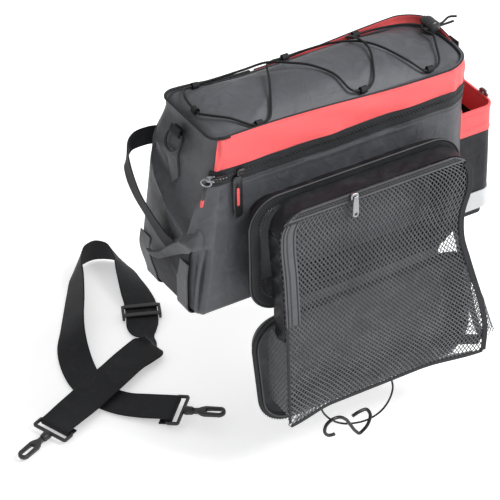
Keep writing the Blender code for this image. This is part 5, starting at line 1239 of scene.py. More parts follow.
def annulus(name, outer, inner, wall, place, finish, edge=0.0009, **more):
    """A flat ring between two outlines in XY with the same number of points, its edges rounded."""
    half = wall / 2
    reach = np.linalg.norm(outer - inner, axis=1, keepdims=True)
    cut = np.minimum(edge / np.maximum(reach, 1e-9), 0.4)
    stations = [(0 * cut, -half + edge), (0 * cut, half - edge), (0.3 * cut, half - 0.3 * edge), (cut, half),
                (1 - cut, half), (1 - 0.3 * cut, half - 0.3 * edge), (1 + 0 * cut, half - edge),
                (1 + 0 * cut, -half + edge), (1 - 0.3 * cut, -half + 0.3 * edge), (1 - cut, -half),
                (cut, -half), (0.3 * cut, -half + 0.3 * edge)]
    rings = [np.concatenate([outer + (inner - outer) * share, np.full((len(outer), 1), rise)], axis=1)
             for share, rise in stations]
    faces = lattice(len(rings), len(outer), True, True)[0].tolist()
    return link_piece(name, placed(place, np.array(rings).reshape(-1, 3)), faces, finish, sharp=50.0, **more)


def even_loop(points, count):
    """count points evenly spaced round a closed outline."""
    closed = np.concatenate([points, points[:1]])
    reach = lengths(closed)
    at = np.linspace(0.0, reach[-1], count, endpoint=False)
    return np.stack([np.interp(at, reach, closed[:, k]) for k in range(points.shape[1])], axis=1)


def rounded(left, right, low, high, corner, count=240):
    """A rounded rectangle, anticlockwise from the foot's left, as evenly spaced points."""
    points = []
    for cx, cy, begin in ((right - corner, low + corner, -90.0), (right - corner, high - corner, 0.0),
                          (left + corner, high - corner, 90.0), (left + corner, low + corner, 180.0)):
        angle = np.radians(begin + np.linspace(0.0, 90.0, 20))
        points.append(np.stack([cx + corner * np.cos(angle), cy + corner * np.sin(angle)], axis=1))
    return even_loop(np.concatenate(points), count)


# Places of the pulls on the wall: turn round the plan.
SLIDER_TURNS = (("front_slider", "zip_slider_front", -0.48, "zip_metal"),
                ("side_slider", "zip_slider_side", 0.072, "black_plastic"))


def wall_frame(turn, height, out):
    """Origin, rearward way, upward way and outward way of the unfolded wall at a place."""
    step = 0.01
    here = wall_point(turn, height, out, folded=False)
    along = unit(wall_point(turn + step, height, out, folded=False)
                 - wall_point(turn - step, height, out, folded=False))
    up = wall_point(turn, height + step * RIM_HEIGHT, out, folded=False) - here
    up = unit(up - along * (up @ along))
    return here, along, up, np.cross(along, up)


@finish_piece
class BAG_OT_pulls(bpy.types.Operator):
    """Main zip's two sliders with the corded pull, its short chain, and the flat striped pull"""

    bl_idname = "rackbag.pulls"
    bl_label = "Zip sliders and pulls"

    def execute(self, context):
        finish = finishes()
        height = COLLAR_FOOT - ZIP_COIL
        for name, node, turn, slot in SLIDER_TURNS:
            here, along, up, out = wall_frame(turn, height, ZIP_SEAT + SLIDER_HEIGHT / 2)
            place = basis(here, along, up)
            block(name, (SLIDER_LENGTH, SLIDER_WIDTH, SLIDER_HEIGHT), place, finish[slot], 0.45,
                  replaces=[node], slot=slot)
            turn_at = np.linspace(0.0, math.pi, 14)
            arch = [here + along * 0.36 * SLIDER_LENGTH * math.cos(t) + out * (0.45 * SLIDER_HEIGHT
                    + 0.0026 * math.sin(t)) for t in turn_at]
            tube(name + "_bridge", arch, 0.0007, finish[slot], 8, slot=slot)
        self.build_cord_pull(finish, height)
        self.build_flat_pull(finish, height)
        return {"FINISHED"}

    def build_cord_pull(self, finish, height):
        """The front slider's pull: a short thick cord, its coral end, a silver link and a black chain."""
        drop = height - SLIDER_WIDTH / 2 - 2 * CLEAR
        here, along, up, out = wall_frame(CORD_PULL_TURN, drop - CORD_PULL_WIDTH / 2, 0.0046)
        foot = here - up * CORD_PULL_LENGTH - along * 0.2 * CORD_PULL_LENGTH
        path = route([here, (here + foot) / 2 + out * 0.1 * CORD_PULL_LENGTH, foot], 24)
        tube("cord_pull", path, CORD_PULL_WIDTH / 2, finish["black_plastic"], 12,
             replaces=["zip_pull_cord"], slot="black_plastic")
        way = unit(path[-1] - path[-2])
        tip = path[-1] + way * CLEAR
        place = basis(tip, way, out)
        reach, radius = 0.55 * CORD_PULL_LENGTH, 0.62 * CORD_PULL_WIDTH
        turned("cord_pull_end", [(0, 0.5 * radius), (0.04 * reach, 0.95 * radius), (0.5 * reach, radius),
                                 (0.9 * reach, 0.92 * radius), (reach, 0.5 * radius), (reach, 0)], place,
               finish["coral_cloth"], replaces=["zip_pull_tip"], slot="coral_cloth")
        here, along, up, out = wall_frame(SLIDER_TURNS[0][2], height, 0.0075)
        link = [here - along * (0.0052 + 0.0062 * math.cos(t)) + up * (-0.0040 + 0.0048 * math.sin(t))
                for t in np.linspace(0, 2 * math.pi, 24, endpoint=False)]
        tube("front_slider_link", link, 0.0011, finish["zip_metal"], 8, True, slot="zip_metal")
        for number in range(7):
            here, along, up, out = wall_frame(-0.33 + 0.055 * number, height + 0.0008, 0.0066)
            ring = [here + along * 0.0040 * math.cos(t) + (up if number % 2 else unit(up + 1.6 * out))
                    * 0.0030 * math.sin(t) for t in np.linspace(0, 2 * math.pi, 18, endpoint=False)]
            tube(f"side_chain_{number + 1}", ring, 0.0010, finish["black_plastic"], 8, True, slot="black_plastic")

    def build_flat_pull(self, finish, height):
        """The side slider's flat moulded pull with its inlaid coral stripe."""
        drop = height - SLIDER_WIDTH / 2 - 2 * CLEAR
        here, along, up, out = wall_frame(SLIDER_TURNS[1][2], drop - TAB_PULL_LENGTH / 2, 0.0)
        seat = ZIP_SEAT + TAB_PULL_WALL / 2
        place = basis(here + out * seat, along, up)
        outer = rounded(-TAB_PULL_WIDTH / 2, TAB_PULL_WIDTH / 2, -TAB_PULL_LENGTH / 2, TAB_PULL_LENGTH / 2,
                        0.0045, 96)
        stripe = rounded(-0.13 * TAB_PULL_WIDTH, 0.13 * TAB_PULL_WIDTH, -0.21 * TAB_PULL_LENGTH,
                         0.21 * TAB_PULL_LENGTH, 0.0014, 96)
        annulus("flat_pull", outer, stripe, TAB_PULL_WALL, place, finish["black_plastic"],
                replaces=["zip_pull_tab"], slot="black_plastic")
        block("flat_pull_stripe", (0.30 * TAB_PULL_WIDTH, 0.44 * TAB_PULL_LENGTH, TAB_PULL_WALL + 0.0008), place,
              finish["coral_cloth"], 0.3, replaces=["zip_pull_stripe"], slot="coral_cloth")


def d_outline(width, drop):
    """The closed middle line of a D ring: a straight bar at the top and a round foot."""
    half = width / 2
    straight = drop - half * 0.9
    turn = np.linspace(0.0, math.pi, 25)
    arc = np.stack([half * np.cos(turn), -straight - half * 0.9 * np.sin(turn)], axis=1)
    sides = [(-half, -0.5 * straight), (-0.93 * half, -0.08 * straight), (-0.75 * half, 0.0), (0.0, 0.0),
             (0.75 * half, 0.0), (0.93 * half, -0.08 * straight), (half, -0.5 * straight)]
    return even_loop(np.concatenate([arc, np.array(sides)]), 64)


@finish_piece
class BAG_OT_rings(bpy.types.Operator):
    """D rings of both ends in their folded webbing tabs"""

    bl_idname = "rackbag.rings"
    bl_label = "End rings"

    def execute(self, context):
        finish = finishes()
        for name, turn in (("front_ring", RING_TURN), ("rear_ring", REAR_RING_TURN)):
            joint = next(j for j in frame["joints"] if j["child"] == name)
            here, along = np.array(joint["pos_m"]), -np.array(joint["axis"], float)
            up = wall_frame(turn, 0.95 * RIM_HEIGHT, 0.0)[2]
            up = unit(up - along * (up @ along))
            out = np.cross(along, up)
            path = np.array([here + along * x + up * y for x, y in d_outline(RING_WIDTH, RING_DROP)])
            carry(name + "_moulded", path, np.tile(out, (len(path), 1)), circle(RING_WIRE / 2, 12),
                  finish["black_plastic"], True, body=name, replaces=[name], slot="black_plastic")
            wrap = RING_WIRE / 2 + CLEAR + WEB_WALL / 2
            tail = 0.32 * RING_DROP
            turn_at = np.linspace(0.0, math.pi, 14)
            points = [(tail, wrap)] + [(-wrap * math.sin(t), wrap * math.cos(t)) for t in turn_at]
            points.append((tail, -wrap))
            path = route([here + up * rise + out * away for rise, away in points], 40)
            ups = np.cross(np.tile(along, (len(path), 1)), unit(np.gradient(path, axis=0)))
            carry(name + "_webbing", path, ups, strap_profile(RING_TAB_WIDTH, WEB_WALL), finish["black_webbing"],
                  replaces=[name + "_tab"], slot="black_webbing")
        return {"FINISHED"}


HANDLE_ROUTE = (
    # turn, height, away
    (4.86, 0.778, -0.060), (4.97, 0.778, 0.040), (5.25, 0.785, 0.420), (5.60, 0.780, 0.900), (5.95, 0.735, 1.150),
    (6.10, 0.665, 1.120), (6.20, 0.580, 0.880), (6.30, 0.500, 0.560), (6.40, 0.430, 0.280), (6.50, 0.385, 0.140),
    (6.57, 0.362, 0.050), (6.62, 0.350, -0.010),
)
RACK_STRAPS = (("rack_strap_near", 6.85), ("rack_strap_far", 6.05))


@finish_piece
class BAG_OT_webbing(bpy.types.Operator):
    """Grab handle, rack straps and the front ring's patch"""

    bl_idname = "rackbag.webbing"
    bl_label = "Handle and rack straps"

    def execute(self, context):
        cloth = context.scene.rack_bag_cloth
        finish = finishes()
        rows = np.array(HANDLE_ROUTE)
        away = rows[:, 2] * HANDLE_WIDTH + 4 * GAP + WEB_WALL
        points = wall_point(rows[:, 0], rows[:, 1] * RIM_HEIGHT, away, folded=False)
        outer = wall_point(rows[:, 0], rows[:, 1] * RIM_HEIGHT, away + HANDLE_WIDTH, folded=False)
        both = route(np.concatenate([points, outer - points], axis=1), 110)
        carry("handle_webbing", both[:, :3], both[:, 3:], strap_profile(HANDLE_WIDTH, WEB_WALL),
              finish["black_webbing"], replaces=["grab_handle"], slot="black_webbing")
        for name, turn in RACK_STRAPS:
            self.build_rack_strap(name, turn, cloth, finish)
        way = np.linspace(RING_TURN - 0.105, RING_TURN + 0.105, 24)
        rises = np.linspace(0.66, 0.93, 40) * RIM_HEIGHT
        point = smooth((rises - rises[0]) / 0.014)[:, None]
        way = RING_TURN + (way[None, :] - RING_TURN) * (0.06 + 0.94 * point)
        wall_cloth("ring_patch", way, rises[:, None], 5 * GAP + TAPE_WALL, TAPE_WALL + 0.001, cloth.fold,
                   finish["dark_nylon"], replaces=["front_ring_patch"], slot="dark_nylon")
        return {"FINISHED"}

    def build_rack_strap(self, name, turn, cloth, finish):
        """A strap from the front end's foot seam, round the foot edge and under the floor."""
        rises = np.linspace(0.30 * RIM_HEIGHT, FOOT_ROUND, 30)
        seat = 2 * GAP + WEB_WALL / 2
        rows = [wall_point(turn, rise, seat, cloth.fold) for rise in rises]
        foot = wall_point(turn, FOOT_ROUND, seat, cloth.fold)
        for angle in np.radians(np.linspace(8.0, 90.0, 12)):
            reach = FOOT_ROUND + seat
            rows.append(foot + np.array([reach * (1 - math.cos(angle)), 0.0, -reach * math.sin(angle)]))
        rows += [rows[-1] + np.array([RACK_STRAP_WIDTH * k / 6, 0.0, 0.0]) for k in range(1, 7)]
        path = np.array(rows)
        tangent = unit(np.gradient(path, axis=0))
        ups = np.cross(tangent, np.tile((0.0, 1.0, 0.0), (len(path), 1)))
        carry(name + "_webbing", path, ups, strap_profile(RACK_STRAP_WIDTH, WEB_WALL), finish["dark_nylon"],
              replaces=[name], slot="black_webbing")
        for side in (-1, 1):
            line = path + np.array([0.0, side * 0.42 * RACK_STRAP_WIDTH, 0.0]) + ups * 0.55 * WEB_WALL
            stitches(f"{name}_stitches_{'near' if side < 0 else 'far'}", line[:30], ups[:30], finish["thread"],
                     cloth.stitch)


# The lacing's route from the lock back to the lock, in shares of the lid's length and half width,
# and how many cord thicknesses it is lifted.
LACING_ROUTE = (
    # along, side, lift
    (0.960, 0.12, 1.9), (0.930, -0.02, 0.7), (0.905, -0.36, 0.0), (0.872, -0.74, 0.0), (0.846, -0.85, 0.0),
    (0.822, -0.85, 0.0), (0.798, -0.85, 0.0), (0.760, -0.60, 0.0), (0.715, -0.10, 0.0), (0.668, 0.26, 0.0),
    (0.600, 0.56, 0.0), (0.520, 0.80, 0.0), (0.480, 0.85, 0.0), (0.455, 0.85, 0.0), (0.430, 0.85, 0.0),
    (0.390, 0.70, 0.0), (0.345, 0.46, 0.0), (0.310, 0.05, 0.0), (0.265, -0.42, 0.0), (0.225, -0.78, 0.0),
    (0.199, -0.85, 0.0), (0.175, -0.85, 0.0), (0.151, -0.85, 0.0), (0.100, -0.62, 0.0), (0.056, -0.36, 0.0),
    (0.036, -0.16, 0.0), (0.036, 0.00, 0.0), (0.036, 0.16, 0.0), (0.045, 0.48, 0.0), (0.066, 0.80, 0.0),
    (0.087, 0.85, 0.0), (0.111, 0.85, 0.0), (0.135, 0.85, 0.0), (0.200, 0.78, 0.0), (0.275, 0.62, 0.6),
    (0.345, 0.46, 1.3), (0.400, 0.22, 0.6), (0.455, -0.05, 0.0), (0.500, -0.45, 0.0), (0.520, -0.77, 0.0),
    (0.542, -0.85, 0.0), (0.566, -0.85, 0.0), (0.590, -0.85, 0.0), (0.620, -0.72, 0.0), (0.660, -0.30, 0.0),
    (0.676, 0.02, 0.5), (0.668, 0.26, 1.3), (0.672, 0.54, 0.5), (0.684, 0.78, 0.0), (0.706, 0.85, 0.0),
    (0.730, 0.85, 0.0), (0.754, 0.85, 0.0), (0.815, 0.76, 0.0), (0.880, 0.58, 0.5), (0.925, 0.38, 1.2),
    (0.960, 0.28, 1.9),
)
LACE_LOOPS = (
    # along, side, way to the edge in quarter turns from +X
    (0.822, -0.85, -1), (0.455, 0.85, 1), (0.175, -0.85, -1), (0.036, 0.00, 2), (0.111, 0.85, 1),
    (0.566, -0.85, -1), (0.730, 0.85, 1),
)


@finish_piece
class BAG_OT_lacing(bpy.types.Operator):
    """Elastic lacing over the lid, its webbing loops and the cord lock"""

    bl_idname = "rackbag.lacing"
    bl_label = "Lacing"

    def execute(self, context):
        finish = finishes()
        rows = np.array(LACING_ROUTE)
        seat = LACING / 2 + LOOP_WALL + 10 * CLEAR
        spots, normal = lid_frame(rows[:, 0], rows[:, 1])
        points = spots + normal * (seat + rows[:, 2:] * LACING)
        lock = lid_frame(np.array(0.965), np.array(0.30))[0]
        lock = lock + np.array([0, 0, LOCK_RADIUS + 3 * CLEAR + 0.6 * LACING])
        entry, pitch = np.array([-LOCK_RADIUS * 1.6, 0.0, 0.0]), np.array([0.0, 0.72 * LACING, 0.0])
        spot = lock + np.array([0.0, LOCK_SLOT, 0.0])
        tail = [spot - pitch + entry, spot - pitch, spot - pitch - entry,
                spot - pitch * 2.6 - entry * 1.9 + [0, 0, 0.9 * LACING], spot - entry * 2.5 + [0, 0, 1.4 * LACING],
                spot + pitch * 2.6 - entry * 1.9 + [0, 0, 0.9 * LACING], spot + pitch - entry, spot + pitch,
                spot + pitch + entry]
        whole = np.concatenate([tail[4:], points[::-1][1:-1], tail[:4]])
        knots = np.arange(len(whole))
        path = through(knots, whole, np.linspace(0, len(whole) - 1, 9 * (len(whole) - 1) + 1))
        tube("lacing_elastic", path, LACING / 2, finish["elastic_cord"], 10, replaces=["lacing_cord"],
             slot="elastic_cord")
        for number, (along, side, toward) in enumerate(LACE_LOOPS):
            self.build_loop(number + 1, along, side, toward, seat, finish)
        self.build_lock(lock, finish)
        return {"FINISHED"}

    def build_loop(self, number, along, across, toward, seat, finish):
        """A webbing loop from the lid's edge, under the lacing, over it and back to the edge."""
        foot, up = lid_frame(np.array(along), np.array(across))
        way = np.array([math.cos(toward * math.pi / 2), math.sin(toward * math.pi / 2), 0.0])
        way = unit(way - up * (way @ up))
        radius = LACING / 2 + LOOP_WALL / 2 + 5 * CLEAR
        rows = [(LOOP_REACH, seat - radius), (0.0, seat - radius)]
        rows += [(radius * math.cos(a), seat + radius * math.sin(a))
                 for a in np.radians([230, 205, 180, 155, 130, 90, 45])]
        rows.append((LOOP_REACH, seat - radius + LOOP_WALL + 2 * CLEAR))
        centres = np.array([foot + way * reach + up * rise for reach, rise in rows])
        for row, layer in ((0, 1.0), (-1, 2.5)):
            floor = lid_height(centres[row, 0], centres[row, 1]) + layer * LOOP_WALL + 6 * CLEAR
            centres[row, 2] = max(centres[row, 2], floor)
        path = route(centres, 44)
        side = np.cross(up, way)
        ups = np.cross(np.tile(side, (len(path), 1)), unit(np.gradient(path, axis=0)))
        carry(f"lace_webbing_{number}", path, ups, strap_profile(LOOP_WIDTH, LOOP_WALL), finish["black_webbing"],
              replaces=[f"lace_loop_{number}"], slot="black_webbing")

    def build_lock(self, centre, finish):
        """The lock's ribbed barrel and its sprung button."""
        place = basis(centre, (0, 1, 0), (0, 0, 1))
        half, r = LOCK_LENGTH / 2, LOCK_RADIUS
        deep = half - BUTTON_DEPTH - BUTTON_TRAVEL
        profile = [(-half, 0.30 * r), (-half, 0.55 * r), (-0.86 * half, 0.86 * r), (-0.72 * half, r),
                   (-0.20 * half, r), (-0.12 * half, 0.93 * r), (0.05 * half, 0.93 * r), (0.12 * half, r),
                   (0.80 * half, r),
                   (0.93 * half, 0.97 * r), (half, 0.86 * r), (half, BUTTON_RADIUS + CLEAR),
                   (deep, BUTTON_RADIUS + CLEAR), (deep, 0.0)]
        turned("lock_barrel", profile, place, finish["black_plastic"], 36, replaces=["cord_lock_body"],
               slot="black_plastic")
        end = half + BUTTON_REACH
        start = half - BUTTON_DEPTH + CLEAR
        turned("lock_button", [(start, 0), (start, BUTTON_RADIUS), (end - 0.0016, BUTTON_RADIUS),
                               (end - 0.0004, 0.92 * BUTTON_RADIUS), (end, 0.78 * BUTTON_RADIUS),
                               (end - 0.0005, 0.60 * BUTTON_RADIUS), (end - 0.0005, 0.0)], place,
               finish["black_plastic"], 32, body="cord_lock_button", replaces=["cord_lock_button"],
               slot="black_plastic")


def pannier_outline(inset, upper=True, count=OUTLINE_POINTS):
    """The rim line of the upper shell or of the hanging flap, drawn in by inset."""
    if upper:
        half = PANNIER_LENGTH / 2 - inset
        return rounded(PANNIER_SHIFT - half, PANNIER_SHIFT + half, PANNIER_FOOT + inset, PANNIER_TOP - inset,
                       PANNIER_CORNER - inset, count)
    half = FLAP_LENGTH / 2 - inset
    low, high = -FLAP_NOTCH - FLAP_DROP + FLAP_LIFT + inset, -FLAP_NOTCH - inset
    line = rounded(FLAP_SHIFT - half, FLAP_SHIFT + half, low, high, PANNIER_CORNER - inset, count)
    drawn = (FLAP_SHIFT + half - line[:, 0]) / FLAP_LENGTH * (high - line[:, 1]) / FLAP_DROP
    line[:, 0] += FLAP_TAPER * drawn
    return line


def ring_at(points, depth):
    """Outline points in X and Z at a distance from the bag's middle plane, towards -Y."""
    return np.stack([points[:, 0], np.full(len(points), -depth), points[:, 1]], axis=1)


def crumple(grid, size, scale, seed):
    """Crumpled cloth's height over a grid: sharp-backed waves, each 1 - |sin| of a slanted distance."""
    x, y, z = grid[..., 0], grid[..., 1], grid[..., 2]
    found = 0.0
    for k in range(5):
        a, b, c = (math.sin(seed + 2.3 * k), math.cos(1.7 * seed + 3.1 * k), math.sin(2.1 * seed + 1.3 * k))
        wave = np.sin(scale * (1 + 0.35 * k) * (a * x + b * z + 0.8 * c * y) + 1.9 * k + seed)
        found = found + (1.0 - np.abs(wave) * 1.6) * (0.55 ** k)
    return size * found


@finish_piece
class BAG_OT_pannier(bpy.types.Operator):
    """Open upper shell of the near pannier: crumpled gusset, piping, zip and hinge"""

    bl_idname = "rackbag.pannier"
    bl_label = "Upper pannier shell"

    def execute(self, context):
        cloth = context.scene.rack_bag_cloth
        finish = finishes()
        rim = PANNIER_RIM
        depth = np.linspace(0.0, 1.0, 18)
        outer, inner = [], []
        for share in depth:
            away = HALF + GAP + (PANNIER_DEPTH - GAP) * share
            flare = PANNIER_FLARE * (1 - share) ** 1.3
            outer.append(ring_at(pannier_outline(flare), away))
            inner.append(ring_at(pannier_outline(flare + CLOTH), away))
        outer, inner = np.array(outer), np.array(inner)
        fade = (np.sin(math.pi * np.clip(depth, 0, 1)) ** 0.7)[:, None, None]
        centre = np.array([PANNIER_SHIFT, 0.0, (PANNIER_TOP + PANNIER_FOOT) / 2])
        inward = unit((centre - outer) * np.array([0.35, 0.0, 1.0]))
        dent = (0.0014 + crumple(outer, 0.0030, 95.0, 1.3))[..., None] * fade
        pushed = inward * np.maximum(dent, -0.0010)
        shell("pannier_wall", outer + pushed, inner + pushed, finish["black_nylon"], True,
              replaces=["pannier_gusset"], slot="black_nylon")
        line = ring_at(pannier_outline(CLOTH / 2), rim + PIPING / 2 + CLEAR)
        ups = np.tile((0.0, -1.0, 0.0), (len(line), 1))
        carry("pannier_edge_piping", line, ups, circle(THIN_PIPING, 10), finish["grey_piping"], True,
              replaces=["pannier_piping"], slot="grey_piping")
        face = rim + PIPING / 2 + CLEAR
        start = CLOTH / 2 + PIPING / 2 + CLEAR
        rings = np.array([ring_at(pannier_outline(start + 0.0135 * s), face - 0.0020 * s**2)
                          for s in np.linspace(0, 1, 7)])
        shift = np.array([0.0, TAPE_WALL / 2, 0.0])
        shell("pannier_zip_tape", rings - shift, rings + shift, finish["zip_tape"], True,
              replaces=["pannier_zip"], slot="zip_tape")
        line = ring_at(pannier_outline(start + 0.0130), face + 0.0002)
        teeth("pannier_zip_teeth", line, ups, finish["black_plastic"], cloth.tooth, 0.0042, True)
        stitches("pannier_zip_stitches", ring_at(pannier_outline(start + 0.004), face + TAPE_WALL / 2), ups,
                 finish["thread"], cloth.stitch, True)
        low, high = -FLAP_NOTCH + CLEAR, PANNIER_FOOT - CLEAR
        x = PANNIER_SHIFT + np.linspace(-HINGE_LENGTH / 2, HINGE_LENGTH / 2 + HINGE_SPREAD, 80)[None, :]
        share = np.linspace(0.0, 1.0, 12)[:, None]
        y = -(rim - CLOTH) + 0.0016 * np.sin(math.pi * share) * np.sin(70 * x) ** 2
        grid = np.stack(np.broadcast_arrays(x, y, low + (high - low) * share), axis=-1)
        sheet("hinge_cloth", grid, 2 * CLOTH, finish["dark_nylon"], replaces=["pannier_hinge"], slot="dark_nylon")
        return {"FINISHED"}


@finish_piece
class BAG_OT_flap(bpy.types.Operator):
    """Lower half of the near pannier: a padded tray with bound edge, piping and zip"""

    bl_idname = "rackbag.flap"
    bl_label = "Hanging pannier half"

    def execute(self, context):
        cloth = context.scene.rack_bag_cloth
        finish = finishes()
        rim = PANNIER_RIM
        back = rim - FLAP_DEPTH
        corner = PANNIER_CORNER
        stations = through([0, 1, 2, 3], [(0.78 * corner, 0.0), (0.35 * corner, 0.0), (0.10 * corner, 0.30),
                                         (0.0, 1.0)], np.linspace(0, 3, 22))
        outer, inner = [], []
        base = pannier_outline(0.78 * corner, False)
        middle = base.mean(axis=0)
        for share in np.array([0.01, 0.2, 0.4, 0.6, 0.75, 0.88, 0.96]):
            outer.append(ring_at(middle + share * (base - middle), back))
            inner.append(ring_at(middle + share * (base - middle), back + CLOTH))
        for inset, share in stations:
            away = back + FLAP_DEPTH * share
            outer.append(ring_at(pannier_outline(max(inset, 0.0), False), away))
            inner.append(ring_at(pannier_outline(max(inset, 0.0) + 0.6 * CLOTH, False),
                                 away + CLOTH * (1 - share)))
        outer, inner = np.array(outer), np.array(inner)
        wave = crumple(outer, 0.0016, 60.0, 0.4)
        wave = wave * np.concatenate([np.ones(7), np.linspace(1.0, 0.0, 22)])[:, None]
        for grid in (outer, inner):
            grid[..., 1] -= np.maximum(wave, -0.0012)
        shell("flap_cloth", outer, inner, finish["dark_nylon"], True, replaces=["flap_tray"], slot="dark_nylon")
        ups = np.tile((0.0, -1.0, 0.0), (OUTLINE_POINTS, 1))
        line = ring_at(pannier_outline(CLOTH + PIPING, False), rim + PIPING / 2 + TAPE_WALL + 2 * CLEAR)
        carry("flap_edge_piping", line, ups, circle(THIN_PIPING, 10), finish["grey_piping"], True,
              replaces=["flap_piping"], slot="grey_piping")
        face = rim + CLEAR + TAPE_WALL / 2
        rings = np.array([ring_at(pannier_outline(-BINDING_WIDTH / 3 + 1.34 * BINDING_WIDTH * s, False), face
                                  - 0.0014 * (2 * s - 1) ** 2) for s in np.linspace(0, 1, 7)])
        shift = np.array([0.0, TAPE_WALL / 2, 0.0])
        shell("flap_zip_tape", rings - shift, rings + shift, finish["zip_tape"], True, replaces=["flap_zip"],
              slot="zip_tape")
        teeth("flap_zip_teeth", ring_at(pannier_outline(-BINDING_WIDTH / 3 + 0.0012, False), face), ups,
              finish["black_plastic"], cloth.tooth, 0.0038, True)
        return {"FINISHED"}


def strands(name, point_of, width, height, pitch, thick, out, finish, stretch=1.0, **more):
    """Two crossing families of strands over a patch: bars along x = k * pitch + y and - y.

    Each bar has three sides, and rises and dips by a share of its thickness from crossing to
    crossing, the other family the other way round. Heights are divided by stretch first.
    """
    height = height / stretch
    vertices, faces, count = [], [], 0
    out = np.asarray(out, float)
    section = np.array([(-0.5, -0.2), (0.5, -0.2), (0.0, 0.65)]) * thick
    for sign in (1, -1):
        first = -height if sign > 0 else 0.0
        for number, start in enumerate(np.arange(first + 0.5 * pitch, first + width + height, pitch)):
            low = max(0.0, -start) if sign > 0 else max(0.0, start - width)
            high = min(height, width - start) if sign > 0 else min(height, start)
            if high - low < 0.4 * pitch:
                continue
            y = np.linspace(low, high, max(3, int(2 * (high - low) / pitch) + 2))
            x = np.clip(start + sign * y, 0.0, width)
            lift = 0.35 * thick * np.cos(math.pi * (x + sign * y) / pitch + math.pi * number)
            path = point_of(x / width, y / height, lift)
            side = unit(np.cross(unit(np.gradient(path, axis=0)), out))
            rings = path[:, None] + side[:, None] * section[None, :, :1] + out * section[None, :, 1:]
            quads = lattice(len(path), 3, False, True)[0] + count
            last = count + 3 * (len(path) - 1)
            vertices.append(rings.reshape(-1, 3))
            faces += quads.tolist() + [[count, count + 1, count + 2], [last, last + 1, last + 2]]
            count += 3 * len(path)
    return link_piece(name, np.concatenate(vertices), faces, finish, **more)


# The tape at the rear of the pouch's right side.
SIDE_BAND = (
    # along, height
    (0.138, 0.030), (0.147, -0.020), (0.155, -0.058), (0.163, -0.088), (0.171, -0.122), (0.182, -0.156),
    (0.190, -0.170),
)
# The darker strip across the pouch's lower right corner.
CORNER_BAND = ((0.104, -0.1195, -0.128), (0.135, -0.1195, -0.136), (0.168, -0.1180, -0.150))


def pouch_side(share, back, edge, depth, flare=0.0, end=None):
    """Points from the pouch's front edge (depth 0) back towards the shell (1); edge is 0 left, 1 right."""
    front = POUCH_FRONT - NET_WALL / 2 - 2 * CLEAR
    line = pouch_edges(share)[edge]
    stop = line if end is None else np.minimum(line, end)
    bow = np.sin(math.pi * depth) * (1 if edge else -1)
    top = np.max(share)
    x = line + (stop - line) * depth + flare * smooth(1.0 - share / top) * bow
    y = -(front + (back - front) * depth)
    return np.stack(np.broadcast_arrays(x, y, POUCH_FOOT + POUCH_SPAN * share), axis=-1)


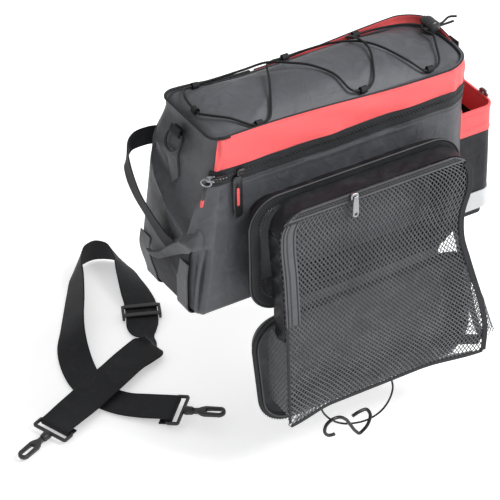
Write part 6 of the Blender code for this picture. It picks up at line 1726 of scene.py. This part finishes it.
@finish_piece
class BAG_OT_pouch(bpy.types.Operator):
    """Mesh pouch of the pannier: strands, zip band, gussets, binding and pull"""

    bl_idname = "rackbag.pouch"
    bl_label = "Mesh pouch"

    def execute(self, context):
        cloth = context.scene.rack_bag_cloth
        finish = finishes()
        shell_back = PANNIER_RIM + PIPING + 4 * CLEAR + TAPE_WALL
        tray = PANNIER_RIM - FLAP_DEPTH + CLOTH + 4 * CLEAR
        self.build_nets(context.scene.rack_bag_net, shell_back, tray, finish)
        self.build_gussets(shell_back, finish)
        self.build_band(cloth, finish)
        self.build_binding(finish)
        self.build_side_bands(finish)
        self.build_pull(finish)
        return {"FINISHED"}

    def build_nets(self, net, shell_back, tray, finish):
        """The pouch's front, sides and foot, of strands."""
        usual = {"finish": finish["black_net"], "slot": "black_net", "stretch": net.stretch}
        pitch, thick = net.pitch, net.strand
        strands("net_front_strands", lambda u, v, lift: pouch_face(u, 0.968 * v, lift), 0.292, 0.968 * POUCH_SPAN,
                pitch, thick, (0, -1, 0), replaces=["pouch_net_front"], **usual)
        waist = (-FLAP_NOTCH - 0.46 * PANNIER_CORNER - POUCH_FOOT) / POUCH_SPAN
        rim = FLAP_SHIFT + FLAP_LENGTH / 2 - 1.6 * BINDING_WIDTH
        for name, edge, back, flare, end, out in (("left", 0, tray, 0.0, None, (-1, 0, 0)),
                                                  ("right", 1, shell_back, 1.7 * FLARE, rim, (1, 0, 0))):
            def place(u, v, lift, edge=edge, back=back, flare=flare, end=end):
                spot = pouch_side(0.06 + (waist - 0.06) * v, back, edge, u, flare, end)
                return spot + np.stack([lift * (1 if edge else -1), 0 * lift, 0 * lift], axis=-1)

            wide = abs(back - POUCH_FRONT) + 0.5 * flare
            strands(f"net_{name}_strands", place, wide, (waist - 0.06) * POUCH_SPAN, pitch, thick, out,
                    replaces=[f"pouch_net_{name}"], **usual)
        left, right = (edge[0] for edge in pouch_edges(np.array([0.0])))

        def foot(u, v, lift):
            near = smooth(np.clip(v / 0.3, 0.0, 1.0))
            start = left + 3 * CLOTH + (0.5 * PANNIER_CORNER - 3 * CLOTH) * near
            stop = right - 3 * CLOTH + (rim - 0.4 * PANNIER_CORNER - right + 3 * CLOTH) * near
            y = -(POUCH_FRONT - NET_WALL - CLEAR) * (1 - v) - tray * v
            z = POUCH_FOOT + foot_arch(u) * (1 - 0.6 * v) - lift
            return np.stack([start + (stop - start) * u, y, z], axis=-1)

        strands("net_foot_strands", foot, right - left, POUCH_FRONT - tray, pitch, thick, (0, 0, -1),
                replaces=["pouch_net_bottom"], **usual)
        across = np.linspace(0.012, 0.988, 120)
        hem = pouch_face(across, np.full(120, 0.004), 0.0008, False)
        carry("net_foot_hem", hem, (0, -1, 0), strap_profile(0.0050, 0.0014), finish["zip_tape"], slot="zip_tape")

    def build_gussets(self, shell_back, finish):
        """The crumpled cloth at both sides and over the top of the pouch."""
        waist = (-FLAP_NOTCH - 0.46 * PANNIER_CORNER - POUCH_FOOT) / POUCH_SPAN + 2 * CLEAR / POUCH_SPAN
        share = np.linspace(waist, 0.90, 70)[:, None]
        depth = np.linspace(0.0, 1.0, 22)[None, :]
        back = np.where(POUCH_FOOT + POUCH_SPAN * share > -FLAP_NOTCH + BINDING_WIDTH, shell_back - 4 * CLEAR,
                        shell_back)
        for name, edge, seed in (("left", 0, 2.2), ("right", 1, 0.7)):
            grid = pouch_side(share, back, edge, depth)
            fade = np.sin(math.pi * depth) ** 0.6
            push = (crumple(grid, 0.0016, 120.0, seed) + 0.0006) * fade
            grid[..., 0] += push * (1 if edge else -1)
            sheet(f"{name}_gusset_cloth", grid, CLOTH, finish["black_nylon"],
                  replaces=[f"pouch_{name}_gusset"], slot="dark_nylon")
        seam = PANNIER_RIM + PIPING / 2 + TAPE_WALL / 2 + 2 * CLEAR
        front = POUCH_FRONT - NET_WALL / 2 - CLEAR
        share = np.concatenate([np.linspace(0.905, 0.99, 16), [0.9985]])
        left, right = pouch_edges(share)
        z = POUCH_FOOT + POUCH_SPAN * share
        middle = np.linspace(left[-1], right[-1], 60)[1:-1]
        x = np.concatenate([left, middle, right[::-1]])
        z = np.concatenate([z, np.full(len(middle), POUCH_TOP), z[::-1]])
        depth = np.linspace(0.0, 1.0, 14)[None, :]
        back = np.where(np.abs(x - PANNIER_SHIFT) < 0.35 * PANNIER_LENGTH, seam, shell_back)[:, None]
        y = -(front + (back - front) * depth)
        grid = np.stack(np.broadcast_arrays(x[:, None], y, z[:, None]), axis=-1).copy()
        grid[..., 2] -= np.abs(crumple(grid, 0.0012, 90.0, 3.1)) * np.sin(math.pi * depth)
        sheet("top_gusset_cloth", grid, CLOTH, finish["black_nylon"], replaces=["pouch_top_gusset"],
              slot="dark_nylon")

    def build_band(self, cloth, finish):
        """The zip band over the top edge and down the left edge, with its two coils and seams."""
        rise, out = BAND_SHARE, BAND_OUT
        ridge = strap_profile(0.0016, 0.0010)
        across = np.linspace(0.0, 1.0, 90)[None, :]
        rows = np.linspace(1.0 - rise, 0.999, 8)[:, None]
        outer = pouch_face(across, rows + 0 * across, out + CLOTH, False)
        inner = pouch_face(across, rows + 0 * across, out, False)
        shell("band_cloth", outer, inner, finish["dark_nylon"], replaces=["pouch_top_band"], slot="dark_nylon")
        across = np.linspace(0.012, 0.988, 240)
        for number, level in enumerate((0.26, 0.70)):
            line = pouch_face(across, np.full(240, 1.0 - rise * level), out + CLOTH, False)
            carry(f"band_line_{number + 1}", line, (0, -1, 0), ridge, finish["zip_tape"],
                  slot="zip_tape")
        line = pouch_face(across, np.full(240, 1.0 - rise * 0.48), out + CLOTH + 0.0002, False)
        teeth("band_zip_teeth", line, (0, -1, 0), finish["black_plastic"], cloth.tooth, 0.0030,
              slot="black_plastic")
        share = np.linspace(0.489, 0.952, 90)
        left = pouch_edges(share)[0]
        strip = np.linspace(0.0005, 0.0205, 10)[:, None]
        face = -(POUCH_FRONT + out)
        grid = np.stack(np.broadcast_arrays(left + strip, face, POUCH_FOOT + POUCH_SPAN * share), axis=-1)
        shift = np.array([0.0, CLOTH / 2, 0.0])
        shell("left_strip_cloth", grid - shift, grid + shift, finish["dark_nylon"], slot="dark_nylon")
        for number, reach in enumerate((0.0035, 0.0085, 0.0175)):
            line = np.stack(np.broadcast_arrays(left + reach, face - CLOTH / 2, POUCH_FOOT + POUCH_SPAN * share),
                            axis=-1)
            if number == 1:
                teeth("left_zip_teeth", line, (0, -1, 0), finish["black_plastic"], cloth.tooth, 0.0030,
                      slot="black_plastic")
            else:
                carry(f"left_strip_line_{number + 1}", line, (0, -1, 0), ridge, finish["zip_tape"],
                      slot="zip_tape")

    def build_binding(self, finish):
        """The webbing along the pouch's right edge and the narrow tape along its left edge."""
        share = np.linspace(0.01, 1.0 - BAND_SHARE - 0.01, 120)
        right = pouch_edges(share)[1]
        line = np.stack([right - BINDING_WIDTH / 2, np.full(len(share), -(POUCH_FRONT + BAND_OUT + CLOTH / 2)),
                         POUCH_FOOT + POUCH_SPAN * share], axis=1)
        carry("binding_webbing", line, (0, -1, 0), strap_profile(BINDING_WIDTH, CLOTH), finish["black_webbing"],
              replaces=["pouch_binding"], slot="zip_tape")
        share = np.linspace(0.02, 0.955, 120)
        left = pouch_edges(share)[0]
        line = np.stack([left + 0.002, np.full(len(share), -(POUCH_FRONT + 0.0010)),
                         POUCH_FOOT + POUCH_SPAN * share], axis=1)
        carry("left_binding", line, (0, -1, 0), strap_profile(0.0036, 0.0014), finish["zip_tape"], slot="zip_tape")

    def build_side_bands(self, finish):
        """The tape down the pouch's rear right edge and the darker strip across its lower right corner."""
        rows = np.array(SIDE_BAND)
        path = route(np.stack([rows[:, 0], np.full(len(rows), -0.0960), rows[:, 1]], axis=1), 70)
        carry("side_tape", path, (0, -1, 0), strap_profile(0.0085, 0.0014), finish["black_webbing"],
              slot="zip_tape")
        path = route(np.array(CORNER_BAND), 40)
        carry("corner_tape", path, (0, -1, 0), strap_profile(0.0150, 0.0012), finish["black_webbing"],
              slot="zip_tape")

    def build_pull(self, finish):
        """The pouch zip's slider and its metal pull with an eye near its end."""
        pin = np.array(next(j for j in frame["joints"] if j["child"] == "pouch_pull_tab")["pos_m"])
        half = PULL_WIDTH / 2
        centre = pin + np.array([0.0, 0.0011 + CLEAR + SLIDER_HEIGHT / 2, 0.0])
        place = basis(centre, (1, 0, 0), (0, 0, 1))
        block("band_slider", (SLIDER_LENGTH, SLIDER_WIDTH, SLIDER_HEIGHT), place, finish["zip_metal"], 0.45,
              replaces=["pouch_slider"], slot="zip_metal")
        reach = PULL_LENGTH - half
        turn = np.linspace(0.0, math.pi, 25)
        foot = np.stack([half * np.cos(turn), -reach - half * np.sin(turn)], axis=1)
        head = np.array([(-0.92 * half, -0.30 * reach), (-0.72 * half, -0.05 * reach), (-0.60 * half, 0.25 * half),
                         (0.60 * half, 0.25 * half), (0.72 * half, -0.05 * reach), (0.92 * half, -0.30 * reach)])
        outer = even_loop(np.concatenate([foot, head]), 96)
        eye = np.array([0.0, -reach])
        inner = eye + 0.50 * half * unit(outer - eye)
        place = basis(pin, (1, 0, 0), (0, 0, 1))
        annulus("pull_plate", outer, inner, PULL_WALL, place, finish["zip_metal"], 0.0005, body="pouch_pull_tab",
                replaces=["pouch_pull_tab"], slot="zip_metal")


def pocket_ring(height, inset):
    """A ring of the bottle pocket: a rounded box against the bag's rear end."""
    half = POCKET_WIDTH / 2 - inset
    end = REAR_END + REAR_SWELL + POCKET_REACH - inset
    corner = 0.35 * POCKET_REACH - inset
    back = np.linspace(half, -half, BACK_POINTS)
    side = np.clip(np.abs(back) - HALF + REAR_CORNER, 0.0, REAR_CORNER)
    face = REAR_END - REAR_CORNER + np.sqrt(REAR_CORNER**2 - side**2)
    face = face + REAR_SWELL * (1.0 - (back / HALF) ** 2) + 3 * GAP + inset
    points = [np.stack([face, back], axis=1)]
    side = np.linspace(face[-1], end - corner, SIDE_POINTS + 2)[1:-1]
    points.append(np.stack([side, np.full(len(side), -half)], axis=1))
    for sign, begin in ((-1.0, -90.0), (1.0, 0.0)):
        angle = np.radians(begin + np.linspace(0.0, 90.0, ARC_POINTS))
        points.append(np.stack([end - corner + corner * np.cos(angle),
                                sign * (half - corner) + corner * np.sin(angle)], axis=1))
    points.append(np.stack([side[::-1], np.full(len(side), half)], axis=1))
    ring = np.concatenate(points)
    return np.concatenate([ring, np.full((len(ring), 1), height)], axis=1)


@finish_piece
class BAG_OT_pocket(bpy.types.Operator):
    """Bottle pocket on the rear end with its coral rim, reflective band and toggle"""

    bl_idname = "rackbag.pocket"
    bl_label = "Bottle pocket"

    def execute(self, context):
        cloth = context.scene.rack_bag_cloth
        finish = finishes()
        seam = POCKET_TOP - POCKET_RIM
        share = np.linspace(0.0, 1.0, 26)
        rises = POCKET_FOOT + (seam - POCKET_FOOT) * share
        draws = 0.15 * POCKET_REACH * (1.0 - smooth(np.clip(share * 4.0, 0.0, 1.0)))
        outer = np.array([pocket_ring(z, d) for z, d in zip(rises, draws)])
        inner = np.array([pocket_ring(max(z, POCKET_FOOT + CLOTH), d + CLOTH) for z, d in zip(rises, draws)])
        centre = outer[0].mean(axis=0)
        floor_outer, floor_inner = (np.array([centre + (ring - centre) * s for s in (0.02, 0.4, 0.8)])
                                    for ring in (outer[0], inner[0]))
        floor_inner[..., 2] = POCKET_FOOT + CLOTH
        dent = crumple(outer, 0.0012, 70.0, 0.9)[..., None] * np.sin(math.pi * share)[:, None, None]
        way = unit((centre - outer) * np.array([1.0, 1.0, 0.0]))
        away = np.where(outer[..., :1] > REAR_END + REAR_SWELL + 0.012, 1.0, 0.0)
        pushed = way * np.maximum(dent, -0.0008) * away
        outer, inner = outer + pushed, inner + pushed
        shell("pocket_cloth", np.concatenate([floor_outer, outer]), np.concatenate([floor_inner, inner]),
              finish["black_nylon"], True, replaces=["bottle_pocket"], slot="black_nylon")
        share = np.linspace(0.0, 1.0, 16)
        roll = 0.0011 * (np.exp(-((share - 0.93) / 0.09) ** 2) + 0.7 * np.exp(-((share - 0.03) / 0.06) ** 2))
        outer = np.array([pocket_ring(seam + CLEAR + (POCKET_RIM - CLEAR) * s, -0.3 * CLOTH - r)
                          for s, r in zip(share, roll)])
        inner = np.array([pocket_ring(seam + CLEAR + (POCKET_RIM - CLEAR) * s, 0.9 * CLOTH) for s in share])
        shell("rim_cloth", outer, inner, finish["coral_cloth"], True, replaces=["pocket_rim"], slot="coral_cloth")
        pick = np.arange(BACK_POINTS, BACK_POINTS + 2 * (ARC_POINTS + SIDE_POINTS))
        for number, rise in enumerate((0.05, 0.30, 0.80)):
            line = pocket_ring(seam + POCKET_RIM * rise, -0.3 * CLOTH - 0.0006)[pick]
            ups = unit(line - line.mean(axis=0))
            stitches(f"rim_stitches_{number + 1}", line, ups, finish["coral_thread"], cloth.stitch,
                     slot="coral_cloth")
        low = max(REFLECTOR_RISE - 0.4 * REFLECTOR_WIDTH, POCKET_FOOT + 0.2 * POCKET_REACH)
        rises = np.linspace(low, low + REFLECTOR_WIDTH, 8)
        outer = np.array([pocket_ring(z, -GAP - TAPE_WALL - 0.0004)[pick] for z in rises])
        inner = np.array([pocket_ring(z, -GAP - 0.0002)[pick] for z in rises])
        shell("reflective_band", outer, inner, finish["reflective_tape"], replaces=["pocket_reflector"],
              slot="reflective_tape")
        end = REAR_END + REAR_SWELL + POCKET_REACH
        place = basis((end + 0.3 * CLOTH + COLLAR_WALL / 2 + CLEAR, -0.22 * POCKET_WIDTH, POCKET_TOP
                       + 0.05 * POCKET_RIM), (0, 1, 0), (0, 0, 1))
        turn = np.linspace(0.0, 2 * math.pi, 64, endpoint=False)
        outline = np.stack([0.10 * POCKET_WIDTH * np.cos(turn), 0.16 * POCKET_RIM * np.sin(turn)], axis=1)
        annulus("toggle_plate", outline, outline * 0.22, 1.8 * COLLAR_WALL, place, finish["zip_metal"],
                replaces=["pocket_toggle"], slot="black_plastic")
        return {"FINISHED"}


@finish_piece
class BAG_OT_far_side(bpy.types.Operator):
    """Closed pannier of the far side and its piping"""

    bl_idname = "rackbag.far_side"
    bl_label = "Far pannier"

    def execute(self, context):
        cloth = context.scene.rack_bag_cloth
        finish = finishes()
        back, face = HALF + GAP, HALF + FAR_DEPTH
        corner = PANNIER_CORNER
        stations = through([0, 1, 2, 3], [(0.80 * corner, face), (0.30 * corner, face),
                                         (0.06 * corner, face - 0.25 * FAR_DEPTH), (0.0, back)],
                           np.linspace(0, 3, 24))
        base = pannier_outline(0.80 * corner)
        middle = base.mean(axis=0)
        outer, inner = ([ring_at(middle + s * (base - middle), depth) for s in (0.01, 0.2, 0.4, 0.6, 0.8, 0.95)]
                        for depth in (-face, -face + CLOTH))
        for inset, depth in stations:
            inset, depth = max(inset, 0.0), min(depth, face)
            outer.append(ring_at(pannier_outline(inset), -depth))
            inner.append(ring_at(pannier_outline(inset + 0.7 * CLOTH), -depth + (CLOTH if depth > back else 0.0)))
        outer, inner = np.array(outer), np.array(inner)
        wave = crumple(outer, 0.0014, 45.0, 2.4) * np.concatenate([np.ones(6), np.linspace(1, 0, 24)])[:, None]
        outer[..., 1] += wave
        inner[..., 1] += wave
        shell("far_pannier_cloth", outer, inner, finish["dark_nylon"], True, replaces=["far_pannier"],
              slot="dark_nylon")
        line = ring_at(pannier_outline(0.30 * corner), -face - PIPING / 2 - CLEAR - 0.0012)
        carry("far_edge_piping", line, (0, 1, 0), circle(PIPING / 2, 10), finish["grey_piping"], True,
              replaces=["far_piping"], slot="grey_piping")
        line = ring_at(pannier_outline(0.22 * corner), -face - 0.0010)
        stitches("far_stitches", line, (0, 1, 0), finish["thread"], cloth.stitch, True)
        return {"FINISHED"}


# The shoulder strap from the left ring to the right ring, as it lies.
STRAP_ROUTE = (
    # along and side: middle line in shares of the strap's reach; lift: height in wall thicknesses;
    # cross: the way its width runs, in degrees from +X; bank: how steeply the width rises;
    # wide: share of its width
    # along, side, lift, cross, bank, wide
    (-0.745, 0.300, 4.4, 114, 4, 1.00), (-0.700, 0.320, 3.8, 114, 8, 1.00), (-0.640, 0.345, 3.4, 114, 12, 1.00),
    (-0.570, 0.375, 4.2, 115, 12, 1.00), (-0.500, 0.407, 4.8, 116, 10, 1.00), (-0.430, 0.445, 4.2, 114, 8, 1.02),
    (-0.372, 0.469, 3.6, 98, 7, 1.12), (-0.330, 0.489, 3.0, 82, 6, 1.24), (-0.316, 0.527, 1.2, 101, 3, 1.10),
    (-0.310, 0.569, 0.6, 122, 0, 1.00), (-0.297, 0.608, 1.0, 143, 0, 1.00), (-0.282, 0.636, 1.8, 156, 0, 1.00),
    (-0.268, 0.668, 2.0, 157, 0, 1.00), (-0.252, 0.705, 1.8, 159, 2, 1.00), (-0.238, 0.760, 0.8, 166, 14, 1.00),
    (-0.224, 0.830, 0.2, 169, 34, 1.00), (-0.212, 0.900, 0.2, 178, 52, 1.00), (-0.222, 0.968, 0.2, 207, 66, 1.00),
    (-0.262, 1.000, 0.2, 255, 72, 1.00), (-0.312, 0.992, 0.2, 300, 72, 1.00), (-0.358, 0.945, 0.2, 324, 66, 1.00),
    (-0.402, 0.868, 0.2, 330, 55, 1.00), (-0.455, 0.776, 0.2, 330, 46, 1.00), (-0.503, 0.695, 0.2, 331, 40, 1.00),
    (-0.540, 0.626, 0.2, 337, 26, 1.00), (-0.568, 0.538, 0.2, 347, 8, 1.00), (-0.580, 0.450, 0.2, 360, 2, 1.00),
    (-0.570, 0.370, 0.2, 377, 0, 1.00), (-0.535, 0.300, 0.4, 393, 2, 1.00), (-0.488, 0.242, 1.6, 401, 6, 1.00),
    (-0.440, 0.190, 3.8, 403, 6, 1.00),
)


@finish_piece
class BAG_OT_strap(bpy.types.Operator):
    """Shoulder strap on the floor with its slide, end rings and snap hooks"""

    bl_idname = "rackbag.strap"
    bl_label = "Shoulder strap"

    def execute(self, context):
        finish = finishes()
        rows = np.array(STRAP_ROUTE)
        flat = rows[:, :2] * STRAP_REACH
        cross, bank = np.radians(rows[:, 3]), np.radians(rows[:, 4])
        half = STRAP_WIDTH / 2 * rows[:, 5]
        sides = np.stack([np.cos(cross) * np.cos(bank), np.sin(cross) * np.cos(bank), np.sin(bank)],
                         axis=1) * half[:, None]
        height = FLOOR + CLEAR + rows[:, 2] * STRAP_WALL + STRAP_WALL / 2 + half * np.abs(np.sin(bank))
        centres = np.stack([flat[:, 0], flat[:, 1], height], axis=1)
        wrap = 0.72 * BAR + 2 * CLEAR + STRAP_WALL / 2
        ends = []
        for which, step in ((0, centres[0] - centres[1]), (-1, centres[-1] - centres[-2])):
            out = unit(step)
            side = sides[which] - out * (sides[which] @ out)
            side = unit(side) * STRAP_WIDTH / 2
            up = unit(np.cross(out, side))
            up = up * np.sign(up[2])
            axis = centres[which] + out * wrap * 1.6 - up * wrap
            turn = np.linspace(0.0, math.pi, CURL_POINTS)[:, None]
            curl = axis + up * wrap * np.cos(turn) + out * wrap * np.sin(turn)
            tail = axis - up * wrap - out * 0.3 * STRAP_WIDTH
            ends.append((axis, out, side, np.concatenate([curl, tail[None]])))
        knots = lengths(centres)
        at = np.linspace(0.0, knots[-1], 260)
        line = through(knots, centres, at)
        wide = through(knots, sides, at)
        path = np.concatenate([ends[0][3][::-1], line, ends[1][3]])
        across = np.concatenate([np.tile(ends[0][2], (CURL_POINTS + 1, 1)), wide,
                                 np.tile(ends[1][2], (CURL_POINTS + 1, 1))])
        keep = np.concatenate([[True], np.linalg.norm(np.diff(path, axis=0), axis=1) > 1e-5])
        path, across = path[keep], across[keep]
        tangent = unit(np.gradient(path, axis=0))
        across = across - tangent * np.sum(across * tangent, axis=1, keepdims=True)
        share = np.linalg.norm(across, axis=1) / (STRAP_WIDTH / 2)
        profile = strap_profile(STRAP_WIDTH, STRAP_WALL) * np.stack([share, np.ones_like(share)], axis=1)[:, None]
        strap = carry("strap_webbing", path, np.cross(tangent, across), profile, finish["black_webbing"],
                      replaces=["shoulder_strap"], slot="black_webbing")
        for label, (axis, out, side, _) in zip(("left", "right"), ends):
            self.build_ring(label, axis, out, side, finish["black_plastic"])
            self.build_hook(label, axis, out, side, finish["black_plastic"])
        self.build_slide(centres[SLIDE_ROW], centres[SLIDE_ROW + 1] - centres[SLIDE_ROW - 1], sides[SLIDE_ROW],
                         finish["black_plastic"])
        return {"FINISHED"}

    def build_slide(self, centre, way, side, plastic):
        """The slide: two end bars over the strap, side bars, and a middle bar under it."""
        up = unit(np.cross(way, side))
        up = up * np.sign(up[2])
        place = basis(centre, side, up)
        width = STRAP_WIDTH + 6 * CLEAR + 2 * BAR
        rise = STRAP_WALL / 2 + 2 * CLEAR + BAR * 0.35
        inside = width - 2 * BAR
        reach = (SLIDE_LENGTH - 1.7 * BAR) / 2
        bars = [((BAR, 2 * rise + 0.7 * BAR, SLIDE_LENGTH), (sign * (inside + BAR) / 2, 0, 0)) for sign in (1, -1)]
        bars += [((inside + BAR, 0.80 * BAR, 1.7 * BAR), (0, rise, sign * reach)) for sign in (1, -1)]
        bars.append(((inside + BAR, 0.7 * BAR, BAR), (0, -rise + 0.05 * BAR, 0)))
        for number, (size, spot) in enumerate(bars):
            block(f"slide_bar_{number + 1}", size, place @ Matrix.Translation(spot), plastic, 0.30,
                  replaces=["strap_slide"] if number == 0 else (), slot="black_plastic")

    def build_ring(self, label, axis, out, side, plastic):
        """The rectangular ring through the strap's fold and the stem of its swivel."""
        place = basis(axis, out, side)
        width = STRAP_WIDTH + 6 * CLEAR
        long = RING_INSIDE + 2 * BAR
        half = (width + BAR) / 2
        loop = rounded(0.0, long - BAR, -half, half, 0.5 * BAR, LOOP_POINTS)
        path = placed(place, np.concatenate([loop, np.zeros((LOOP_POINTS, 1))], axis=1))
        up = np.array(place)[:3, 2]
        turn = np.linspace(0, 2 * math.pi, 16, endpoint=False)
        section = np.stack([np.sign(np.cos(turn)) * np.abs(np.cos(turn)) ** 0.5,
                            np.sign(np.sin(turn)) * np.abs(np.sin(turn)) ** 0.5], axis=1) * BAR / 2
        carry(f"ring_{label}", path, np.tile(up, (LOOP_POINTS, 1)), section, plastic, True,
              replaces=[f"strap_ring_{label}"], slot="black_plastic")
        start, head = RING_INSIDE + BAR, SWIVEL_HEAD
        turned(f"stem_{label}", [(start, 0), (start, STEM_RADIUS), (head, STEM_RADIUS), (head, 1.6 * STEM_RADIUS),
                                 (head + STEM_RADIUS, 1.6 * STEM_RADIUS), (head + STEM_RADIUS, 0)], place, plastic,
               slot="black_plastic")

    def build_hook(self, label, axis, out, side, plastic):
        """The snap hook: its swivel collar and its rounded loop."""
        place = basis(axis, out, side)
        foot, head = SWIVEL_FOOT, SWIVEL_HEAD
        end = head + STEM_RADIUS + CLEAR
        close = end + 0.35 * SWIVEL_RADIUS
        bore, room = STEM_RADIUS + CLEAR, 1.6 * STEM_RADIUS + CLEAR
        body = f"snap_hook_{label}"
        turned(f"hook_collar_{label}", [(end, 0), (end, room), (head - CLEAR, room), (head - CLEAR, bore),
                                        (foot, bore), (foot, 0.88 * SWIVEL_RADIUS),
                                        (foot + 0.15 * SWIVEL_RADIUS, 0.97 * SWIVEL_RADIUS),
                                        (foot + 0.3 * SWIVEL_RADIUS, SWIVEL_RADIUS), (end, 0.9 * SWIVEL_RADIUS),
                                        (close, 0.7 * SWIVEL_RADIUS), (close, 0)], place, plastic, body=body,
               replaces=[body], slot="black_plastic")
        half = HOOK_WIDTH / 2
        shank = close - 0.25 * SWIVEL_RADIUS
        bow = shank + HOOK_LENGTH - half
        turn = np.radians(np.linspace(90.0, -90.0, 31))
        upper = [(shank, 0.0), (shank, 0.36 * half), (shank + 0.15 * HOOK_LENGTH, 0.42 * half),
                 (shank + 0.26 * HOOK_LENGTH, 0.80 * half), (shank + 0.36 * HOOK_LENGTH, half)]
        arc = [(bow + half * math.cos(t), half * math.sin(t)) for t in turn]
        lower = [(x, -y) for x, y in upper[:0:-1]]
        core = half - 1.15 * BAR
        left = shank + 0.42 * HOOK_LENGTH
        hole = [(left, 0.0), (left, core)] + [(bow + core * math.cos(t), core * math.sin(t)) for t in turn]
        hole.append((left, -core))
        annulus(f"hook_loop_{label}", even_loop(np.array(upper + arc + lower), LOOP_POINTS),
                even_loop(np.array(hole), LOOP_POINTS), HOOK_WALL, place, plastic, 0.0016, body=body,
                slot="black_plastic")


STEPS = ("stage", "cords", "tub", "lid", "collar", "pulls", "rings", "webbing", "lacing", "pannier", "flap", "pouch",
         "pocket", "far_side", "strap")
OPERATORS = (BAG_OT_stage, BAG_OT_cords, BAG_OT_tub, BAG_OT_lid, BAG_OT_collar, BAG_OT_pulls, BAG_OT_rings,
             BAG_OT_webbing, BAG_OT_lacing, BAG_OT_pannier, BAG_OT_flap, BAG_OT_pouch, BAG_OT_pocket,
             BAG_OT_far_side, BAG_OT_strap)
SETTINGS = (("rack_bag_colours", BagColours), ("rack_bag_cloth", BagCloth), ("rack_bag_net", BagNet),
            ("rack_bag_stage", BagStage))


class BAG_PT_panel(bpy.types.Panel):
    """Settings and building steps of the rack bag"""

    bl_label = "Rack bag"
    bl_idname = "BAG_PT_panel"
    bl_space_type = "VIEW_3D"
    bl_region_type = "UI"
    bl_category = "Rack bag"

    def draw(self, context):
        for attribute, group in SETTINGS:
            box = self.layout.box()
            for name in group.__annotations__:
                box.prop(getattr(context.scene, attribute), name)
        for operator in OPERATORS:
            self.layout.operator(operator.bl_idname)


CLASSES = tuple(group for _, group in SETTINGS) + OPERATORS + (BAG_PT_panel,)


def register():
    for one in CLASSES:
        bpy.utils.register_class(one)
    for attribute, group in SETTINGS:
        setattr(bpy.types.Scene, attribute, bpy.props.PointerProperty(type=group))


def unregister():
    for attribute, _ in SETTINGS:
        delattr(bpy.types.Scene, attribute)
    for one in reversed(CLASSES):
        bpy.utils.unregister_class(one)


def main():
    """Registers the add-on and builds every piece."""
    register()
    for step in STEPS:
        getattr(bpy.ops.rackbag, step)()


if __name__ == "__main__":
    main()
